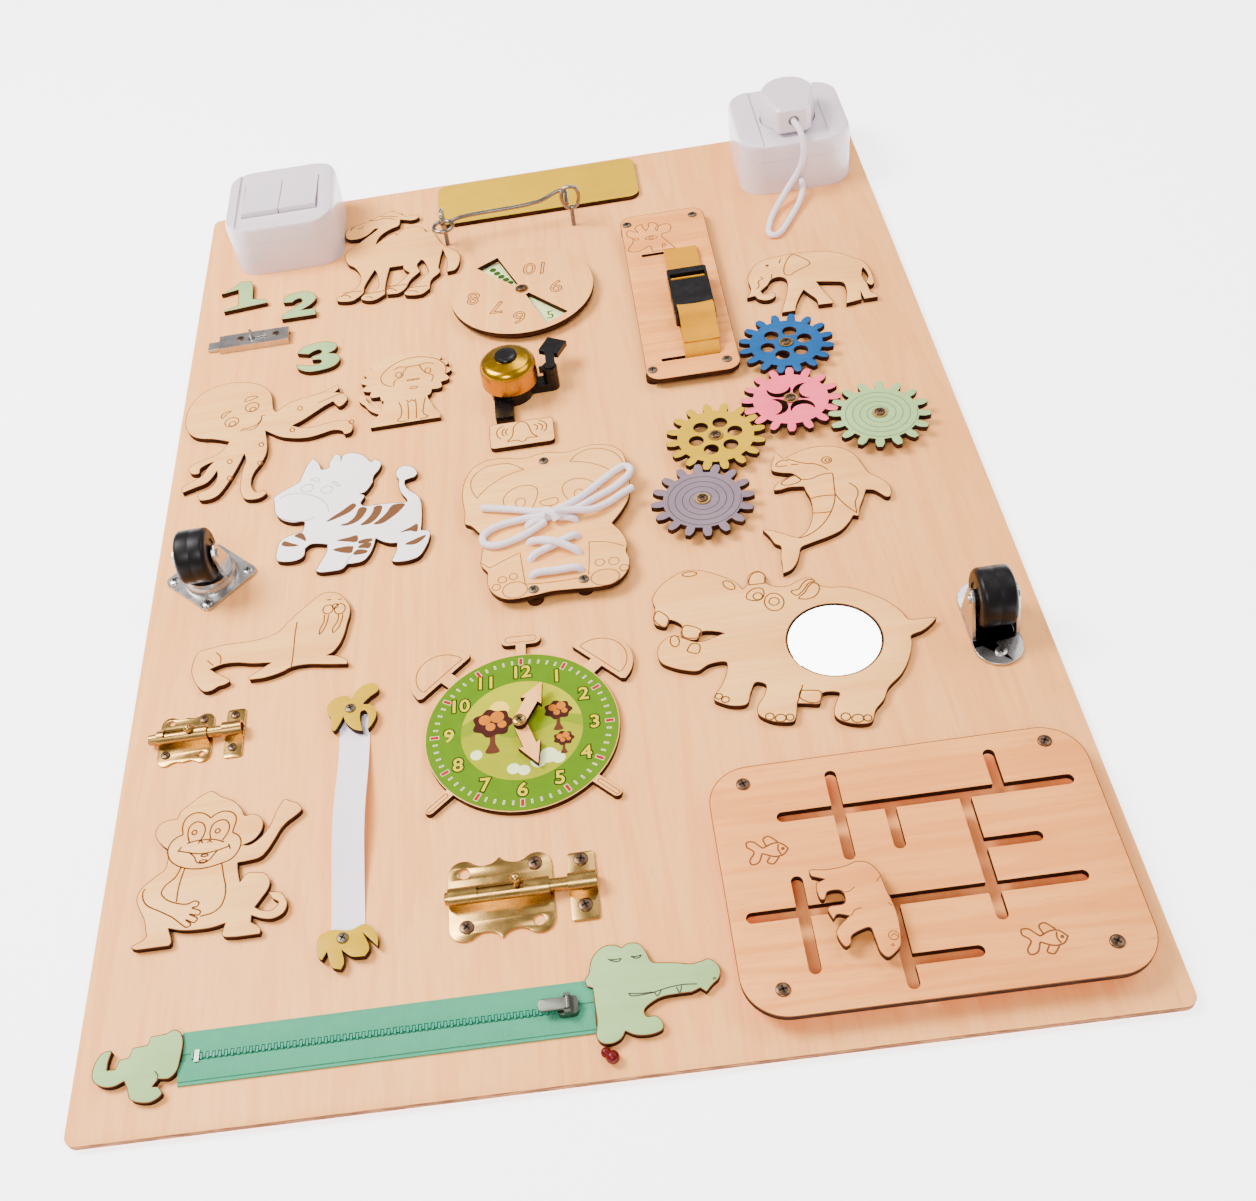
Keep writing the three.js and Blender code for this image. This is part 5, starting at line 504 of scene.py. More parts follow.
def burnt(name, dark, light):
    """A sawn or laser-cut wall: paler and darker plies one above the other, and soot."""
    made = material(name, dark, roughness=0.7)
    tree = made.node_tree
    plies = noise(tree, 900.0, 1.0, vector_maths(tree, "MULTIPLY", object_coords(tree), (0.12, 0.12, 1.0)))
    tone = mixed(tree, ramp(tree, plies, 0.0, 1.0, 0.4, 0.65), opaque(dark), opaque(light))
    tone = mixed(tree, ramp(tree, noise(tree, 160.0, 3.0), 0.0, 0.6, 0.5, 0.75), tone, opaque(dark))
    put(made, "Base Color", tone)
    bump(made, plies, 0.08)
    return made


board_wood = birch("board_birch", (0.96, 0.445, 0.145), (0.85, 0.32, 0.085), ALONG_Y, (0.3, 0.1, 0.0), depth=0.8)
figure_wood = birch("figure_birch", (0.96, 0.50, 0.155), (0.86, 0.37, 0.095), ALONG_X, (0.11, 0.47, 0.2))
wheel_wood = birch("wheel_birch", (0.95, 0.46, 0.145), (0.86, 0.345, 0.095), ALONG_Y, (0.61, 0.2, 0.3))
plate_wood = birch("plate_birch", (0.93, 0.375, 0.10), (0.76, 0.25, 0.052), ALONG_X, (0.81, 0.13, 0.5), depth=1.2)
scorched = burnt("scorched_edge", (0.013, 0.004, 0.0016), (0.046, 0.014, 0.005))
sawn_edge = burnt("sawn_edge", (0.16, 0.055, 0.02), (0.42, 0.17, 0.065))
sheet_piece("board_sheet", [rounded(BOARD_W, BOARD_H, BOARD_CORNER)], 0.0, BOARD_T, (board_wood, sawn_edge),
            nodes=["board"], soft=0.35)

# The flat figures: birch plywood cut by laser and glued on, or screwed, with scorched walls and
# thin engraved lines. An outline is given in hundredths of the square that the figure is drawn
# in, from its middle; a star marks a corner.


def outline(text, side, x, y):
    """A closed line through the points of an outline, bent between its corners."""
    points = pairs(text.replace("*", "")) / 100
    corners = [i for i, word in enumerate(text.split()) if word[-1] == "*"]
    points = np.roll(points, -corners[0], 0)
    stops = [i - corners[0] for i in corners] + [len(points)]
    points = np.vstack([points, points[:1]])
    runs = [points[a:b + 1] for a, b in zip(stops, stops[1:])]
    return np.vstack([bend(run, 5 if len(run) > 2 else 1)[:-1] for run in runs]) * side + (x, y)

CAMEL = """
    -6,62* -2,58 5,51 14,51 14.5,47 10,44.5 0,48* -1,40 -7,37 -13.5,31.5 -17,25 -18.3,18.5* -13,24 -3,30
    -1.5,28* 1,32 8,35 16,33 21,26* 24,27* 27,20 30,11 34,3 42,-5 45,-15 41,-29.5 35,-30.5* 35.5,-17 32.5,-0.5*
    31,-8 28.7,-24* 30,-29 23.5,-37.5 22,-48* 16,-53.5 4,-51 5,-46.5 14,-39 18,-33 22.2,-28* 18,-12 16,-10*
    13,-16 15.2,-25* 8,-34 4,-44 -1,-48 -8.5,-47.5* -9,-42 -4,-39.5 2,-33 8,-25* 3,-18 3,-14* -7.5,-14* -9.3,-26
    -10.5,-38 -10.5,-46.5* -17,-51.5 -22,-52 -28,-48 -24.5,-42.5 -17,-40 -15,-35 -15.5,-28 -17,-18 -18.5,-14*
    -23,-25 -26,-34 -26.5,-41 -30,-45.5* -34,-48.5 -40,-48.5 -45.5,-46 -46,-43 -39,-39 -31,-33 -28.5,-22
    -33,-8.5 -39,-1 -41,13 -30,25 -18,38 -16.5,40.5* -19.4,40.6* -25,33.3 -30,30.5 -35.5,30 -40,32 -42,39 -39,47
    -25,51 -16,57"""
ELEPHANT = """
    -40.5,-3 -40.5,10 -37,19 -32,26 -24,30 -15,31 -5,32 7,31 19,28 28,22 34,16 39,11 41.5,0 41.5,-11 41,-15
    38.6,-17 36,-13* 39,-7 37.3,4 34.5,-5* 36,-15 37,-25 40,-27.5* 40,-31* 31,-31* 30.5,-20.5* 29,-31* 18.5,-33*
    21.8,-18 21,-9.5 15,-7 3.6,-4* 7,-17 10.5,-28* 10,-30.5* 0.5,-30* 0.5,-24 -3,-17 -6,-11* -10,-18 -14,-27
    -15.5,-32.5* -24.5,-32.5* -22,-25 -19,-17 -15,0 -16,5 -20,7.5 -25,6 -29,0 -34.5,-5.5* -33,-10 -27,-9 -25,-12
    -28.5,-16 -33,-16.5 -37,-14 -39,-10* -44.5,-11*"""
DOLPHIN = """
    -26,37 -27,34 -26.5,31 -21,28 -16,26.5 -14,24.5* -22,22 -27,18 -28.5,14.5 -25,14 -20,15 -15,14.5 -11,13.5
    -10.5,10 -9.2,3 -10,-9 -14,-20 -18,-25 -22,-27 -30,-22 -37,-18 -40.5,-17* -37.5,-23 -35.5,-29 -32.5,-32
    -34,-40 -34.2,-46 -35,-53* -30,-51 -26,-46 -23.5,-40 -21.5,-35 -15,-32.5 -5,-29.5 3,-26 9,-20 12,-15.5*
    15,-16.5* 17,-10 20,-4 23.5,4* 28,2.5 34,-4.5 36,-4 37.5,4 34,11 28,18 26,25 23,35 17,42 7,46 -3,46 -12,43
    -18.5,40* -22.5,47* -24,42*"""
WALRUS = """
    28,33 35,31 39,26 42,20 42.5,14 41,6 39.5,-2 37,-9 33.5,-14 29.8,-16* 37,-18 42,-22 42,-24.5* 30,-22.5
    19,-20.5 10,-21 5,-23.5 -5,-26 -13.5,-26* -14,-24* -8,-20 -1.5,-15.5* -13,-14 -22,-11.8 -30,-11.5 -37.5,-14*
    -33,-18 -25.5,-23.5* -25,-25 -28,-27 -31,-27.5* -35,-30 -39,-30 -43.5,-25 -46,-20 -48,-12 -45,0 -37,2 -31,3
    -13,3 -5,4.5 1,7 5,12 11,19 18,26 23,31"""
OCTOPUS = """
    -22.8,3.8* -33.8,8.8 -42.5,11.3 -48.8,15 -54.4,25 -55,41 -50,55 -40,63.8 -23.8,66 -8.8,61 1.2,50 5,30
    7,27.5* 14,34 22,37 30,39 40,42 48,47* 49,43 46,39* 51,37 55,32 54,27 50,23.5 45.5,30* 40,26.5 32,20 25,14.5
    18.5,10.8* 23,8 30,6 40,7.5 48,8.5 55,8 59,3 59.5,-2 58,-5 54.5,-6* 52.5,-2 46.2,0 39,-2 30,-3.7 21.2,-2.5
    11.2,1.3 0.5,10* 3,-6.2 2.5,-15 0,-22.5 -3.8,-30 -5.3,-37.5 -4.4,-45 -1,-50 3.7,-48.7* 5.6,-51.5 3,-55
    -2.5,-56.2 -8,-54.4 -11.3,-47.5 -12,-37.5 -11.3,-25 -10,-17.5 -12,-10* -13.8,-17.5 -17.5,-29 -21.9,-40
    -26.3,-47.5 -31,-50 -37.5,-49.5 -39.4,-45 -38,-42* -33.8,-41.2 -29.4,-36.2 -28,-29 -28.8,-23* -31.3,-29
    -35,-34 -42.5,-37 -50,-40* -50.6,-35 -45,-31.2 -38,-26.2 -35.5,-20 -31.5,-14* -36,-15.5 -40.5,-19 -41,-23.5
    -45.5,-23 -48,-18 -44,-13 -37,-10.5 -30,-7.5 -25,-1"""
MONKEY = """
    -14,47.5 -8,50 -3,46 4,42 9,36 11.2,31.5 15,32 19,30 21,26 20.5,21 17,16 11,13.5* 15,13 20,16 25,23 28,32
    32,38.5 35,36.5* 38.5,35 41,31 38,27.5 34,24.5 31,21 28,15 24,8 21,5 15,3.8 9.5,3.5* 10,-1 11.7,-8.5* 15,-4
    20,-4 24.5,-5.5 27,-10 26.5,-14 23.5,-19 20.2,-24* 24,-26.2 29,-27 32.5,-23 29,-20 27,-16.5* 33,-17.5
    36.5,-24 35,-29 30,-31.5 24,-30.5 19,-28* 19,-32* 24,-36 24,-39* 12,-39* 5.5,-37.5 6.5,-30.5* 0,-32 -7,-32.2
    -15,-31.5 -22.5,-29.2* -20,-37.5 -21,-39* -37,-39* -40,-37.5 -33,-33 -33.5,-29 -35,-23 -39,-15 -40.5,-10
    -39,-5 -33,1 -28,5 -27,11 -28,17 -30,19* -33.5,23 -35.5,28 -34,33 -30,35 -25,35* -23,40 -19,43.5"""
LION_BODY = """
    -12.5,2* -15,-10 -17,-20 -22,-27 -23.5,-33.5* 23,-33* 22,-28 19,-23 17,-17 15,-12 13,2*"""
LION_TAIL = """
    -16,-16* -22,-12 -26.5,-5 -27,-1* -30,2 -32,-3 -30,-7 -27.5,-10 -24,-16 -17,-22*"""
ONE = """
    -44.5,11* -25,26 -10,42.5* 9,40* 13.5,25 16.5,-18.75* 43,-26.5* 45,-36.25* -35,-45.25* -35,-41.25*
    -8.5,-31.25* -11.5,9.5 -12.5,18.75*"""
TWO = """
    -35.5,17* -33,37 -16,47 6,48 27,38 35,18 27,0 3,-20* 35,-20* 37,-42* -36,-42* -34,-28 -7,-3 6,13 0,25
    -11,22* -16,15*"""
THREE = """
    -44,20* -32,38 -6,47 20,45 38,32 35,16 20,6* 40,-2 46,-19 36,-37 10,-46 -20,-45 -40,-30 -45,-16* -25,-24
    -3,-27 9,-20 5,-11 -12,-9* -12,3* 2,6 8,14 2,23 -10,20 -20,12*"""
CROC_HEAD = """
    -30.6,6.2* -31.3,9.4 -29.4,12 -27.5,19 -25,22.5 -21.3,25 -16.2,25 -13.1,23* -10,25 -5,24 -2.5,20 0,14 5,13
    11,12 17.5,10.6 22,11.2 25.6,12 28.8,9.4 30,6 28.8,2 25.6,-0.6 22.5,-3.8* 20,-1.5* 16,-3* 10,-3 2.5,-3.5
    -2.5,-5.6 -6.2,-8.8 -5.6,-12 -1.2,-12.5 1,-15 1,-18.8 -4,-20.6 -11.2,-20 -15.6,-17.5* -17.5,-20.6
    -21.3,-22.5 -26,-22 -28.4,-18.8 -27.5,-12.5 -27.8,-2.5 -28,5*"""
CROC_TAIL = """
    -11.9,9.4* -16,9 -19.4,2.5 -18.8,-3.8 -13.8,-7.5 -8.8,-8 -3.8,-6* -1.9,-10 0,-15 4,-17 10,-17.5 14.4,-14.4
    12.5,-11* 9.4,-10.6* 12,-7* 17,-7.3 20,-4.4 21.2,2.5 21.5,10 20,14.4* 17,16 13.1,14.4* 6.2,14* 5,10*
    -1.9,9.4* -3,5* -7.5,4.4* -8.8,0* -13,0* -13,4"""
ZEBRA = """
    -48.6,18 -48.9,22.5 -45,26 -40,29.4 -33.3,33.9 -32.2,37.8 -28.9,48.9 -25.6,54.4* -21.7,48.9 -19.8,42.4*
    -15,42.8 -14.4,47.8 -11,55.6* -7.8,53.3 -7.2,47.8* -5.6,53.3 0,54.4 5.6,51.7 8.9,48.3* 12.8,42.8 15,45*
    18.9,41.1 18.3,35.6 14.4,28.9 13.9,23.3* 9.4,15.6 5.6,14.4* 9,12 6.7,5.6 9,2.8 17.8,2.2 26.7,1.7 36.1,0.9
    32.2,10 30.6,16.7 30.6,22.2 28.8,27 29.5,31.5 33,34.4 36.7,33.9 40.6,30.6 42.2,25.6 40.6,22.8* 34.4,21.1*
    34.4,16.7 37.2,11 42.2,5.6 44.4,0 45,-7.8 45,-16.7 44.4,-26* 49.4,-27.8 49.4,-34.4 46.7,-42.2 43.3,-47.8
    37.8,-50 28.9,-49.8 26.7,-48.3* 29.4,-41.1 30.2,-33.9* 25.6,-33.3 21.1,-31 16.7,-27.2* 15.6,-33.3 12.8,-41
    9.4,-45 3.3,-46 0,-45.6* -3.3,-49.4 -10,-50 -16.7,-49.4 -19.4,-47.8* -16,-40 -13.3,-33.3 -12.8,-26.7*
    -17.8,-25 -23.3,-24.4 -26.7,-27.2* -27.2,-33.3 -30,-36 -36.7,-36.7 -43.3,-34.4 -44.4,-30 -42.8,-18.9
    -38.9,-15 -28.9,-12.2* -28.3,-3.9 -35.6,-2.8 -42.2,0.6 -46.7,6.7"""
HIPPO = """
    -74.4,41 -73.7,34 -75.6,26.2 -74.4,22 -69.4,20 -67,24.4 -60.6,19 -62,12.5 -60,9.4 -54,7.5 -51.2,12.5 -42,11
    -38.5,9* -54,5.5 -66.2,12.5 -72.5,9.4 -76,2.5 -75,-5 -70,-9.4 -62.5,-13 -56.2,-14.4 -50,-11 -40.6,-11
    -41.2,-17.5 -45,-26 -49.4,-32 -50.6,-35 -46.2,-38.8 -41.2,-41 -34.4,-41 -31.2,-33.8 -27.5,-27.5 -22.5,-30
    -24,-36 -29,-43.8 -29.4,-48.8 -24,-53.8 -17.5,-56 -12.5,-56 -10,-50 -9,-45* -4,-46 2.5,-47 5,-40.6 13.8,-42
    11,-47.5 8.5,-55 10,-58.8 16,-62.5 22.5,-63.8 26,-63 29.4,-56 35,-50 38.8,-43 47.5,-35 53.8,-25 57.5,-15
    58,-10.6 65,-8 71,-3.8 74,-0.6* 67.5,0 59.4,1 57,7 51,16 42,24 32,30 22,32 17,35 14,41 8,40 1,37 -6,38
    -11,42 -10.5,48 -14,51.5 -19,49 -21,42 -24,39* -27,45 -35,52 -45,58 -54,59.5 -63,55 -70,49"""
BEAR = """
    -34,48 -18,46.4 0,48 10,51 20,48 27,38 30,18 33,2 34,-12 32.4,-28 30,-38 24,-44 17,-47.6 12,-42 10,-28 8,-17
    0,-18 -10,-23 -12,-30 -17,-32.5 -22,-18 -18,-12 -7,-3* -18,0 -22,-4.5* -25,6 -23,8.4 -9,10 -9,23 -22,24
    -26,17 -29,17 -31,28 -30,34* -21,37* -33,42*"""
BANANA_TOP = """
    -66,-7 -69,18 -58,37 -35,48.5 -13.5,45.5 -3.5,30* 9,56.5 31,76 53.5,81.5 67,70.5 71,51 48,31.5 31,10 50.5,5
    65,-15 67,-38 56,-65 45,-79.5* 45,-32 36.5,-13 25.5,-15 23,-38 31,-82* 9,-74 -13.5,-49 -23,-24* -33,-49
    -46.5,-70 -55,-60* -58,-25"""
BANANA_LOW = """
    -75,10 -72,31.5 -43.5,45 6.5,38.5 35,50.5 56.5,38.5 72,10 72,-15* 56.5,3 35,28* 52,-18 42,-36.5* 10,-33
    -15,-11.5* -8,-47 -15,-63.5* -36.5,-54.5 -50,-11.5* -61.5,-33* -72,-22"""
PANDA = """
    -58.8,30 -58,40 -56,47 -51,56 -42.5,60.6 -32.5,60.6 -20,57.5 -7.5,60 7.5,57.5 22.5,61 35,57.5 41,50 42.5,40
    43,30 42.5,20 41,10 36,0 28.8,-10* 33.8,-18.8 36,-27.5 34.8,-35 36,-40 35,-47.5 30,-55 22.5,-58.8 0,-58
    -10,-57.5 -20,-58.8 -35,-59 -42.5,-53.8 -46,-45 -45.6,-36* -49.4,-28.8 -48.8,-22.5 -47,-10 -47.5,-6* -53.8,4
    -58,7.5 -57.5,15"""

engraved_brown, engraved_soft, engraved_line, engraved_faint = (
    material(name, colour, roughness=0.8) for name, colour in (
        ("engraved_brown", (0.17, 0.055, 0.018)), ("engraved_soft", (0.15, 0.045, 0.008)),
        ("engraved_line", (0.13, 0.035, 0.006)), ("engraved_faint", (0.26, 0.09, 0.018))))
ink_line, mint_line, grey_line = (
    material(name, colour, roughness=0.7) for name, colour in (
        ("ink_line", (0.055, 0.055, 0.04)), ("mint_line", (0.13, 0.155, 0.085)), ("grey_line", (0.30, 0.23, 0.23))))
stripe_brown = material("stripe_brown", (0.135, 0.052, 0.02), roughness=0.6)


def marks(name, lines, top, made, width, body="panel", proud=0.05, slot="birch_plywood"):
    """Engraved or printed lines: each is a low closed bar of the given width in a face."""
    verts, faces, base = [], [], 0
    for line in lines:
        p = bend(line, 1)
        along = np.gradient(p, axis=0)
        along /= np.maximum(np.linalg.norm(along, axis=1, keepdims=True), 1e-9)
        off = np.stack([-along[:, 1], along[:, 0]], 1) * width / 2
        n = len(p)
        low, high = np.full((n, 1), top - proud), np.full((n, 1), top + proud)
        rows = [np.hstack([p + way * off, level]) for way, level in ((-1, low), (1, low), (1, high), (-1, high))]
        verts.append(np.stack(rows, 1).reshape(-1, 3))
        faces += (band(n, 4)[:, [0, 3, 2, 1]] + base).tolist()
        faces += [[base + k for k in range(4)], [base + n * 4 - k for k in range(1, 5)]]
        base += n * 4
    return piece(name, np.vstack(verts), faces, made, body, slot=slot)


TOP = FACE + PLY
wood = (figure_wood, scorched)
cut_rings = {}


def figure(title, table, side, x, y, name, node_name, materials=wood, slot="birch_plywood"):
    """A cut sheet on the board, its outline kept for the scorched line along its edge."""
    cut_rings[title] = outline(table, side, x, y), slot
    sheet_piece(name, [cut_rings[title][0]], FACE, PLY, materials, nodes=[node_name], slot=slot)


figure("camel", CAMEL, 100, -100, 280, "camel_figure", "board")
figure("elephant", ELEPHANT, 100, 185, 175, "elephant_figure", "board")
figure("dolphin", DOLPHIN, 100, 155, -40, "dolphin_figure", "board")
figure("walrus", WALRUS, 100, -170, -90, "walrus_figure", "board")
figure("octopus", OCTOPUS, 100, -190, 90, "octopus_figure", "octopus")
figure("monkey", MONKEY, 100, -190, -240, "monkey_figure", "monkey")

LION_X, LION_Y, LION_SIDE, TUFTS = -95.0, 120.0, 100.0, 18
MANE_WIDE, MANE_HIGH, TUFT_SHARE = 0.31, 0.27, 0.87
tuft_turn = np.arange(TUFTS * 8) * math.tau / (TUFTS * 8)
tuft_reach = TUFT_SHARE + (1 - TUFT_SHARE) * (0.5 + 0.5 * np.cos(tuft_turn * TUFTS)) ** 0.6
mane = np.stack([
    LION_X + LION_SIDE * MANE_WIDE * tuft_reach * np.cos(tuft_turn),
    LION_Y + LION_SIDE * MANE_HIGH * (tuft_reach * np.sin(tuft_turn) + 1 - TUFT_SHARE / 2)], 1)
sheet_piece("lion_mane", [mane], FACE, PLY, wood, nodes=["board"])
for title, table, lower in (("body", LION_BODY, 0.02), ("tail", LION_TAIL, 0.04)):
    sheet_piece("lion_" + title, [outline(table, LION_SIDE, LION_X, LION_Y)], FACE, PLY - lower, wood,
                nodes=["board"])


def painted(name, colour, deep):
    """Thin matt paint on plywood: brush clouds, the fibres just showing, and worn specks."""
    roughness = 0.42
    made = material(name, colour, roughness=roughness)
    tree = made.node_tree
    fibre = use_group(made, grain_group, Across=ALONG_X, Shift=(0.4, 0.9, 0.1)).outputs["Fibre"]
    cloud = noise(tree, 45.0, 4.0)
    tone = mixed(tree, ramp(tree, cloud, 0.0, 0.55, 0.35, 0.7), opaque(colour), opaque(deep))
    tone = mixed(tree, ramp(tree, fibre, 0.0, 0.4, 0.45, 0.75), tone, opaque(deep))
    put(made, "Base Color", tone)
    put(made, "Roughness", ramp(tree, cloud, roughness - 0.08, roughness + 0.12, 0.3, 0.7))
    bump(made, fibre, 0.04)
    return made


mint_paint = painted("mint_paint", (0.33, 0.50, 0.20), (0.27, 0.42, 0.15))
white_paint = painted("white_paint", (0.97, 0.93, 0.91), (0.90, 0.80, 0.78))
yellow_paint = painted("yellow_paint", (0.56, 0.335, 0.0005), (0.48, 0.275, 0.0005))
mint = (mint_paint, scorched)
figure("one", ONE, 40, -216, 260, "digit_one", "board", mint, "mint_wood")
figure("two", TWO, 34, -173.5, 236, "digit_two", "board", mint, "mint_wood")
figure("three", THREE, 34, -157, 171.5, "digit_three", "board", mint, "mint_wood")
figure("crocodile_head", CROC_HEAD, 100, 20, -335, "crocodile_head_cut", "crocodile_head", mint, "mint_wood")
figure("crocodile_tail", CROC_TAIL, 100, -220, -340, "crocodile_tail_cut", "crocodile_tail", mint, "mint_wood")
figure("zebra", ZEBRA, 100, -130, 10, "zebra_cut", "zebra", (white_paint, scorched), "white_wood")
cut_rings["plaque"] = rounded(41, 23, 3, -20, 59.5), "birch_plywood"
sheet_piece("plaque", [cut_rings["plaque"][0]], FACE, PLY, wood, nodes=["board"])
sheet_piece("sign_sheet", [rounded(153, 54, 8, 6.5, 338)], FACE, PLY, (yellow_paint, scorched),
            nodes=["sign_plate"], slot="yellow_wood")

# Hippo: the same birch sheet, glued on, with a round mirror let in. The mirror is backed glass
# with a narrow bevel, glued to the board.
MIRROR_X, MIRROR_Y, MIRROR_R = 138.3, -145.7, 25.5
cut_rings["hippo"] = outline(HIPPO, 100, 120, -140), "birch_plywood"
cut_rings["mirror"] = circle(MIRROR_X, MIRROR_Y, MIRROR_R + 0.2, 72), "birch_plywood"
sheet_piece("hippo_cut", [cut_rings["hippo"][0], circle(MIRROR_X, MIRROR_Y, MIRROR_R, 72)], FACE, PLY, wood,
            nodes=["hippo"])
mirror_glass = material("mirror_glass", (0.93, 0.945, 0.96), roughness=0.015, metallic=1.0)
glass_mist = use_group(mirror_glass, gloss_group, Scale=20.0, Low=0.01, High=0.05)
put(mirror_glass, "Roughness", glass_mist.outputs["Roughness"])
GLASS_R, GLASS_TOP = MIRROR_R - 0.3, FACE + 3.0
glass_line = [(0, FACE), (GLASS_R, FACE), (GLASS_R, GLASS_TOP - 0.4), (GLASS_R - 0.6, GLASS_TOP), (0, GLASS_TOP)]
lathe("mirror_disc", glass_line, (MIRROR_X, MIRROR_Y, 0), mirror_glass, sides=96, nodes=["mirror"],
      slot="mirror", smooth=30)

# Screws: small pan heads of bronzed, darkened or bright metal, each with a crossed recess. They
# hold the plates, the wheels and the boxes to the board.


def metal(name, colour, low, high, scale, relief):
    """Bare metal: fine uneven gloss and a faint tarnish in its colour."""
    made = material(name, colour, roughness=(low + high) / 2, metallic=1.0)
    tree = made.node_tree
    lines = noise(tree, scale, 4.0)
    stain = ramp(tree, noise(tree, 70.0, 3.0), 0.0, 0.5, 0.45, 0.75)
    put(made, "Roughness", ramp(tree, lines, low, high, 0.35, 0.65))
    put(made, "Base Color", mixed(tree, stain, opaque(colour), opaque(colour, 0.8)))
    bump(made, lines, relief)
    return made


zinc = metal("zinc_plate", (0.46, 0.44, 0.43), 0.24, 0.34, 120.0, 0.004)
polished_brass = metal("polished_brass", (0.40, 0.235, 0.065), 0.2, 0.3, 120.0, 0.003)
screw_bronze = metal("screw_bronze", (0.13, 0.072, 0.042), 0.3, 0.42, 150.0, 0.006)
wire_steel = metal("wire_steel", (0.27, 0.235, 0.21), 0.2, 0.3, 120.0, 0.003)
dark_steel = metal("dark_steel", (0.15, 0.115, 0.08), 0.35, 0.5, 150.0, 0.01)
# Painted shade: a screw's cross recess is drawn as a flat mark in a near black.
recess_shade = material("recess_shade", (0.012, 0.010, 0.008), roughness=0.7)
CROSS_REACH, CROSS_WIDE = 0.55, 0.264


def screw(name, x, y, seat, radius, made, turned=20.0, height=1.2, slot="steel"):
    """A pan head: a low dome of revolution, and a flat dark cross on its top, painted as the shade in its crossed
    recess.
    """
    rise = np.radians(np.linspace(90, 14, 7))
    dome = [(radius * math.sin(t), seat + height * (0.45 + 0.55 * math.cos(t))) for t in rise]
    lathe(name, [(0, seat), (radius, seat)] + dome + [(0, seat + height)], (x, y, 0), made, sides=28, slot=slot)
    a = math.radians(turned)
    arms = np.array(((math.cos(a), math.sin(a)), (-math.sin(a), math.cos(a)))) * radius * CROSS_REACH
    marks(name + "_cross", [[(x, y) - arm, (x, y) + arm] for arm in arms], seat + height, recess_shade,
          width=radius * CROSS_WIDE, proud=0.04, slot=slot)


def standoffs(title, places, seat, radius, screw_r, made, first, step, sides=28):
    """Spacers between the board and a plate, and a screw in the plate over each."""
    for i, (x, y) in enumerate(places):
        drum(f"{title}_spacer_{i + 1}", x, y, radius, FACE, seat, scorched, sides, slot="birch_plywood")
        screw(f"{title}_screw_{i + 1}", x, y, seat + PLY, screw_r, made, turned=first + step * i)


# Counting wheel: a birch disc with two windows that turns over a mint disc on one screw.
COUNT_X, COUNT_Y, COUNT_R, COUNT_DISC_R = -11.5, 208.0, 50.5, 46.0
WINDOW_IN, WINDOW_OUT = 7.0, 45.5
COUNT_SEAT, AXLE_HOLE_R, DIGIT_THICK = TOP + 0.6, 3.3, 0.06
mint_print = painted("mint_print", (0.72, 0.80, 0.36), (0.62, 0.72, 0.28))
sheet_piece("count_base", [circle(COUNT_X, COUNT_Y, COUNT_DISC_R, 96)], FACE, PLY, (mint_print, scorched),
            nodes=["board"], slot="mint_wood")
windows = []
for start, stop in ((110, 133), (-71, -48)):
    inner = arc(COUNT_X, COUNT_Y, WINDOW_IN, start, stop, 4)
    windows.append(np.vstack([inner, arc(COUNT_X, COUNT_Y, WINDOW_OUT, stop, start, 1)]))
sheet_piece("count_disc", [circle(COUNT_X, COUNT_Y, COUNT_R, 128), circle(COUNT_X, COUNT_Y, AXLE_HOLE_R, 24)] + windows,
            COUNT_SEAT, PLY, (wheel_wood, scorched), body="counting_wheel_body", nodes=["counting_wheel"])
green_ink = material("green_ink", (0.022, 0.075, 0.008), roughness=0.6)
for i, (x, y) in enumerate(((-31.4, 242.3), (-28.5, 237.3), (-25.6, 232.5), (-22.6, 228.0), (-19.7, 223.6))):
    drum(f"count_dot_{i + 1}", x, y, 2.5, TOP - 0.05, TOP + 0.05, green_ink, 20, slot="mint_wood")


def digits(name, words, x, y, turned, size, top, made, body="panel", outlined=0.0, width=0.0):
    """Digits laid flat on a face: filled, or as an outline drawn with a fine bar."""
    text = bpy.data.curves.new(name, "FONT")
    text.body = words
    text.size = size * MM
    text.align_x, text.align_y = "CENTER", "CENTER"
    text.offset = outlined * MM
    text.resolution_u = 4
    if width:
        text.fill_mode = "NONE"
        text.bevel_depth = width / 2 * MM
        text.bevel_resolution = 0
    else:
        text.extrude = DIGIT_THICK / 2 * MM
    mesh = drawn(text)
    mesh.transform(Matrix.Translation((x * MM, y * MM, top * MM)) @ Matrix.Rotation(math.radians(turned), 4, "Z"))
    mesh.materials.clear()
    mesh.materials.append(made)
    cleaned(mesh, 1e-7, 0)
    return settle(name, mesh, body)


for words, x, y in (("10", 0, 231), ("9", 13, 206), ("8", -46, 206), ("7", -29.5, 191.5), ("6", -15, 176)):
    digits("count_figure_" + words, words, x, y, 172, 19, COUNT_SEAT + PLY, engraved_line, "counting_wheel_body",
           width=0.75)
digits("count_answer", "5", 6.3, 178.6, 0, 12.5, TOP, green_ink)

# Pivots: a birch spacer, a brass bush and a dark screw hold each turning wheel.
GEAR_SEAT = FACE + 4.4


def pivot(name, x, y, seat, spacer_from):
    """The spacer, bush and screw of a wheel that lies at a height over the board."""
    bush_r, flange_r, play = 2.9, 4.5, 0.3
    drum(name + "_spacer", x, y, 6, spacer_from, seat - play, scorched, nodes=["board"], slot="birch_plywood")
    low, top = seat + PLY + play, seat + PLY + play + 0.5
    bush = [(0, seat), (bush_r, seat), (bush_r, low), (flange_r, low), (flange_r, top), (0, top)]
    lathe(name + "_bush", bush, (x, y, 0), polished_brass, sides=32, slot="brass")
    screw(name + "_screw", x, y, top, 3.2, screw_bronze, turned=35 + x)


pivot("count_pivot", COUNT_X, COUNT_Y, COUNT_SEAT, FACE + PLY)

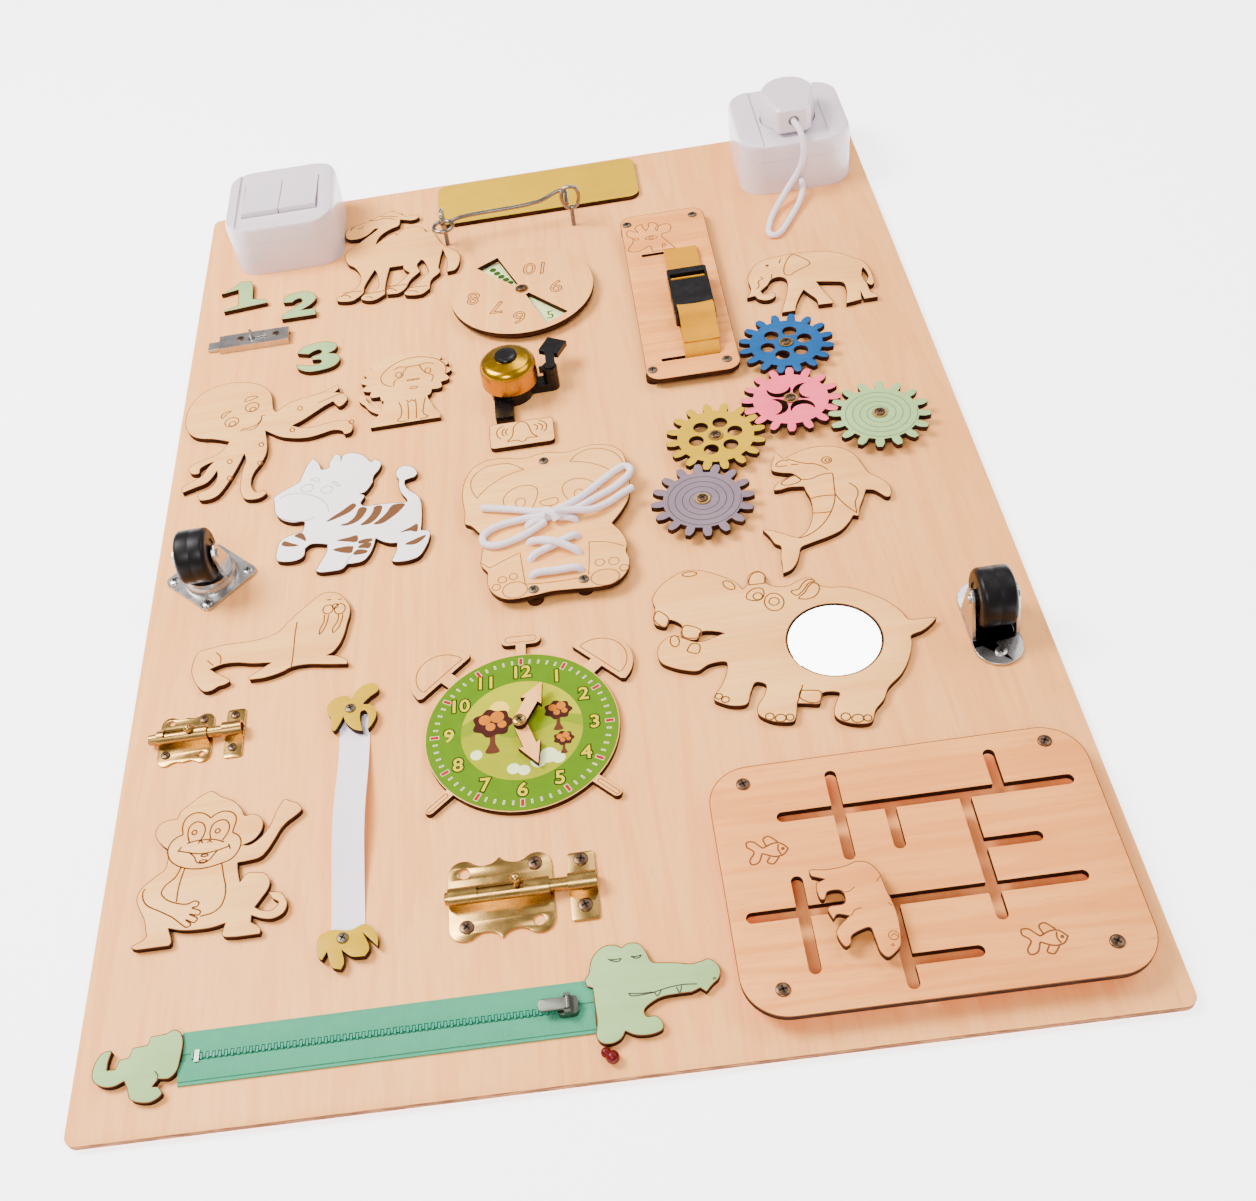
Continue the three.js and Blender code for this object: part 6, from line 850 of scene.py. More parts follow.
# Toothed wheels: five laser-cut birch wheels of sixteen teeth in mesh, painted on their faces,
# each turning on a bush and held by one screw.
TEETH, PITCH_R, ROOT_R, TIP_R, GEAR_BACKLASH = 16, 28.0, 23.5, 30.6, 1.0
PINK_X, PINK_Y, PINK_PHASE = 149.7, 48.9, 14.0
HOLE_RING_R, HOLE_R, CRESCENT_RING_R, CRESCENT_R, CRESCENT_SHIFT = 12.4, 4.6, 11.5, 7.5, 4.0
SPIRAL_IN, SPIRAL_GROWS, SPIRAL_TURNS = 5.6, 17.2, 4
blue_paint = painted("blue_paint", (0.008, 0.08, 0.245), (0.006, 0.058, 0.18))
pink_paint = painted("pink_paint", (0.95, 0.115, 0.20), (0.85, 0.09, 0.16))
lilac_paint = painted("lilac_paint", (0.21, 0.15, 0.18), (0.16, 0.11, 0.135))


def toothed(x, y, phase):
    """Involute flanks between root and tip: the half width of a tooth falls with the roll angle."""
    base = PITCH_R * math.cos(math.radians(20))

    def roll(r):
        t = np.sqrt(np.maximum((r / base) ** 2 - 1, 0))
        return t - np.arctan(t)
    r = np.linspace(ROOT_R, TIP_R, 6)
    half = math.tau / TEETH / 4 - GEAR_BACKLASH / PITCH_R / 4 + roll(np.array(PITCH_R)) - roll(np.maximum(r, base))
    middle = np.radians(phase) + np.arange(TEETH)[:, None] * math.tau / TEETH
    r_all = np.concatenate([r, r[::-1]])
    turn_all = np.concatenate([-half, half[::-1]])
    a = (middle + turn_all[None, :]).ravel()
    r_all = np.tile(r_all, TEETH)
    return np.stack([x + r_all * np.cos(a), y + r_all * np.sin(a)], 1)


def crescent(x, y, turned):
    """One circle less another one shifted: the outer arc back along the inner arc."""
    r, shift = CRESCENT_R, CRESCENT_SHIFT
    lean = turned - math.pi / 6
    c, d = np.array((x, y)), np.array((x + shift * math.cos(lean), y + shift * math.sin(lean)))
    half = math.acos(shift / 2 / r)
    outer = arc(*c, r, math.degrees(lean + half), math.degrees(lean + math.tau - half), 20)
    inner = arc(*d, r, math.degrees(lean + math.pi + half), math.degrees(lean + math.pi - half), 14)
    return np.vstack([outer, inner[1:-1]])


def mate(x, y, phase, toward):
    """The place and phase of a wheel in mesh with another one, in a given direction from it."""
    a = math.radians(toward)
    return x + 2 * PITCH_R * math.cos(a), y + 2 * PITCH_R * math.sin(a), 2 * toward + 180 + 180 / TEETH - phase


blue_at = mate(PINK_X, PINK_Y, PINK_PHASE, 82.9)
mint_at = mate(PINK_X, PINK_Y, PINK_PHASE, -27.0)
yellow_at = mate(PINK_X, PINK_Y, PINK_PHASE, -154.4)
grey_at = mate(*yellow_at, -106.0)
wheels = (
    ("blue", blue_at, blue_paint, "holes", "blue_wood"),
    ("pink", (PINK_X, PINK_Y, PINK_PHASE), pink_paint, "crescents", "pink_wood"),
    ("mint", mint_at, mint_paint, "spiral", "mint_wood"),
    ("yellow", yellow_at, yellow_paint, "holes", "yellow_wood"),
    ("grey", grey_at, lilac_paint, "spiral", "lilac_wood"),
)
for title, (x, y, phase), made, pattern, slot in wheels:
    body = f"gear_{title}_body"
    rings = [toothed(x, y, phase), circle(x, y, AXLE_HOLE_R, 24)]
    if pattern == "holes":
        rings += [circle(hx, hy, HOLE_R, 28) for hx, hy in arc(x, y, HOLE_RING_R, 10, 310, 5)]
    if pattern == "crescents":
        for a in np.arange(4) * math.pi / 2 - math.pi / 3:
            rings.append(crescent(x + CRESCENT_RING_R * math.cos(a), y + CRESCENT_RING_R * math.sin(a), a))
    sheet_piece(f"wheel_{title}", rings, GEAR_SEAT, PLY, (made, scorched), body=body, nodes=[f"gear_{title}"],
                slot=slot)
    pivot(f"wheel_pivot_{title}", x, y, GEAR_SEAT, FACE)
    if pattern == "spiral":
        a = np.linspace(0, SPIRAL_TURNS * math.tau, 97)
        r = SPIRAL_IN + SPIRAL_GROWS * a / a[-1]
        line = np.stack([x + r * np.cos(a), y + r * np.sin(a)], 1)
        ink_made = ink_line if title == "grey" else mint_line
        marks(f"spiral_{title}", [line], GEAR_SEAT + PLY, ink_made, width=0.5, body=body, slot=slot)

# Switch and socket: white surface boxes of glossy moulded plastic, each a base screwed to the
# board with a rounded cover on it; two rockers in one, an earthed insert and its plug in the other.


FLAT_WITHIN, EDGE_ABOVE = 0.6, 28.0


def refined(name, source, made, soft, segments=2, body="panel"):
    """A copy of a CAD node's solid with its flat faces joined again and its edges rounded off."""
    mesh = bpy.data.objects[source].data.copy()
    mesh.name = name
    work = bmesh.new()
    work.from_mesh(mesh)
    bmesh.ops.remove_doubles(work, verts=work.verts, dist=1e-6)
    bmesh.ops.dissolve_limit(work, angle_limit=math.radians(FLAT_WITHIN), verts=work.verts, edges=work.edges)
    work.to_mesh(mesh)
    work.free()
    mesh.materials.clear()
    mesh.materials.append(made)
    obj = settle(name, mesh, body, [source])
    rounding = obj.modifiers.new("rim", "BEVEL")
    rounding.width = soft * MM
    rounding.segments = segments
    rounding.limit_method = "ANGLE"
    rounding.angle_limit = math.radians(EDGE_ABOVE)
    level = obj.modifiers.new("level", "WEIGHTED_NORMAL")
    level.keep_sharp = True
    shaded(obj.data, 180)
    final = evaluated(obj)
    obj.modifiers.clear()
    obj.data = final
    return obj


for name, source, soft, segments, body in (
    ("switch_base", "switch_box", 0.5, 2, "panel"), ("switch_front", "switch_cover", 0.5, 2, "panel"),
    ("rocker_one", "rocker_left", 0.7, 3, "rocker_left_body"),
    ("rocker_two", "rocker_right", 0.7, 3, "rocker_right_body"),
    ("socket_base", "socket_box", 0.5, 2, "panel"), ("socket_front", "socket_cover", 0.5, 2, "panel"),
    ("plug_shell", "plug", 0.7, 3, "plug_body"),
):
    refined(name, source, white_plastic, soft, segments, body)

# Screw eyes and the cabin hook: zinc plated wire, screwed into the board, one holding the hook's
# ring and the other catching its tip.
WIRE_D = 2.8


def bar(name, points, diameter, made, body="panel", nodes=(), slot="steel", closed=False):
    """A round bar swept along a bent line: rings square to it, turned least from one to the next."""
    sides = 14
    line = bend(points, 6, closed)
    along = np.gradient(line, axis=0)
    if closed:
        along = (np.roll(line, -1, 0) - np.roll(line, 1, 0)) / 2
    along /= np.linalg.norm(along, axis=1, keepdims=True)
    side = np.cross(along[0], (0.3, 0.2, 1.0))
    rings = []
    a = np.arange(sides) / sides * math.tau
    for centre, t in zip(line, along):
        side = side - t * np.dot(side, t)
        side /= np.linalg.norm(side)
        rings.append(centre + diameter / 2 * (np.outer(np.cos(a), side) + np.outer(np.sin(a), np.cross(t, side))))
    faces = band(len(line), sides, True) if closed else capped(len(line), sides)
    return welded(name, np.vstack(rings), faces, made, body=body, nodes=nodes, slot=slot, smooth=50)


def thread(name, x, y, low, high, radius, pitch, made):
    """A threaded shank: radius less a sawtooth of the height less the turned share of the pitch."""
    sides, depth = 20, 0.45
    z = np.linspace(low, high, int((high - low) / pitch * 8) + 1)
    a = np.arange(sides) / sides * math.tau
    phase = (z[:, None] / pitch - a[None, :] / math.tau) % 1
    r = radius - depth * np.abs(phase - 0.5) * 2
    grid = np.stack([x + r * np.cos(a), y + r * np.sin(a), np.repeat(z[:, None], sides, 1)], -1)
    return welded(name, grid.reshape(-1, 3), capped(len(z), sides), made, slot="steel", smooth=60)


EYE_W, EYE_H, EYE_SHANK = 12.7, 18.2, 11.0
EYE_RING = pairs("0,0 0.62,0.12 1,0.55 0.72,0.9 0,1 -0.72,0.9 -1,0.55 -0.72,0.2 -0.25,0.06") * (EYE_W / 2, EYE_H)
for title, x, y, lift, across in (("left", -64.1, 289.0, 0.0, "y"), ("right", 31.0, 289.6, 3.0, "x")):
    start = FACE + EYE_SHANK + lift
    ring = [(x + w, y, start + h) if across == "x" else (x, y + w, start + h) for w, h in EYE_RING]
    bar(f"eye_{title}_ring", [(x, y, start - 3)] + ring, WIRE_D, wire_steel, nodes=[f"screw_eye_{title}"])
    thread(f"eye_{title}_shank", x, y, FACE, start - 1, 1.75, 1.5, wire_steel)
HOOK_X, HOOK_Y, HOOK_Z, HOOK_R, HOOK_D = -64.1, 282.65, 24.0, 7.0, 3.0
HOOK_TIP_X, HOOK_OUT_Y, HOOK_TIP_Z = 28.15, 300.1, HOOK_Z + 4
hook_ring = [(x, y, HOOK_Z) for x, y in arc(HOOK_X, HOOK_Y, HOOK_R, 45, 375, 11)]
hook_line = [
    (HOOK_X + 5.2, HOOK_Y + 5.2, HOOK_Z), (HOOK_X + 14, HOOK_Y + 9.1, HOOK_Z),
    (HOOK_TIP_X - 21, HOOK_OUT_Y - 4, HOOK_Z), (HOOK_TIP_X - 7, HOOK_OUT_Y, HOOK_Z + 3.2),
    (HOOK_TIP_X - 1.5, HOOK_OUT_Y, HOOK_TIP_Z), (HOOK_TIP_X, HOOK_OUT_Y - 3, HOOK_TIP_Z),
    (HOOK_TIP_X, 289.6, HOOK_TIP_Z), (HOOK_TIP_X, 281.0, HOOK_TIP_Z),
]
for name, points, closed in (("hook_ring", hook_ring, True), ("hook_bar", hook_line, False)):
    bar(name, points, HOOK_D, wire_steel, "cabin_hook_body", ["cabin_hook"], closed=closed)

# Bolts: a folded steel case with a flat slider, and two brass barrel bolts with their keepers,
# all screwed to the board.
refined("steel_bolt_shell", "steel_bolt_case", zinc, 0.25)
refined("steel_bolt_tongue", "steel_bolt_slider", zinc, 0.3, 2, "steel_bolt_slider_body")
for i, x in enumerate((-214.0, -188.5)):
    screw(f"steel_bolt_screw_{i + 1}", x, 204.0, FACE + 4.9, 2.5, screw_bronze, height=0.7)
pin_line = [(-205.7, 203.9, FACE + height) for height in (4.0, 7.5, 11.0)]
bar("steel_bolt_pin", pin_line, 2.4, zinc, "steel_bolt_slider_body")
BRASS_T, GAP = 1.2, 0.3


def swept_x(name, ring, x_low, x_high, made, **more):
    """A closed outline in y and z, carried along X between two ends."""
    verts = np.vstack([np.column_stack([np.full(len(ring), x), ring]) for x in (x_low, x_high)])
    return welded(name, verts, capped(2, len(ring)), made, **more)


def rolled(name, y, rod_r, x_low, x_high, open_top=0.0):
    """A barrel rolled up from its plate: an arch over the rod, open at the top by an angle."""
    foot_z = FACE + BRASS_T / 2
    axis_z = FACE + BRASS_T + rod_r + GAP
    inner, outer = rod_r + GAP, rod_r + GAP + BRASS_T
    half = 90 - open_top / 2
    over = arc(y, axis_z, outer, 0, half, 12)
    under = arc(y, axis_z, inner, half, 0, 12)
    near_foot = [(y + inner, foot_z), (y + outer, foot_z)]
    if open_top:
        near = np.vstack([over, under, near_foot])
        for side, ring in (("near", near), ("far", (2 * y, 0) + near * (-1, 1))):
            swept_x(f"{name}_{side}", ring, x_low, x_high, polished_brass, slot="brass")
        return
    far_over, far_under = ((2 * y, 0) + line[::-1] * (-1, 1) for line in (over, under))
    far_foot = [(y - outer, foot_z), (y - inner, foot_z)]
    ring = np.vstack([over, far_over[1:], far_foot, far_under, under[1:], near_foot])
    swept_x(name, ring, x_low, x_high, polished_brass, slot="brass")


def lobed(table, width, height, x, y):
    """One quarter of a plate's outline, mirrored in both ways and run round; the last point of a
    quarter is a cusp on the axis."""
    quarter = np.array(table) * (width, height)
    ends = [quarter, quarter[::-1] * (-1, 1), quarter * (-1, -1), quarter[::-1] * (1, -1)]
    lines = [bend(end, 6) for end in ends]
    return np.vstack([line[:-1] for line in lines]) + (x, y)


LARGE_PLATE = pairs("""
    0.5,0 0.5,0.16 0.5,0.3 0.488,0.39 0.445,0.46 0.37,0.495 0.29,0.48 0.235,0.435 0.17,0.41 0.1,0.42 0.05,0.445
    0,0.5""")
SMALL_PLATE = pairs("""
    0.5,0 0.5,0.18 0.5,0.32 0.475,0.42 0.4,0.485 0.3,0.495 0.21,0.455 0.13,0.435 0.06,0.445 0,0.455""")
# Each bolt: outline, width, height, middle, rod radius, the ends of its three barrels, the rod's
# ends, its knob (x, neck, ball and height), its screw holes (radius, places), its keeper's ends
# and height, and its screws (radius, places)
BOLTS = {
    "small": (SMALL_PLATE, 30.0, 33.5, -217.0, -150.6, 3.0, (-231.0, -227.4, -210.5, -203.5), (-236.5, -186.0),
              (-213.0, 1.8, 2.6, 2.4), (1.8, "-226,-138 -207.2,-161.7"), (-195.0, -184.5, 33.0),
              (2.5, "-208,-138.3 -227.2,-160 -190.3,-138.3 -190.3,-160.6")),
    "large": (LARGE_PLATE, 51.5, 45.0, -48.2, -274.5, 3.3, (-73.0, -59.0, -36.0, -24.0), (-75.0, -2.0),
              (-39.0, 1.6, 2.8, 7.0), (2.9, "-65.8,-259.5 -30.4,-290"), (-15.0, -1.2, 38.0),
              (3.6, "-30.7,-258.5 -65.4,-289.3 -8.2,-259.8 -8,-285.4")),
}
brass = (polished_brass, polished_brass)
for title, (table, width, height, x, y, rod_r, barrel, rod, knob, holes, keeper, _) in BOLTS.items():
    hole_rings = [circle(*hole, holes[0], 28) for hole in pairs(holes[1])]
    sheet_piece(f"{title}_bolt_sheet", [lobed(table, width, height, x, y)] + hole_rings, FACE, BRASS_T, brass,
                nodes=[f"{title}_bolt_plate"], slot="brass", soft=0.3)
    rolled(f"{title}_barrel_left", y, rod_r, barrel[0], barrel[1])
    rolled(f"{title}_barrel_slot", y, rod_r, barrel[1], barrel[2], open_top=70.0)
    rolled(f"{title}_barrel_right", y, rod_r, barrel[2], barrel[3])
    catch = rounded(keeper[1] - keeper[0], keeper[2], 2.0, (keeper[0] + keeper[1]) / 2, y, 6)
    sheet_piece(f"{title}_bolt_catch", [catch], FACE, BRASS_T, brass, nodes=[f"{title}_bolt_keeper"], slot="brass",
                soft=0.3)
    rolled(f"{title}_keeper_arch", y, rod_r, keeper[0], keeper[1])
    axis_z = FACE + BRASS_T + rod_r + GAP
    body = f"{title}_bolt_rod_body"
    rod_line = [(0, rod[0]), (rod_r - 0.5, rod[0]), (rod_r, rod[0] + 0.5), (rod_r, rod[1] - 0.8),
                (rod_r - 0.8, rod[1]), (0, rod[1])]
    lathe(f"{title}_bolt_bar", rod_line, (0, y, axis_z), polished_brass, axis="x", sides=32, body=body,
          nodes=[f"{title}_bolt_rod"], slot="brass")
    knob_x, neck_r, ball_r, knob_h = knob
    turns = np.radians(np.linspace(-50, 90, 10))
    ball = [(ball_r * math.cos(a) if a < 1.57 else 0, knob_h + rod_r + ball_r * math.sin(a)) for a in turns]
    lathe(f"{title}_bolt_knob", [(0, 0), (neck_r, 0), (neck_r, ball[0][1])] + ball, (knob_x, y, axis_z),
          polished_brass, sides=28, body=body, slot="brass")
for title, (*_, (screw_r, places)) in BOLTS.items():
    for i, (x, y) in enumerate(pairs(places)):
        screw(f"{title}_bolt_screw_{i + 1}", x, y, FACE + BRASS_T, screw_r, screw_bronze, turned=18 + 31 * i,
              slot="brass")

# Casters: black rubber wheels, one in a swivelling steel fork and one in a fixed bracket, both
# screwed to the board.
rubber = moulded("wheel_rubber", (0.004, 0.0034, 0.0036), 0.3, 0.45, 90.0, 0.05, specular=0.14)
black_plastic = moulded("black_plastic", (0.005, 0.0044, 0.0046), 0.2, 0.35, 120.0, 0.05, specular=0.22)
refined("swivel_plate", "caster_plate", zinc, 0.3)
refined("swivel_fork", "caster_fork", zinc, 0.35, 2, "caster_fork_body")
refined("fixed_bracket", "fixed_caster_bracket", zinc, 0.35)
WHEEL_R, WHEEL_HALF = 16.0, 10.0


def caster_wheel(name, node_name, place):
    """A wheel: the tread's profile with round shoulders and a proud hub, turned about X."""
    half, bore, shoulder_r = WHEEL_HALF, 2.7, 3
    shoulder = np.radians(np.linspace(0, 90, 7))
    right = [(WHEEL_R - shoulder_r + shoulder_r * math.cos(t),
              half - 3.6 + shoulder_r * math.sin(t)) for t in shoulder]
    hub = [(9, half - 0.6), (8.5, half - 1.3), (5, half - 1), (5, half), (bore, half)]
    profile = [(bore, -half), (5, -half), (5, -half + 1), (8.5, -half + 1.3), (9, -half + 0.6)]
    profile += [(r, -h) for r, h in right[::-1]] + [(WHEEL_R, -0.5), (WHEEL_R - 0.12, 0), (WHEEL_R, 0.5)]
    lathe(name, profile + right + hub + [(bore, -half)], place, rubber, axis="x", sides=72,
          body=node_name + "_body", nodes=[node_name], slot="black_rubber", smooth=35)


caster_wheel("swivel_wheel", "caster_wheel", (-214.3, -36.0, 32.0))
caster_wheel("fixed_wheel", "fixed_caster_wheel", (221.0, -147.0, 26.0))
for i, (x, y) in enumerate(((-191.8, -27.5), (-214.3, -50.0), (-236.8, -27.5))):
    screw(f"swivel_screw_{i + 1}", x, y, FACE + 2, 3.2, zinc, turned=25 * i)
screw("fixed_bracket_screw", 221, -168.5, FACE + 2, 3.2, zinc)

# Bicycle bell: a polished gold dome over a black plastic clamp that is screwed to the board, with
# a black cap in its middle and a thumb lever at its side.
polished_gold = metal("polished_gold", (0.44, 0.225, 0.002), 0.2, 0.3, 120.0, 0.003)
BELL_X, BELL_Y, DOME_R, DOME_LOW, DOME_HIGH, DOME_WALL = -24.0, 104.5, 18.3, 12.0, 18.6, 1.2
DOME_ROUND, DOME_CROWN, DOME_MID, DOME_HOLE = 6.0, 1.5, 7.8, 2.8
BRIM_Z, DOME_TOP = FACE + DOME_LOW, FACE + DOME_LOW + DOME_HIGH


def cup_line(radius, top):
    """The bell's profile: an upright wall, a round shoulder and a slightly crowned top."""
    turns = np.radians(np.linspace(0, 90, 10))
    shoulder = [(radius - DOME_ROUND * (1 - math.cos(t)),
                 top - DOME_CROWN - DOME_ROUND * (1 - math.sin(t))) for t in turns]
    return [(radius, BRIM_Z), *shoulder, (DOME_MID, top)]


outer = cup_line(DOME_R, DOME_TOP)
inner = cup_line(DOME_R - DOME_WALL, DOME_TOP - DOME_WALL)
brim = [(DOME_R + 0.35, BRIM_Z + 0.2), (DOME_R + 0.35, BRIM_Z + 1.1)]
hole = [(DOME_HOLE, DOME_TOP), (DOME_HOLE, DOME_TOP - DOME_WALL)]
lathe("bell_cup", brim + outer[1:] + hole + inner[::-1] + brim[:1], (BELL_X, BELL_Y, 0), polished_gold, sides=96,
      nodes=["bell_dome"], slot="gold", smooth=45)
refined("bell_clamp", "bell_base", black_plastic, 0.4, 2)
refined("bell_thumb_lever", "bell_lever", black_plastic, 0.6, 3, "bell_lever_body")
cap = [(0, -0.6), (7.4, -0.6), (7.4, 1.2), (6.9, 1.7), (5.9, 1.7), (5.6, 1.3), (5.3, 1.7), (0, 2.2)]
lathe("bell_cap", cap, (BELL_X, BELL_Y, DOME_TOP), black_plastic, slot="black_plastic")

# Clock: one laser-cut sheet with two bells, a button and legs; the round dial is printed, with a
# landscape in its middle, and two arrow hands turn on a screw.
CLOCK_X, CLOCK_Y, DIAL_R, CLOCK_TURN = -32.6, -177.3, 51.8, -2.4
UPRIGHT = 90 + CLOCK_TURN


def turned_about(points, x, y, degrees):
    """Points drawn along +X from the origin, turned and set at a place."""
    a = math.radians(degrees)
    p = np.asarray(points, float)
    return np.stack([x + p[:, 0] * math.cos(a) - p[:, 1] * math.sin(a),
                     y + p[:, 0] * math.sin(a) + p[:, 1] * math.cos(a)], 1)


def on_dial(points, turn):
    return turned_about(points, CLOCK_X, CLOCK_Y, turn)


def joined(ring):
    """A ring with its first point again at its end."""
    return np.vstack([ring, ring[:1]])


clock_wood = (wheel_wood, scorched)


def clock_sheet(name, points, turn, lower=0.0, **more):
    """A cut part of the clock, drawn along +X and turned about the middle of its dial."""
    sheet_piece(name, [on_dial(points, turn)], FACE, PLY - lower, clock_wood, nodes=["clock_body"], **more)


def clock_line(name, ring, turn, width=0.4):
    marks(name, [on_dial(joined(ring), turn)], TOP, engraved_soft, width=width)


for title, side in (("left", 1), ("right", -1)):
    above, below = UPRIGHT + side * 45.5, UPRIGHT + 180 + side * 46.5
    clock_sheet(f"clock_bell_{title}", np.vstack([arc(58, 0, 20, -86, 86, 28), [(58, 18)], [(58, -18)]]), above)
    clock_sheet(f"clock_neck_{title}", rounded(10, 8, 0.5, 54.5), above, 0.02)
    inset = np.vstack([arc(60.5, 0, 15, -84, 84, 20), [(60.5, 14.9)], [(60.5, -14.9)]])
    clock_line(f"clock_bell_line_{title}", inset, above, 0.5)
    clock_sheet(f"clock_leg_{title}", rounded(20, 5.2, 2.6, 58.5), below, 0.02)
    clock_line(f"clock_leg_line_{title}", rounded(14, 2.2, 1.1, 60.5), below)
clock_sheet("clock_button", rounded(7.7, 22.3, 3.85, 63), UPRIGHT)
clock_sheet("clock_stem", rounded(12, 5.5, 0.5, 55), UPRIGHT, 0.02)
clock_line("clock_button_line", rounded(4.2, 17.5, 2.1, 63), UPRIGHT)
clock_sheet("clock_dial", circle(0, 0, DIAL_R, 144), 0, slot="green_wood")


def printed(name, colour, deep=None):
    """Glossy ink on paper: an even colour with a faint screen of darker specks."""
    made = material(name, colour, roughness=0.35, coat=0.05)
    tree = made.node_tree
    specks = ramp(tree, noise(tree, 160.0, 3.0), 0.0, 0.5, 0.4, 0.7)
    put(made, "Base Color", mixed(tree, specks, opaque(colour), opaque(deep) if deep else opaque(colour, 0.85)))
    return made


green_ring_ink = printed("green_ring_ink", (0.085, 0.19, 0.001), (0.07, 0.155, 0.001))
inks = {title: printed(title + "_ink", colour) for title, colour in (
    ("numeral", (0.64, 0.48, 0.0008)), ("outline", (0.012, 0.034, 0.001)), ("red", (0.36, 0.010, 0.006)),
    ("pale", (0.78, 0.66, 0.42)), ("sky", (0.40, 0.40, 0.0015)), ("hill_far", (0.20, 0.27, 0.001)),
    ("hill_near", (0.30, 0.32, 0.0015)), ("bush", (0.80, 0.86, 0.42)), ("trunk", (0.10, 0.028, 0.012)),
    ("leaf", (0.045, 0.009, 0.006)), ("lit_leaf", (0.52, 0.15, 0.004)), ("sun", (0.90, 0.62, 0.05)))}
INK, INK_LEVEL = 0.06, 0.03


def stained(name, rings, top, made):
    """A printed or stained field: a very thin sheet lying in a face."""
    mesh = flat_mesh(rings, top - INK / 2, INK, soft=0.01)
    mesh.materials.append(made)
    return settle(name, mesh)


def ink(name, rings, level, made):
    """A field of the dial's picture, each level over the one below."""
    return stained(name, rings, TOP + level * INK_LEVEL, made)


def dial(points):
    """A ring of the picture, given from the middle of the dial."""
    return [on_dial(points, UPRIGHT - 90)]


PICTURE_R = 32.5
ink("dial_ring", [circle(CLOCK_X, CLOCK_Y, DIAL_R - 0.5, 144), circle(CLOCK_X, CLOCK_Y, PICTURE_R, 96)], 0,
    green_ring_ink)


def field(top_line):
    """The part of the picture's circle that lies below a line given from left to right."""
    line = bend(top_line, 6)
    left = math.degrees(math.atan2(line[0][1], line[0][0])) % 360
    right = math.degrees(math.atan2(line[-1][1], line[-1][0])) % 360
    if right < left:
        right += 360
    return dial(np.vstack([arc(0, 0, PICTURE_R, left, right, 40), line[::-1][1:-1]]))


def soft_ring(points, steps):
    return dial(bend(points, steps, closed=True))


ink("picture_sky", [circle(CLOCK_X, CLOCK_Y, PICTURE_R, 96)], 0, inks["sky"])
ink("picture_sun", dial(circle(-12, 15, 5.5, 28)), 1, inks["sun"])
ink("picture_far_hills", field(pairs("-31.8,6.5 -22,11 -10,5 3,9 14,13 24,8 31.8,6")), 1, inks["hill_far"])
ink("picture_near_hills", field(pairs("-32.4,-2 -20,1 -6,-5 8,-2 20,2.5 32.4,-1.5")), 2, inks["hill_near"])
TRUNK = pairs("-0.12,0 -0.14,-1.2 -0.34,-1.75 0.34,-1.75 0.14,-1.2 0.12,0")
for i, (x, y, size) in enumerate(((-15.5, 6.0, 11.0), (19.5, 10.5, 7.5), (22.0, -8.5, 5.5))):
    ink(f"picture_trunk_{i + 1}", soft_ring(TRUNK * size + (x, y), 5), 3, inks["trunk"])
    t = np.radians(np.arange(0, 360, 12))
    lobes = 1 + 0.10 * np.cos(7 * t)
    crown = np.stack([0.95 * np.cos(t) * lobes, 0.8 * np.sin(t) * lobes], 1) * size + (x, y)
    ink(f"picture_crown_{i + 1}", soft_ring(crown, 3), 4, inks["leaf"])
    for j, (u, v, r) in enumerate(((-0.38, 0.22, 0.30), (0.22, 0.34, 0.34), (0.46, -0.12, 0.22),
                                   (-0.10, -0.22, 0.24))):
        ink(f"picture_lit_{i + 1}_{j + 1}", dial(circle(x + u * size, y + v * size, r * size, 24)), 5,
            inks["lit_leaf"])
for j, (x, y, r) in enumerate(((8.5, -21.5, 4.2), (14.0, -18.5, 4.8), (19.0, -20.5, 3.6),
                               (-4.5, -25.0, 3.4), (1.0, -26.5, 3.2), (-24.0, -14.0, 3.2))):
    ink(f"picture_bush_{j + 1}", dial(circle(x, y, r, 28)), 3 + j % 2, inks["bush"])
NUMERAL_R, NUMERAL_SIZE = 38.8, 11.5
for hour in range(1, 13):
    a = math.radians(90 - hour * 30 + CLOCK_TURN)
    x, y = CLOCK_X + NUMERAL_R * math.cos(a), CLOCK_Y + NUMERAL_R * math.sin(a)
    for name, raised, made, outlined in (("numeral_edge", 0.05, "outline", 0.95),
                                         ("numeral", 0.09, "numeral", 0.2)):
        digits(f"{name}_{hour}", str(hour), x, y, CLOCK_TURN, NUMERAL_SIZE, TOP + raised, inks[made],
               outlined=outlined)
for kind, made, width, low, high, hourly, raised in (
    ("minute_edge", inks["pale"], 1.05, 45.0, 47.6, False, 0.05),
    ("minute", green_ring_ink, 0.4, 45.5, 47.1, False, 0.08),
    ("hour_edge", inks["pale"], 2.4, 44.1, 49.0, True, 0.05), ("hour", inks["red"], 1.8, 44.4, 48.7, True, 0.08),
):
    turns = [math.radians(UPRIGHT + i * 6) for i in range(60) if (i % 5 == 0) == hourly]
    lines = [[(CLOCK_X + r * math.cos(a), CLOCK_Y + r * math.sin(a)) for r in (low, high)] for a in turns]
    marks(f"dial_{kind}_ticks", lines, TOP + raised, made, width=width, proud=0.02, slot="green_wood")


def hand(name, node_name, bottom, angle):
    """An arrow hand: a round end, straight sides and a broad point."""
    points = np.vstack([arc(0, 0, 3.6, 90, 270, 14), pairs("14.5,-3.6 13.6,-6.25 27.5,0 13.6,6.25 14.5,3.6")])
    sheet_piece(name, [on_dial(points, angle), circle(CLOCK_X, CLOCK_Y, 2.3, 20)], bottom, PLY, clock_wood,
                body=node_name + "_body", nodes=[node_name])


hand_seat = TOP + 0.6
hand("hour_arrow", "hour_hand", hand_seat, -73.5)
hand("minute_arrow", "minute_hand", hand_seat + PLY + 0.3, 61.0)
head_seat = hand_seat + 2 * (PLY + 0.3)
drum("hand_pin", CLOCK_X, CLOCK_Y, 2, FACE, head_seat, dark_steel, 24, slot="steel")
screw("hand_screw", CLOCK_X, CLOCK_Y, head_seat, 3.4, polished_brass, turned=30)

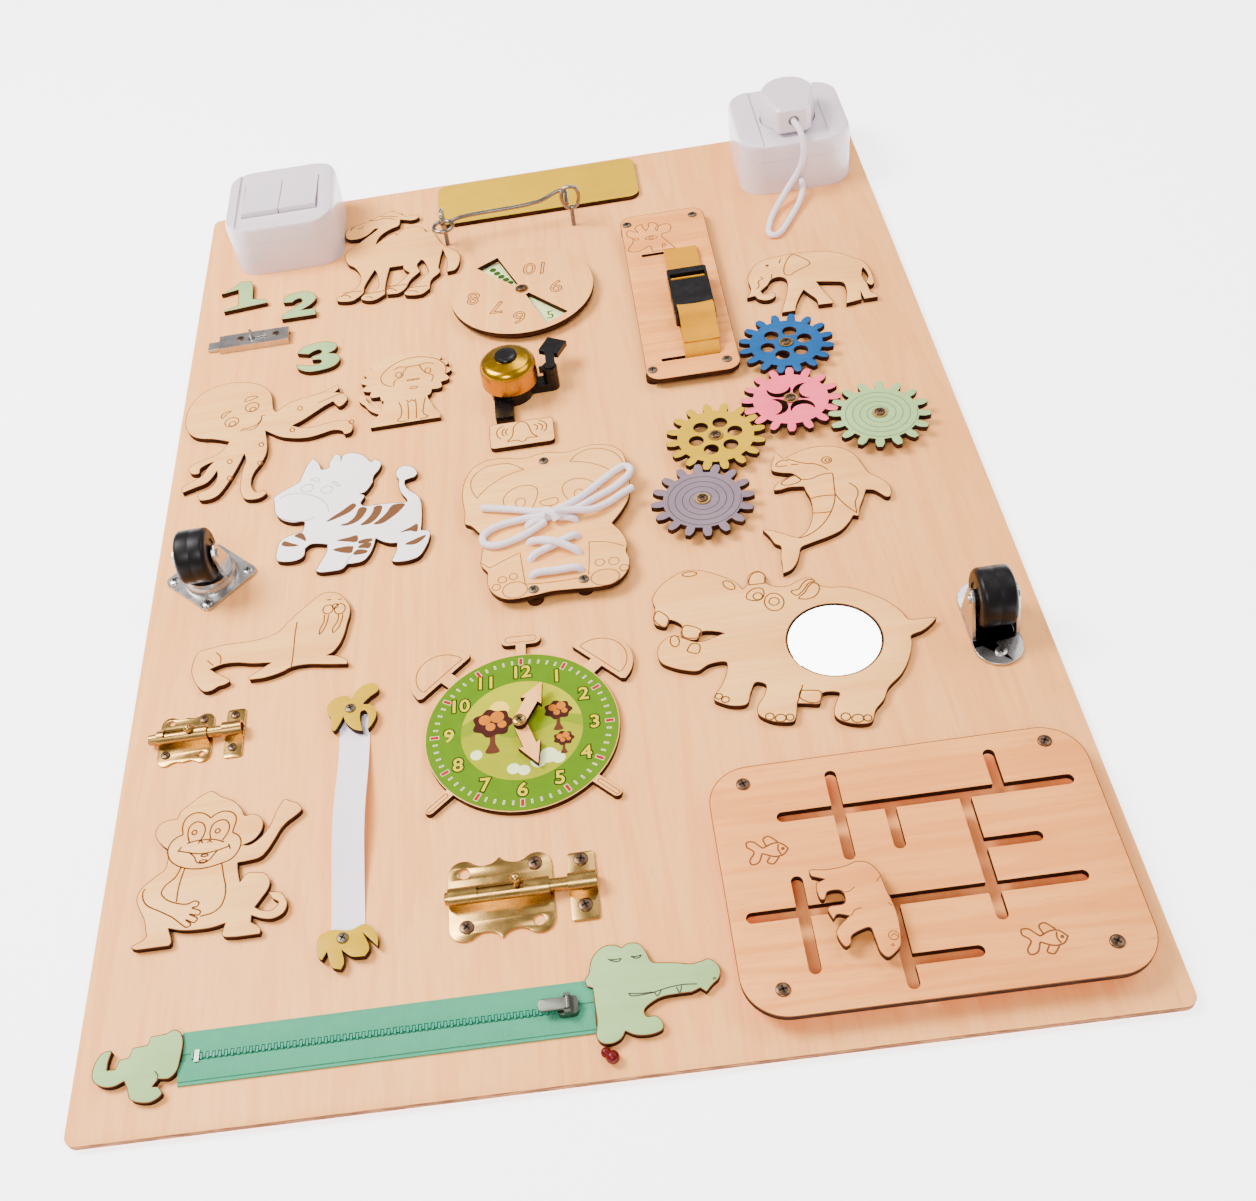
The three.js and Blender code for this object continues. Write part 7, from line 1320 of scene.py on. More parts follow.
# Maze plate: a birch sheet with branching slots, screwed down over four spacers, and a bear on a
# peg that runs in the long slot.
MAZE_X, MAZE_Y, MAZE_W, MAZE_H, MAZE_CORNER, MAZE_LIFT, SLOT_W = 148.75, -293.25, 182.5, 133.5, 21.0, 8.4, 5.7
MAZE_SLOTS = (
    (-0.317, 0.261, 0.428, 0.261), (-0.170, 0.0715, -0.170, 0.412), (-0.038, 0.090, -0.038, 0.261),
    (0.252, 0.261, 0.252, 0.412), (0.1575, -0.232, 0.1575, 0.261), (0.1575, 0.047, 0.302, 0.047),
    (-0.443, -0.127, 0.377, -0.127), (-0.315, -0.342, -0.315, -0.008), (-0.0935, -0.438, -0.0935, -0.127),
    (-0.0935, -0.354, 0.077, -0.354),
)
MAZE_LOW = FACE + MAZE_LIFT
MAZE_TOP = MAZE_LOW + PLY


def carved(mesh, cutters):
    """A mesh less a row of cutting meshes, one exact difference after another."""
    blank = linked("blank", mesh)
    tools = [linked("cutter", cutter) for cutter in cutters]
    for tool in tools:
        step = blank.modifiers.new("cut", "BOOLEAN")
        step.operation, step.solver, step.object = "DIFFERENCE", "EXACT", tool
    done = evaluated(blank)
    for obj in tools + [blank]:
        bpy.data.objects.remove(obj)
    return done


slots = []
for x0, y0, x1, y1 in MAZE_SLOTS:
    ring = rounded((x1 - x0) * MAZE_W + SLOT_W, (y1 - y0) * MAZE_H + SLOT_W, SLOT_W / 2,
                   MAZE_X + (x0 + x1) / 2 * MAZE_W, MAZE_Y + (y0 + y1) / 2 * MAZE_H, 6)
    slots.append(flat_mesh([ring], MAZE_LOW - 2, PLY + 4))
maze_edge = rounded(MAZE_W, MAZE_H, MAZE_CORNER, MAZE_X, MAZE_Y, 16)
maze = carved(flat_mesh([maze_edge], MAZE_LOW, PLY), slots)
maze.materials.clear()
maze.materials.append(plate_wood)
maze.materials.append(scorched)
by_side(maze)
settle("maze_sheet", maze, "panel", ["maze_plate"], 30)
maze_corners = pairs("-0.403,0.424 0.405,0.436 -0.401,-0.403 0.4,-0.384") * (MAZE_W, MAZE_H) + (MAZE_X, MAZE_Y)
standoffs("maze", maze_corners, MAZE_LOW, 6, 3.4, screw_bronze, 20, 40, sides=32)
BEAR_LOW = MAZE_TOP + 4
BEAR_TOP = BEAR_LOW + PLY
bear_edge = outline(BEAR, 50, 114, -318)
PEG_X, PEG_Y = 119.0, MAZE_Y - 0.127 * MAZE_H
sheet_piece("bear_figure", [bear_edge], BEAR_LOW, PLY, (plate_wood, scorched), body="bear_body", nodes=["bear"])
WASHER_T, PEG_R, HEAD_R = 2.6, 2.4, 4.6
washer_low = MAZE_LOW - 0.6 - WASHER_T
washer_top = washer_low + WASHER_T
peg_line = [(0, washer_low), (HEAD_R, washer_low), (HEAD_R, washer_top), (PEG_R, washer_top),
            (PEG_R, MAZE_TOP + 0.3), (HEAD_R, MAZE_TOP + 0.3), (HEAD_R, BEAR_LOW), (0, BEAR_LOW)]
lathe("bear_peg", peg_line, (PEG_X, PEG_Y, 0), scorched, sides=32, body="bear_body", slot="birch_plywood")

# The crocodile's back: a zip with a moulded chain between two woven tapes, glued to the board
# under the head and the tail, with a metal slider and its pull.


def woven(name, colour, deep, pitch, relief, sheen, twill=False):
    """Plain weave: crossed sine waves along the piece's own UV, in millimetres, raise it and darken its hollows as
    painted shade.
    """
    made = material(name, colour, roughness=0.85, sheen=sheen)
    tree = made.node_tree
    along = node(tree, "ShaderNodeUVMap", set_uv_map="along").outputs["UV"]
    split = node(tree, "ShaderNodeSeparateXYZ", Vector=along)
    across, down = (maths(tree, "MULTIPLY", split.outputs[axis], i1=math.tau / pitch) for axis in "XY")
    if twill:
        down = maths(tree, "ADD", down, i1=across)
    height = maths(tree, "MULTIPLY", maths(tree, "SINE", across), i1=maths(tree, "SINE", down))
    height = ramp(tree, height, 0.0, 1.0, -1.0, 1.0)
    worn = ramp(tree, noise(tree, 120.0, 4.0), 0.0, 0.4, 0.4, 0.7)
    # Painted shade: the low parts of the weave take the deeper colour; the worn specks darken it too.
    put(made, "Base Color", mixed(tree, worn, mixed(tree, height, opaque(deep), opaque(colour)), opaque(deep)))
    bump(made, height, relief)
    return made


def strap(name, points, width, thick, made, x=None, y=None, steps=8, crown=0.0, edge=0.0, **more):
    """A flat strip: a bent line in one plane, carried across the width at an x or a y; its
    thickness is square to the line, and its own UV runs across and along it in millimetres.
    Gives the piece and its length."""
    line = bend(points, steps)
    along = np.gradient(line, axis=0)
    along /= np.linalg.norm(along, axis=1, keepdims=True)
    up = np.stack([-along[:, 1], along[:, 0]], 1)
    far = np.concatenate([[0], np.cumsum(np.linalg.norm(np.diff(line, axis=0), axis=1))])
    cols, n, sway_length = 9, len(line), 21.0
    w = np.linspace(-0.5, 0.5, cols)
    lift = crown * (1 - (2 * w) ** 2)
    sheet = np.stack([line[:, None, :] + up[:, None, :] * (way * thick / 2 + lift)[None, :, None]
                      for way in (1, -1)])
    flat_across = np.broadcast_to(w[None, None, :] * width, sheet.shape[:3])
    spread = flat_across + edge * np.sin(far / sway_length)[None, :, None]
    if x is not None:
        verts = np.stack([x + spread, sheet[..., 0], sheet[..., 1]], -1)
    else:
        verts = np.stack([sheet[..., 0], y + spread, sheet[..., 1]], -1)
    uv = np.stack([flat_across, np.broadcast_to(far[None, :, None], sheet.shape[:3])], -1)

    def at(side, i, j):
        return (side * n + i) * cols + j

    def quads(*corners):
        return np.stack([at(*corner) for corner in corners], -1).reshape(-1, 4)
    i, j = np.meshgrid(np.arange(n - 1), np.arange(cols - 1), indexing="ij")
    faces = [quads((0, i, j), (0, i, j + 1), (0, i + 1, j + 1), (0, i + 1, j)),
             quads((1, i, j), (1, i + 1, j), (1, i + 1, j + 1), (1, i, j + 1))]
    r = np.arange(n - 1)
    faces += [quads((0, r, c), (0, r + 1, c), (1, r + 1, c), (1, r, c)) for c in (0, cols - 1)]
    r = np.arange(cols - 1)
    faces += [quads((0, e, r), (0, e, r + 1), (1, e, r + 1), (1, e, r)) for e in (0, n - 1)]
    obj = welded(name, verts.reshape(-1, 3), np.vstack(faces), made, uvs=uv.reshape(-1, 2), **more)
    return obj, float(far[-1])


ZIP_X, ZIP_Y, ZIP_L, TAPE_W, TAPE_T = -105.0, -337.6, 185.5, 26.0, 0.9
zip_tape_cloth = woven("zip_tape_cloth", (0.075, 0.36, 0.20), (0.045, 0.26, 0.145), 0.9, 0.12, sheen=0.0,
                       twill=True)
zip_left, zip_right, TUCK = ZIP_X - ZIP_L / 2, ZIP_X + ZIP_L / 2, 4.0
zip_tape, zip_far = strap(
    "zip_tape", [(zip_left - TUCK / 2, FACE + 0.6), (ZIP_X, FACE + 0.6), (zip_right + TUCK, FACE + 0.6)],
    TAPE_W, TAPE_T, zip_tape_cloth, y=ZIP_Y, nodes=["zipper_tape"], slot="teal_tape", steps=60)
for title, side in (("low", -1), ("high", 1)):
    strap(f"zip_lip_{title}", [(zip_left - TUCK / 2, FACE + 1.25), (ZIP_X, FACE + 1.35),
                               (zip_right + TUCK, FACE + 1.25)],
          9.5, 0.6, zip_tape_cloth, y=ZIP_Y + side * 6.6, slot="teal_tape", steps=60, crown=0.5)
chain_plastic = moulded("chain_plastic", (0.02, 0.26, 0.15), 0.3, 0.5, 200.0, 0.03)

# The chain: interlocking low blocks, every second one shifted across, each a closed block
TOOTH_STEP, TOOTH_SHIFT, TOOTH_HALF = 1.45, 0.35, (0.5, 1.35, 0.55)
count = int((ZIP_L - 8) / TOOTH_STEP)
tooth_at = np.stack([zip_left + 4 + np.arange(count) * TOOTH_STEP,
                     ZIP_Y + TOOTH_SHIFT * (-1.0) ** np.arange(count), np.full(count, FACE + 1.85)], -1)
corner = np.array([(a, b, c) for c in (-1, 1) for b in (-1, 1) for a in (-1, 1)], float)
quad = np.array([(0, 2, 3, 1), (4, 5, 7, 6), (0, 1, 5, 4), (2, 6, 7, 3), (0, 4, 6, 2), (1, 3, 7, 5)])
piece("zip_chain", (tooth_at[:, None, :] + corner * TOOTH_HALF).reshape(-1, 3),
      (quad + np.arange(count)[:, None, None] * 8).reshape(-1, 4), chain_plastic, slot="teal_tape")
zip_metal = metal("zip_metal", (0.13, 0.135, 0.115), 0.25, 0.36, 120.0, 0.004)
refined("zip_slider_body", "zipper_slider", zip_metal, 0.35, 2, "zipper_slider_body")
pull = refined("zip_pull_tab", "zipper_pull", zip_metal, 0.3, 2, "zipper_pull_body")
PULL_END, PULL_SHORTER = 0.0016, 0.4
pull_axis_x = max(v.co.x for v in pull.data.vertices) - PULL_END
for vertex in pull.data.vertices:
    vertex.co.x += PULL_SHORTER * max(pull_axis_x - vertex.co.x, 0)
marks("zip_stop", [[(-191.5, -340.5), (-191.5, -334.7)]], FACE + 2.0, zip_metal, width=2.2, proud=0.6, slot="steel")
bead_red = moulded("bead_red", (0.10, 0.0008, 0.0015), 0.2, 0.3, 60.0, 0.02)
for i, (x, y, r) in enumerate(((-5.0, -361.0, 2.4), (-2.3, -363.8, 3.1))):
    t = np.radians(np.linspace(-90, 90, 13))
    bead = [(r * math.cos(a) if abs(a) < 1.57 else 0, FACE + r + r * math.sin(a)) for a in t]
    lathe(f"red_bead_{i + 1}", bead, (x, y, 0), bead_red, sides=24, slot="pink_wood")

# Ribbon: a white satin strip arched over the board and pinned at each end by a yellow banana.
RIBBON_X, RIBBON_W, RIBBON_TOP, RIBBON_LOW = -123.2, 16.5, -148.0, -290.0
satin = woven("ribbon_satin", (0.95, 0.83, 0.90), (0.86, 0.74, 0.82), 0.5, 0.03, sheen=0.1)
lie = FACE + 0.45
ribbon, ribbon_far = strap("ribbon_strip", [
    (RIBBON_TOP, lie), (RIBBON_TOP - 18, lie + 0.2), (RIBBON_TOP - 36, lie + 2),
    ((RIBBON_TOP + RIBBON_LOW) / 2, lie + 6), (RIBBON_LOW + 36, lie + 2),
    (RIBBON_LOW + 18, lie + 0.2), (RIBBON_LOW, lie)], RIBBON_W, 0.6, satin, x=RIBBON_X, nodes=["ribbon"],
    slot="white_cloth", steps=10, crown=0.5, edge=0.4)
banana_seat = FACE + 1.2
for title, table, x, y in (("top", BANANA_TOP, -124, -148), ("bottom", BANANA_LOW, -122, -292)):
    sheet_piece(f"banana_{title}_cut", [outline(table, 20, x, y)], banana_seat, PLY, (yellow_paint, scorched),
                nodes=[f"banana_{title}"], slot="yellow_wood")
screw("banana_screw_top", -124.8, -148, banana_seat + PLY, 2.9, dark_steel)
screw("banana_screw_bottom", -124.6, -288.3, banana_seat + PLY, 2.9, dark_steel, turned=60)

# Buckle panel: a birch sheet on four spacers, orange webbing through its two slots, and a black
# side-release buckle between them.
PANEL_X, PANEL_Y, PANEL_W, PANEL_H, PANEL_LOW = 94.75, 181.25, 60.5, 189.5, FACE + 4.4
PANEL_TOP = PANEL_LOW + PLY
SLOT_HIGH, SLOT_LOW = 225.0, 105.5
panel_edge = rounded(PANEL_W, PANEL_H, 9, PANEL_X, PANEL_Y, 12)
sheet_piece("buckle_sheet", [panel_edge] + [rounded(38.7, 3, 1, PANEL_X, y, 4) for y in (SLOT_HIGH, SLOT_LOW)],
            PANEL_LOW, PLY, (plate_wood, scorched), nodes=["buckle_panel"])
panel_corners = (pairs("-0.425,0.447 0.368,0.451 -0.434,-0.447 0.368,-0.447") * (PANEL_W, PANEL_H)
                 + (PANEL_X, PANEL_Y))
standoffs("panel", panel_corners, PANEL_LOW, 4.8, 3.2, dark_steel, 15, 37)
BUCKLE_X, BUCKLE_Z, BUCKLE_H, WEB_W, WEB_T = 102.5, PANEL_TOP + 3.5, 9.0, 23.0, 1.3
webbing = woven("orange_webbing", (0.70, 0.31, 0.0005), (0.50, 0.19, 0.0005), 1.5, 0.35, sheen=0.0)
web_under, web_over, window_y, clip_y = PANEL_LOW - 2.6, BUCKLE_Z - 1.3, 176.5, 137.2
upper, upper_far = strap("webbing_upper", [
    (SLOT_HIGH + 12, web_under), (SLOT_HIGH + 2, web_under), (SLOT_HIGH, PANEL_LOW), (SLOT_HIGH, PANEL_TOP + 1.3),
    (SLOT_HIGH - 3, PANEL_TOP + 2.6), (SLOT_HIGH - 18, PANEL_TOP + 2.6), (190, web_over), (window_y + 3.5, web_over),
    (window_y + 0.6, web_over + 0.6), (window_y, BUCKLE_Z + 4.5),
    (window_y, BUCKLE_Z + 7.7)], WEB_W, WEB_T, webbing, x=BUCKLE_X, nodes=["strap_upper"], slot="orange_webbing")
lower, lower_far = strap("webbing_lower", [
    (clip_y, BUCKLE_Z + 6.4), (clip_y, BUCKLE_Z + 4.5), (clip_y - 0.6, web_over + 0.6), (clip_y - 4.5, web_over),
    (SLOT_LOW + 16, BUCKLE_Z + 1.3), (SLOT_LOW + 4, PANEL_TOP + 3.9), (SLOT_LOW, PANEL_TOP + 1.3),
    (SLOT_LOW, PANEL_LOW), (SLOT_LOW + 2, web_under), (SLOT_LOW + 12, web_under)],
    WEB_W, WEB_T, webbing, x=BUCKLE_X, body=None, nodes=["strap_lower"], slot="orange_webbing")
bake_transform(lower)
over_buckle = BUCKLE_Z + BUCKLE_H
tail, tail_far = strap("webbing_tail", [
    (clip_y + 5.0, over_buckle + 1.6), (clip_y + 1.0, over_buckle + 2.6), (clip_y - 4.5, over_buckle + 2.0),
    (clip_y - 9.0, over_buckle - 1.8), (clip_y - 14.0, BUCKLE_Z + 4.4), (SLOT_LOW + 12, BUCKLE_Z + 3.6),
    (SLOT_LOW + 7, BUCKLE_Z + 2.6)],
    WEB_W + 0.6, WEB_T, webbing, x=BUCKLE_X + 0.4, body=None, slot="orange_webbing", crown=0.8, edge=0.5)
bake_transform(tail)
refined("buckle_body", "buckle_socket", black_plastic, 0.5, 2)
refined("buckle_prongs", "buckle_clip", black_plastic, 0.45, 2, "buckle_clip_body")

# Lacing plate: a birch sheet on spacers with four rows of holes, and a white lace threaded
# crosswise through them and tied in a bow.
PANDA_LOW = FACE + 5
PANDA_TOP = PANDA_LOW + PLY
LACE_X = (-20.0, 8.0)
LACE_Y = [-32.0 - 13.6 * i for i in range(4)]
panda_edge = outline(PANDA, 100, 0, -28.6)
sheet_piece("lacing_sheet", [panda_edge] + [circle(x, y, 2.3, 20) for y in LACE_Y for x in LACE_X], PANDA_LOW, PLY,
            wood, nodes=["panda_plate"])
standoffs("lacing", pairs("-7.5,52.5 -20,-54.5 9,-52", 0, -28.6), PANDA_LOW, 4.8, 3.0, dark_steel, 0, 50)
lace_cotton = material("lace_cotton", (0.84, 0.74, 0.80), roughness=0.9, sheen=0.1)
lace_tree = lace_cotton.node_tree
lace_weave = noise(lace_tree, 900.0, 2.0)
put(lace_cotton, "Base Color", mixed(lace_tree, lace_weave, (0.86, 0.76, 0.82, 1), (0.68, 0.57, 0.63, 1)))
bump(lace_cotton, lace_weave, 0.25)
LACE_D = 4.6
LACE_Z = PANDA_TOP + 2.4


def lace(name, points, diameter=LACE_D):
    """A round cord along a bent line; gives the piece and its line."""
    obj, line = swept(name, points, diameter, lace_cotton, steps=6, sides=4)
    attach(obj, "panel")
    return obj, line


def crossing(name, column_a, row_a, column_b, row_b, high):
    """A lace from hole to hole: up out of one, over the plate and down into the other."""
    a, b = np.array((LACE_X[column_a], LACE_Y[row_a])), np.array((LACE_X[column_b], LACE_Y[row_b]))
    stations = ((0, PANDA_LOW - 1), (0, PANDA_TOP), (0.08, LACE_Z), (0.5, LACE_Z + high), (0.92, LACE_Z),
                (1, PANDA_TOP), (1, PANDA_LOW - 1))
    return lace(name, [(*(a + (b - a) * share), z) for share, z in stations])[0]


def over_plate(text):
    """Points of the lace, with heights over its resting height."""
    return pairs(text) + (0, 0, LACE_Z)


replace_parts(crossing("lace_bar", 0, 3, 1, 3, 0.0), "shoelace")
crossing("lace_cross_one", 0, 2, 1, 1, 0.2)
crossing("lace_cross_two", 1, 2, 0, 1, 3.6)
lace("lace_to_knot_left", over_plate("-20,-32,-4.4 -20,-32,-1.6 -17,-31.2,0 -9.5,-29,0 -5.5,-28,0"))
lace("lace_to_knot_right", over_plate("8,-32,-4.4 8,-32,-1.6 5,-31.4,0 -1.5,-29.4,0 -5.5,-28,0"))
bar("lace_knot", over_plate("-9,-25,1.5 -6.5,-27.5,3.2 -4,-29.5,3 -2.5,-32.5,0.5"), 5.6, lace_cotton,
    slot="white_cloth")
BOW = (
    ("lace_loop_right", "object", """-3.5,-26,2 5,-22,2 16,-14,1 28,-3,0.3 36.5,4.2,0 41.5,6.2,0 44.5,3,0 42.5,-2.5,0
        34,-10.5,0 20,-19,0.3 8,-26.5,1 -2,-31,2.2"""),
    ("lace_tail_right", "bare", "-3,-29,5.2 6,-29.5,4.2 18,-29.5,2.2 28,-24.5,0.5 36,-18.5,0 44,-13.5,0"),
    ("lace_tail_left", "bare", "-8.5,-25.5,2 -15,-23.5,1.2 -27,-18.5,0.3 -38,-15,0 -47,-12.5,0"),
    ("lace_loop_left", "object", """-9,-29.5,2 -18,-27.8,1 -31,-28.6,0.2 -41,-31.5,0 -47,-37,0 -46.5,-43,0 -40,-46,0
        -29,-43.5,0 -18,-38.5,0.5 -9.5,-33.5,1.6"""),
)
BOW_D = 4.4
for title, far_end, route in BOW:
    points = over_plate(route)
    obj, line = lace(title, points, BOW_D)

# Engraving: thin burnt lines in the faces of the figures and plates, drawn after the outlines.


def oval(x, y, rx, ry=None, turned=0.0):
    """A closed ring of points on an ellipse."""
    a = np.radians(np.linspace(0, 360, 21))
    return turned_about(np.stack([rx * np.cos(a), (ry or rx) * np.sin(a)], 1), x, y, turned)


def loop(points):
    """A closed bent line through the given points."""
    return joined(bend(points, 4, closed=True))


def strokes(text, x, y):
    """Bent lines divided by strokes, about a place: open ones; rings, which begin with an @; and
    ovals, which begin with an o and give their middle, half widths and turn."""
    lines = []
    for run in text.split("/"):
        run = run.strip()
        if run[0] == "o":
            middle, *shape = run[1:].split()
            lines.append(oval(*pairs(middle, x, y)[0], *map(float, shape)))
        elif run[0] == "@":
            lines.append(loop(pairs(run[1:], x, y)))
        else:
            lines.append(bend(pairs(run, x, y), 5))
    return lines


def engrave(name, lines, top=TOP, made=engraved_soft, width=0.75, body="panel", slot="birch_plywood"):
    """Burnt lines in a face."""
    return marks(name, lines, top, made, width=width, body=body, slot=slot)


def rim(title, ring, top=TOP, body="panel", slot="birch_plywood", made=engraved_brown):
    """The scorched line along a cut edge."""
    return marks("rim_" + title, [joined(ring)], top - 0.02, made, width=0.42, body=body, slot=slot)


for title in ("camel", "elephant", "dolphin", "walrus", "octopus", "monkey", "hippo", "mirror", "zebra",
              "crocodile_head", "crocodile_tail", "one", "two", "three", "plaque"):
    ring, slot = cut_rings[title]
    rim(title, ring, slot=slot, made=engraved_soft if slot == "white_wood" else engraved_brown)
rim("maze", maze_edge, MAZE_TOP)
rim("bear", bear_edge, BEAR_TOP, "bear_body")
rim("panel", panel_edge, PANEL_TOP)
rim("lacing", panda_edge, PANDA_TOP, made=engraved_soft)

engrave("camel_lines", strokes("""
    -37.8,42.8 -36.9,45.9 -34.4,47.2 / -32.2,43.3 -29.4,44.4 -28.3,46.7 / -23.9,53.9 -21.1,51.7 -11.1,52.8
    -3.3,48.9 / -15.6,56.1 -7.8,54.4 -1.7,52.2 / -6.6,61 -5.6,60.2 / 1.2,56.6 2,53.8 / -3,28.8 -2.2,26.6 /
    18.8,29 20.8,25 / -41.5,-38.5 -39,-37.8 -33,-38 -27.5,-38.7 / -43,-42 -40.5,-40.5 -37.5,-42 -35.5,-45 /
    -25,-43 -17,-42.8 -10,-42 / -25,-46.5 -21.5,-47 -19.5,-49.5 / -10,-38 -3,-38 5.5,-39.2 / -9,-41.5 -6,-41
    -3.5,-43 -2,-45 / 6,-44 14,-43.5 20,-44.5 / 4,-47.5 7.5,-47 11,-48.5 14,-51""", -100, 280), width=0.85)
lion_face = pairs("""
    -9.2,5.8 -15.8,10.8 -17,18.3 -11.7,26.7 -3.3,32.5 5,34.2 14.2,32.5 22.5,27.5 27,20 26.7,11.7 21.7,6.7
    17.2,4.7""", -95, 120)
engrave("lion_lines", [loop(lion_face)[:-12]] + strokes("""
    -8.3,5.8 -7.5,11.7 -2.5,15 -1.7,20 0.8,24.2 / -8.3,23.3 -5,25.8 0.8,24.7 9.2,25 13.3,26.2 19.2,24.2 / 9.2,25
    10.8,20 13.3,15.8 18.3,11.7 17.5,5 / o-5,17.5 2 2.8 / o15,17.5 2 2.8 / o3,10 2.2 0.8 / o7,10 2.2 0.8 /
    o5.3,1.7 2.6 1.2 / 0.5,-10.5 2.2,-13 4,-11 5.5,-13 6.5,-10.5 / 1.3,-13.3 1.7,-22 1.7,-30.8 / 6.7,-12.5 7,-22
    7,-30.8 / -4.7,-11.7 -3,-18.3 -3.3,-26.7 -5.3,-30.8 0.8,-32.2 / 13,-10.8 12,-18.3 11.7,-26.7 14.7,-30.5
    9.2,-32""", -95, 120))
engrave("octopus_lines", strokes("""
    o-10.2,36.5 4.7 / o-9.5,34.1 2.1 / o-23.1,23.7 4.7 / o-22.5,21.9 2.3 / @-16,44 -14.4,47.2 -10.6,48.1
    -6.9,46.5 -10,45 -13.1,43.7 / @-31,30.6 -29.4,34.4 -24.4,35.2 -27.2,33.1 -30,29 / -16.2,12.7 -15,14.7 -10,15
    -5,18.1 -2.7,23.1 -3.1,25.6 -0.6,26 / -15,13.5 -7.5,13.1 -3.7,18.7 -2.3,23.1 / 35.6,30.2 44,34.2 52.5,37.5 /
    o23.1,27.5 1.5 2.1 15 / o19.1,6.2 1.5 2.1 15 / o58.8,5.4 1.5 2.1 15 / o-1,-4 1.5 2.1 15 / o-0.6,-22.3 1.5
    2.1 15 / o-21,-16.5 1.5 2.1 15 / o-19.7,-32.8 1.5 2.1 15""", -190, 90))
engrave("elephant_lines", strokes("""
    @-5.9,30.9 -9.1,28.2 -12.3,22.3 -14.5,16.4 -15.3,10.9 -14.3,8.2 -11.4,7.7 -7.7,10.5 -2.3,13.2 2.3,15.6
    3.9,18.2 2.7,21.4 -0.5,25.9 -3.6,29.5 / -14.7,27.3 -16.1,25 -16.4,22.7 / o-25.2,22.3 0.9 / -25.5,23.2
    -24.9,21.4 / -32.3,10.9 -30.3,8.2 -33.6,6.4 -34.3,3.6 -34.5,0 -36.4,-2.3 / -23.6,11.8 -25,6.4""", 185, 175),
    width=0.8)
engrave("dolphin_lines", strokes("""
    -16.5,39.5 -12,36.5 -7,33.5 -2,32 2,29.5 5.5,25 / -24,35.5 -22.5,37.5 -18.5,38.8 -16,37.5 / -24.5,34.5
    -21,33.8 -17.5,33.5 / -15,33.8 -10.5,33.5 / o6.3,33.5 2.9 / o6.7,33.2 1.3 / -14,25 -13,22 -10.5,19.8 -5,19.5
    -1,21.2 4,22 7.5,21.5 / 7.5,21.5 7,16 6.2,10 5.5,4 4,-2 0.5,-10 -5,-18 -11,-23.5 -17,-26.7 -21.5,-27.7 /
    -9,2.5 -7,3.3 -2,3.7 5,3 / -10,-9.2 -7,-9.8 0.5,-10.3 / 5.5,4 7.5,-2 11,-9 14.5,-14.3 / 14.5,-14.3 14.7,-12
    15.5,-5 18,0 18.8,4.5 17.5,8.5 15,11.5 / @-15,24 -20,22 -23.5,19 -21.5,17 -12.5,18.5 -12,21""", 155, -40))
engrave("hippo_lines", strokes("""
    o-51.5,56.5 4.1 1.8 -4 / o-31,43.8 2.4 4.2 35 / -20,41.3 -19.4,45.6 -16.9,49.8 -13.1,50.6 -10.6,48.1
    -10.4,44.4 -11.9,40.9 / -19.7,41.8 -12,41.5 / @-22.8,31.9 -21.9,35.6 -18.1,38.5 -13.8,38.1 -12.8,34.4 -15,30
    -18.8,29.6 / o-16.6,32.5 2.6 / o-8.5,26.6 5.3 6.6 / o-8.5,27 2.8 / @1.9,32.8 6.2,33.5 9.4,37.5 13.1,39.8
    16,37.8 12.5,36.9 9.4,33.1 4.4,29 / @5,26.9 8.7,30 11.9,34.4 14.4,36.5 16.9,35.6 17.5,31.9 14.4,26.9
    9.4,25.4 / @-75.3,26.3 -72.5,31.9 -67.3,25.4 -70,19.4 / @-59.4,18.5 -51,14 -52.3,8.8 -60,10 -61.3,13.1 /
    o-65.9,8.4 2.5 4 / @-60,0.6 -56.9,5 -53.1,3.5 -54.4,-2.2 -59.4,-0.6 / o-47.9,-33.5 1.9 / o-44.8,-36.2 2 /
    o-24.1,-51.2 2.2 / o-18.8,-53.1 2.8 2.4 / o-14,-53.4 2 / o13.7,-57.9 2.4 / o19.4,-60 3 2.6 / o24.4,-60.6 2 /
    -3.8,-33.5 -6.5,-40 -8.8,-45 / -5.6,-36.9 -6.9,-41.2 -2.5,-45.6 2.5,-46 4.4,-39.7 -5.6,-36.9""", 120, -140))
engrave("walrus_lines", strokes("""
    o29.5,19.3 3 3.5 / o36.5,18.5 3.2 4 / o33.7,21.2 1.7 / 28.6,27 31.2,26.8 / 35.2,26.2 37.6,26 / 27.5,15.5
    27.5,10 25.5,5 25.3,0.5 28,5 29.5,10 30,15 / 36,14.5 35.5,9 33,4 33.2,0.5 36,3.5 38,10 38.5,14.5 / 11.7,13
    11,5 10.8,-5 10.5,-15 10,-21 / -35,-2 -32.5,-4.5 -31.5,-7.5 -31.5,-11 / -39.5,-7.2 -37,-10 -35.5,-11.5""", -170,
    -90))
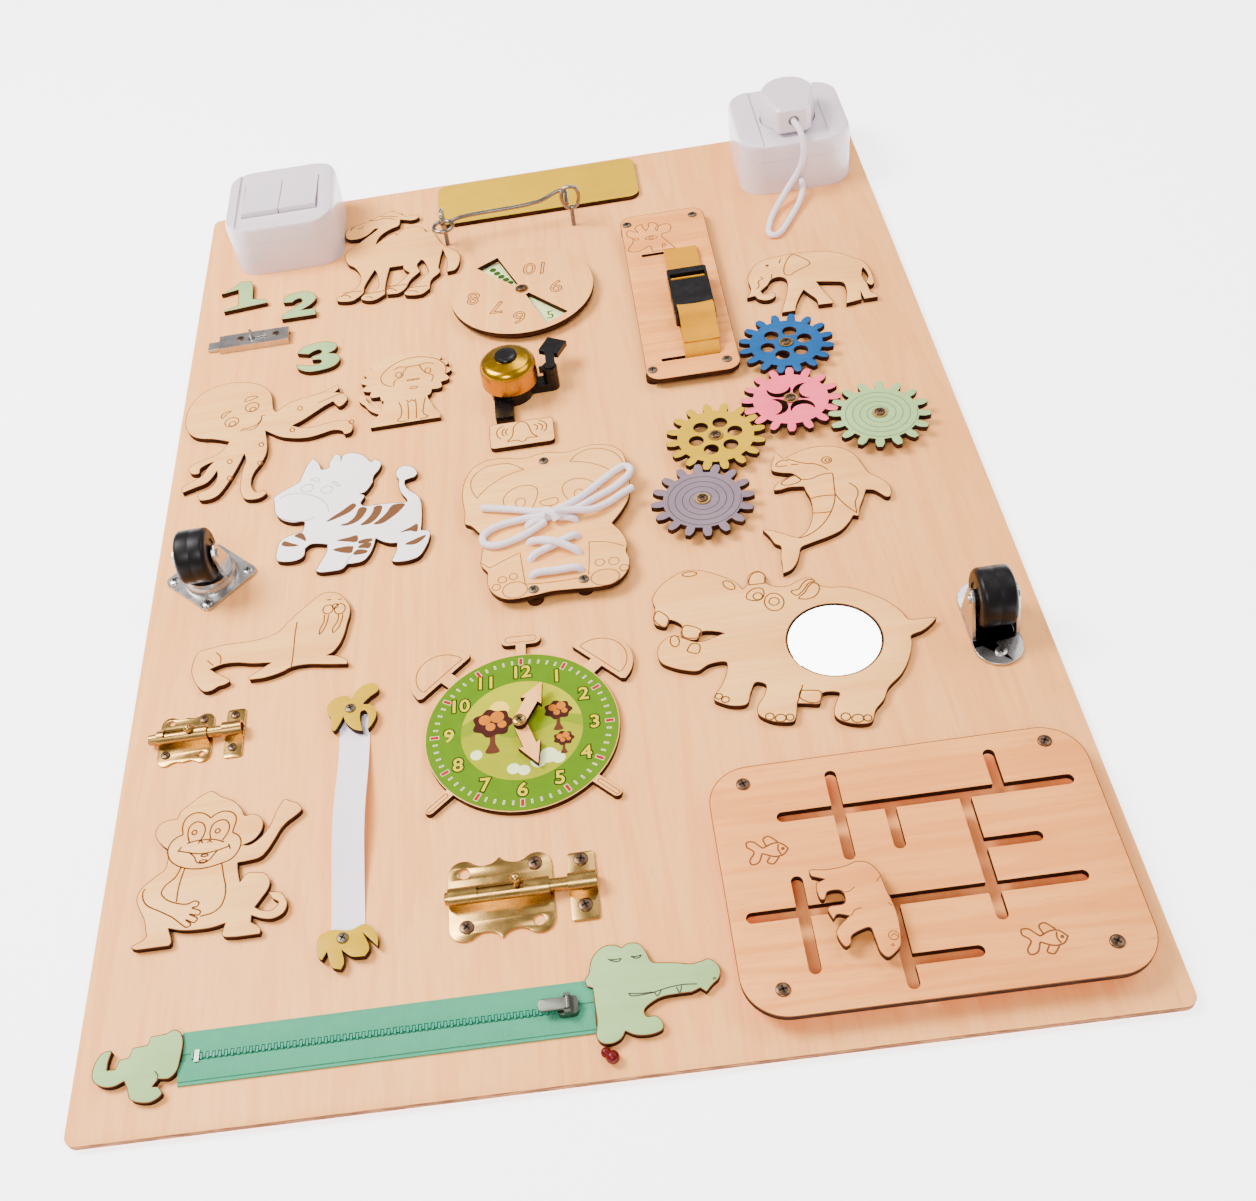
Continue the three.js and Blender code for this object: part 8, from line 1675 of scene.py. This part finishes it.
engrave("monkey_lines", strokes("""
    -7,33 -4.5,35 -1,36.2 3.5,35.2 6.2,32.5 6.8,29 6,25 5.5,22.2 / 5.5,22.2 9,19.5 10.5,15 9.2,10 6,6 1,4.3 -5,3
    -10,2.8 -16,3.8 -22,6.5 -26,10.5 -27.8,16 -26.5,21 -23.5,23.8 -20.7,24.8 / -20.7,24.8 -21.5,30 -20,35
    -16,37.4 -11.5,36.8 -8.5,34.7 -7,33 / -16.8,19.2 -18.2,25 -17.5,29.5 -14.5,31.7 -11,30.5 -9.2,26.5 -9.8,22.5
    -11,20 / -5.7,20 -6.5,24 -5.3,28.8 -2,30.8 1.5,30.2 3.5,26.5 2.8,22 0.5,18.2 / o-14.8,25.3 1.3 / o-2.5,24.3
    1.3 / -18,19 -15,19.8 -11,20 -5.5,19.7 -2,18.7 1.5,17 / -12,18.2 -11.2,19.6 -9.6,18.2 / -7.4,18 -6.2,19
    -5,17.8 / -22.2,15.2 -17,13.5 -12,12 -7,11.7 -1,12.5 4.5,14.2 / -22.5,14.6 -20.7,17.5 / 4,15.5 5.2,12.2 /
    -16.5,13.5 -13.5,10.5 -11.5,6.7 -8,6 -5.2,7.5 -3,10.5 -1.5,12.3 / o-8,10.4 1.9 0.7 / o-8.5,7 1.9 0.8 /
    -17.5,4.5 -18.7,-1 -19.7,-8 -19.8,-15 / 1.5,4.2 3,-3 4.7,-10 4.7,-16 3,-21 -1,-24 -7,-25 / -19.5,5.3
    -22,-0.5 -26.5,-4.5 -28.2,-8.5 -25.5,-12.5 -19.5,-15.8 -14,-17 -10.5,-15.8 -8.2,-17 -8.8,-19 -11.5,-19.5
    -7,-22 -7.5,-24 -12.5,-23 -8,-26 -9.5,-28 -14,-25.8 -11,-29 -13,-30.2 -16,-28 -21,-23.5 -28,-19 -35,-14.5
    -37.5,-10 -37.7,-6.5 -36.8,-5""", -190, -240), width=0.8, made=engraved_line)
engrave("lacing_lines", strokes("""
    -49.7,27.4 -52.7,34.8 -53.1,43.6 -50,49.8 -43.7,54.6 -36.2,55.8 -28.7,54.6 -23.7,51.1 -20,47.3 / -50,27.7
    -45,34.2 -37.5,40.5 -30,44.8 -20,47.6 / 8.5,48.8 13.1,54.2 19.4,57.1 26.2,57.1 32.5,54.2 37.5,49.2 40.2,42.3
    40,37.3 / 8.5,48.6 16.2,46.7 23.7,43 30,38 34.4,31.7 / -31.9,13.6 -33.7,18.6 -33.7,24.2 -30.6,29.2
    -24.4,32.7 -18.1,32.7 -13.7,29.8 -12.9,24.9 -14.4,18.6 -16.9,12.4 / o-23.7,18.6 3 4 / 6,13.6 3.1,19.2
    2.2,26.1 4.4,30.1 10,32.6 16.2,31.1 21.9,26.1 23.7,19.9 / o11.9,18.9 3 4 / @-9.7,17.6 -1.9,18.4 -1.5,13.6
    -6.9,12.4 -10.6,13.6 -11.9,16.7 / -6,12.4 -6,8.6 / -15,11.7 -13.1,8.6 -8.7,7.1 / 1.2,11.1 0,8.6 -3.7,7.4 /
    -26.2,-23.5 -25.4,-36.4 -24.7,-46.4 -24.4,-50.1 / -44.4,-32.6 -35,-27.6 -26.9,-23.9 / -49.4,-27.4
    -44.4,-32.6 / 14.4,-22.6 13.5,-35.1 11.9,-48.9 / 14.4,-22.9 25,-25.1 34.4,-30.1 / -23.7,-49.4 -14,-50.4
    -2,-50.6 10,-50.1 / o-37.5,-43.3 2.5 / o-31,-42 2.4 / o-41.2,-48.6 2.4 / o-30.6,-52.6 7.2 6.2 / o19.1,-40.5
    2.7 / o27.2,-41 3 / o32.5,-47.3 2.6 / o21.2,-52.6 8.2 6.2""", 0, -28.6), top=PANDA_TOP, made=engraved_faint,
    width=0.6)
engrave("plaque_bell", strokes("""
    -9.5,-6.7 -6.5,-2.5 -5.5,1.5 -5,6 -3,9 0,10.7 3.5,8.5 5,4.5 6,-0.5 8,-4 10,-6 / 10,-6 3,-6 2,-8 -0.5,-8.7
    -3,-6.7 -9.5,-6.7 / -11.5,9 -15,6.5 -16,2.5 -15,-1.5 -13.5,-3 / -10.5,6.5 -12.5,3.5 -12.2,0.5 -11,-1 /
    -8.5,6 -10,4 -10.2,1.5 -9.2,-0.3 / 11.5,9.5 15,7 16.2,3.5 15.5,0 14,-2 / 10.5,7 13,5 13.5,2.5 12.5,-0.5 /
    8,6.5 10,4.5 10.2,2 9,0.5""", -20, 59.5), width=0.75, made=engraved_line)
FISH = """
    -8.7,2.5 -8.3,5 -5.3,5 -2.8,2.5 -1.2,0.8 / -1.2,0.8 3.8,2.8 7.2,2.5 10.5,-0.8 / 10.5,-0.8 8,-3.8 3.8,-4.5
    -2,-2 / -2,-2 -4.5,-6.7 -7.8,-7.2 -8.3,-5 -5.7,-0.8 -8.7,2.5 / 0.5,1.7 -0.3,5.8 2.2,7 6.3,3.3 / 1.3,-4.2
    -0.3,-7 2.2,-8.3 5.5,-5 / 6.3,2 5.7,-0.8 6.7,-3.7 / o8,-0.7 0.5"""
for title, x, y in (("one", 80, -275), ("two", 191.7, -338.1)):
    engrave(f"maze_fish_{title}", strokes(FISH, x, y), top=MAZE_TOP, width=0.8, made=engraved_brown)
engrave("bear_lines", strokes("""
    o13.2,-13.9 2.2 / 12,-14.4 13.4,-13 14.8,-14.6 / o11.8,-18.4 0.5 / -5,10.7 -1.6,10.7 1.4,12.5 / -3,-1.8
    -1,0.8 2.4,1.8 / 11.8,14 13.8,16.4 / 14.2,2.6 15.9,0.8""", 114, -318), top=BEAR_TOP, width=0.4,
    body="bear_body")
engrave("panel_lines", strokes("""
    -12.5,10.8 -11.7,6.7 -8.7,3 -9.2,-2.5 -11.7,-6.7 -13,-10.8 -10,-13.7 -5,-13.3 -0.8,-10.8 2.5,-9.2 3.8,-16.7
    / 20,-16.7 16.7,-9.2 13.3,-2.5 12,0.8 13.3,4.2 17.5,5 20,10 18.7,14.7 12.5,15 9.7,8.3 / 9.7,8.3 8.7,11.3
    10.8,15.8 8.3,19.2 4.7,19.7 4.2,15 1.7,10.3 / 1.7,10.3 0,15.8 -0.3,19.2 -4.2,18 -5.8,14.7 -3.8,10 / -3.8,10
    -6.7,11.3 -10,14.2 -12.5,10.8 / @0,0.8 4.2,3.3 9.2,0.8 4.2,-1.7 / o-6,1.5 1.6 1.1 / o4.5,0.8 1.4 /
    @10.8,-13.3 12.5,-8.3 13.8,-10.8 / 3.8,-16.7 12,-16 20,-16.7""", 80, 245), top=PANEL_TOP, width=0.65)
engrave("crocodile_lines", strokes("""
    -20,18.4 -17.5,16.9 -15,16.6 -13.8,17.9 / -19.6,18 -17,17.7 -14.2,17.8 / -9.4,18.4 -7.5,17.1 -5.6,17.1
    -4.4,18.4 / -9.1,18.1 -6.9,17.9 -4.6,18.3 / -12.3,0 -11.3,-1.2 -7.5,-1.5 -1.3,-1 5,0.3 12.5,1 18.7,0.4 /
    -12.3,0 -7,-0.7 -1.3,-0.8 / -0.6,-1 0.4,-2.9 2.5,-0.6 / 9.4,0.2 10.6,-2.7 11.9,0.6 / 26.3,1.4 26.9,2.4
    27.6,1.7""", 20, -335), width=0.6, slot="mint_wood", made=ink_line)
engrave("crocodile_tail_line", strokes("""
    10,-3.1 11.7,-5.6 11.5,-8.1""", -220, -340), width=0.6, slot="mint_wood", made=ink_line)
engrave("zebra_lines", strokes("""
    -45,21 -41,23 -35.5,23.3 -29,21.4 -22.2,17.8 -17.2,12.8 -14.4,7.8 -13.3,2.2 / -47,7 -43.5,2.5 -38,-0.7
    -32,-2.5 -27,-2.8 -22,-0.7 / o-28,26.7 3.9 3.6 / o-15.2,22.6 3.8 3.3 / @-26,33.9 -23.5,35.5 -21,34
    -20.5,31.5 -22,31.8 -24,33.2 / @-12,28.9 -10.5,29.3 -8.5,27.4 -7,24.8 -8.5,24.2 -9.5,26.3 -11.5,28 /
    2.2,-39.4 0.5,-42 -1.1,-45.6""", -130, 10), width=0.5, slot="white_wood", made=grey_line)
STRIPES = """
    -14.8,-6.7 -11.1,-3.3 -4.4,1.7 2,6.7 4.1,4.2 0.6,-0.6 -5.6,-3.9 -11.1,-6.1 / -5.6,-11.1 -1.1,-10 3.3,-5.6
    6.3,2 10.8,0.6 9.4,-5 5.6,-10 0,-12.4 -4.4,-12.2 / 6.9,-13.9 11.1,-9.4 14.2,-4.4 15.6,0.9 20.2,0.6 19.8,-5
    16.7,-10.6 12.8,-13.9 8,-14.4 / 15,-14.7 18.3,-11.7 22.8,-6.7 27,0 34.7,-0.8 32.2,-5.6 26.7,-11.1 20.6,-15.3
    16.1,-15.3 / -41.7,-21.3 -40.2,-18.3 -35.4,-21 -30.6,-23.9 -33.3,-24.4 -39.4,-23.1 / -34.2,-15 -29.4,-13.1
    -26.3,-21.1 -30.9,-17.8 / -7.4,-24.4 0,-23.1 5.3,-22.4 5.3,-28 -1.1,-26.7 / -9.7,-31.7 3.1,-31.3 3,-33.9
    2.2,-36.9 -4.4,-35.3 / 6.1,-27.6 14.4,-26.9 14.7,-29.2 6.4,-30 / 5.8,-33.3 7.8,-30.9 14.1,-30.6 13.1,-35
    9.4,-34.4 / 3,-38.7 5.6,-34.8 12.2,-37.2 10.9,-38.9 / 31.1,-25.6 37.8,-22.2 42.2,-19.8 42,-26.9 37.8,-25.3 /
    34.4,-36.1 40,-33.3 47.6,-30.6 46.9,-32.8 41.7,-37.2 36.7,-37.2"""
for i, stripe in enumerate(STRIPES.split("/")):
    stained(f"zebra_stripe_{i + 1}", [bend(pairs(stripe, -130, 10), 3, closed=True)], TOP, stripe_brown)

# The floor under the board: a plain pale studio sweep.
floor_paint = material("floor_paint", (0.94, 0.94, 0.94), roughness=0.9)
floor_light = floor_paint.node_tree.nodes["Principled BSDF"].inputs
floor_light["Emission Color"].default_value = (1, 0.99, 0.985, 1)
floor_light["Emission Strength"].default_value = 2.6
floor_mesh = bpy.data.meshes.new("floor")
FLOOR_HALF, FLOOR_LOW = 30.0, -0.0006
floor_mesh.from_pydata([(x * FLOOR_HALF, y * FLOOR_HALF, FLOOR_LOW) for x,
                        y in ((-1, -1), (1, -1), (1, 1), (-1, 1))],
                       [], [(0, 1, 2, 3)])
floor_mesh.materials.append(floor_paint)
linked("floor", floor_mesh)
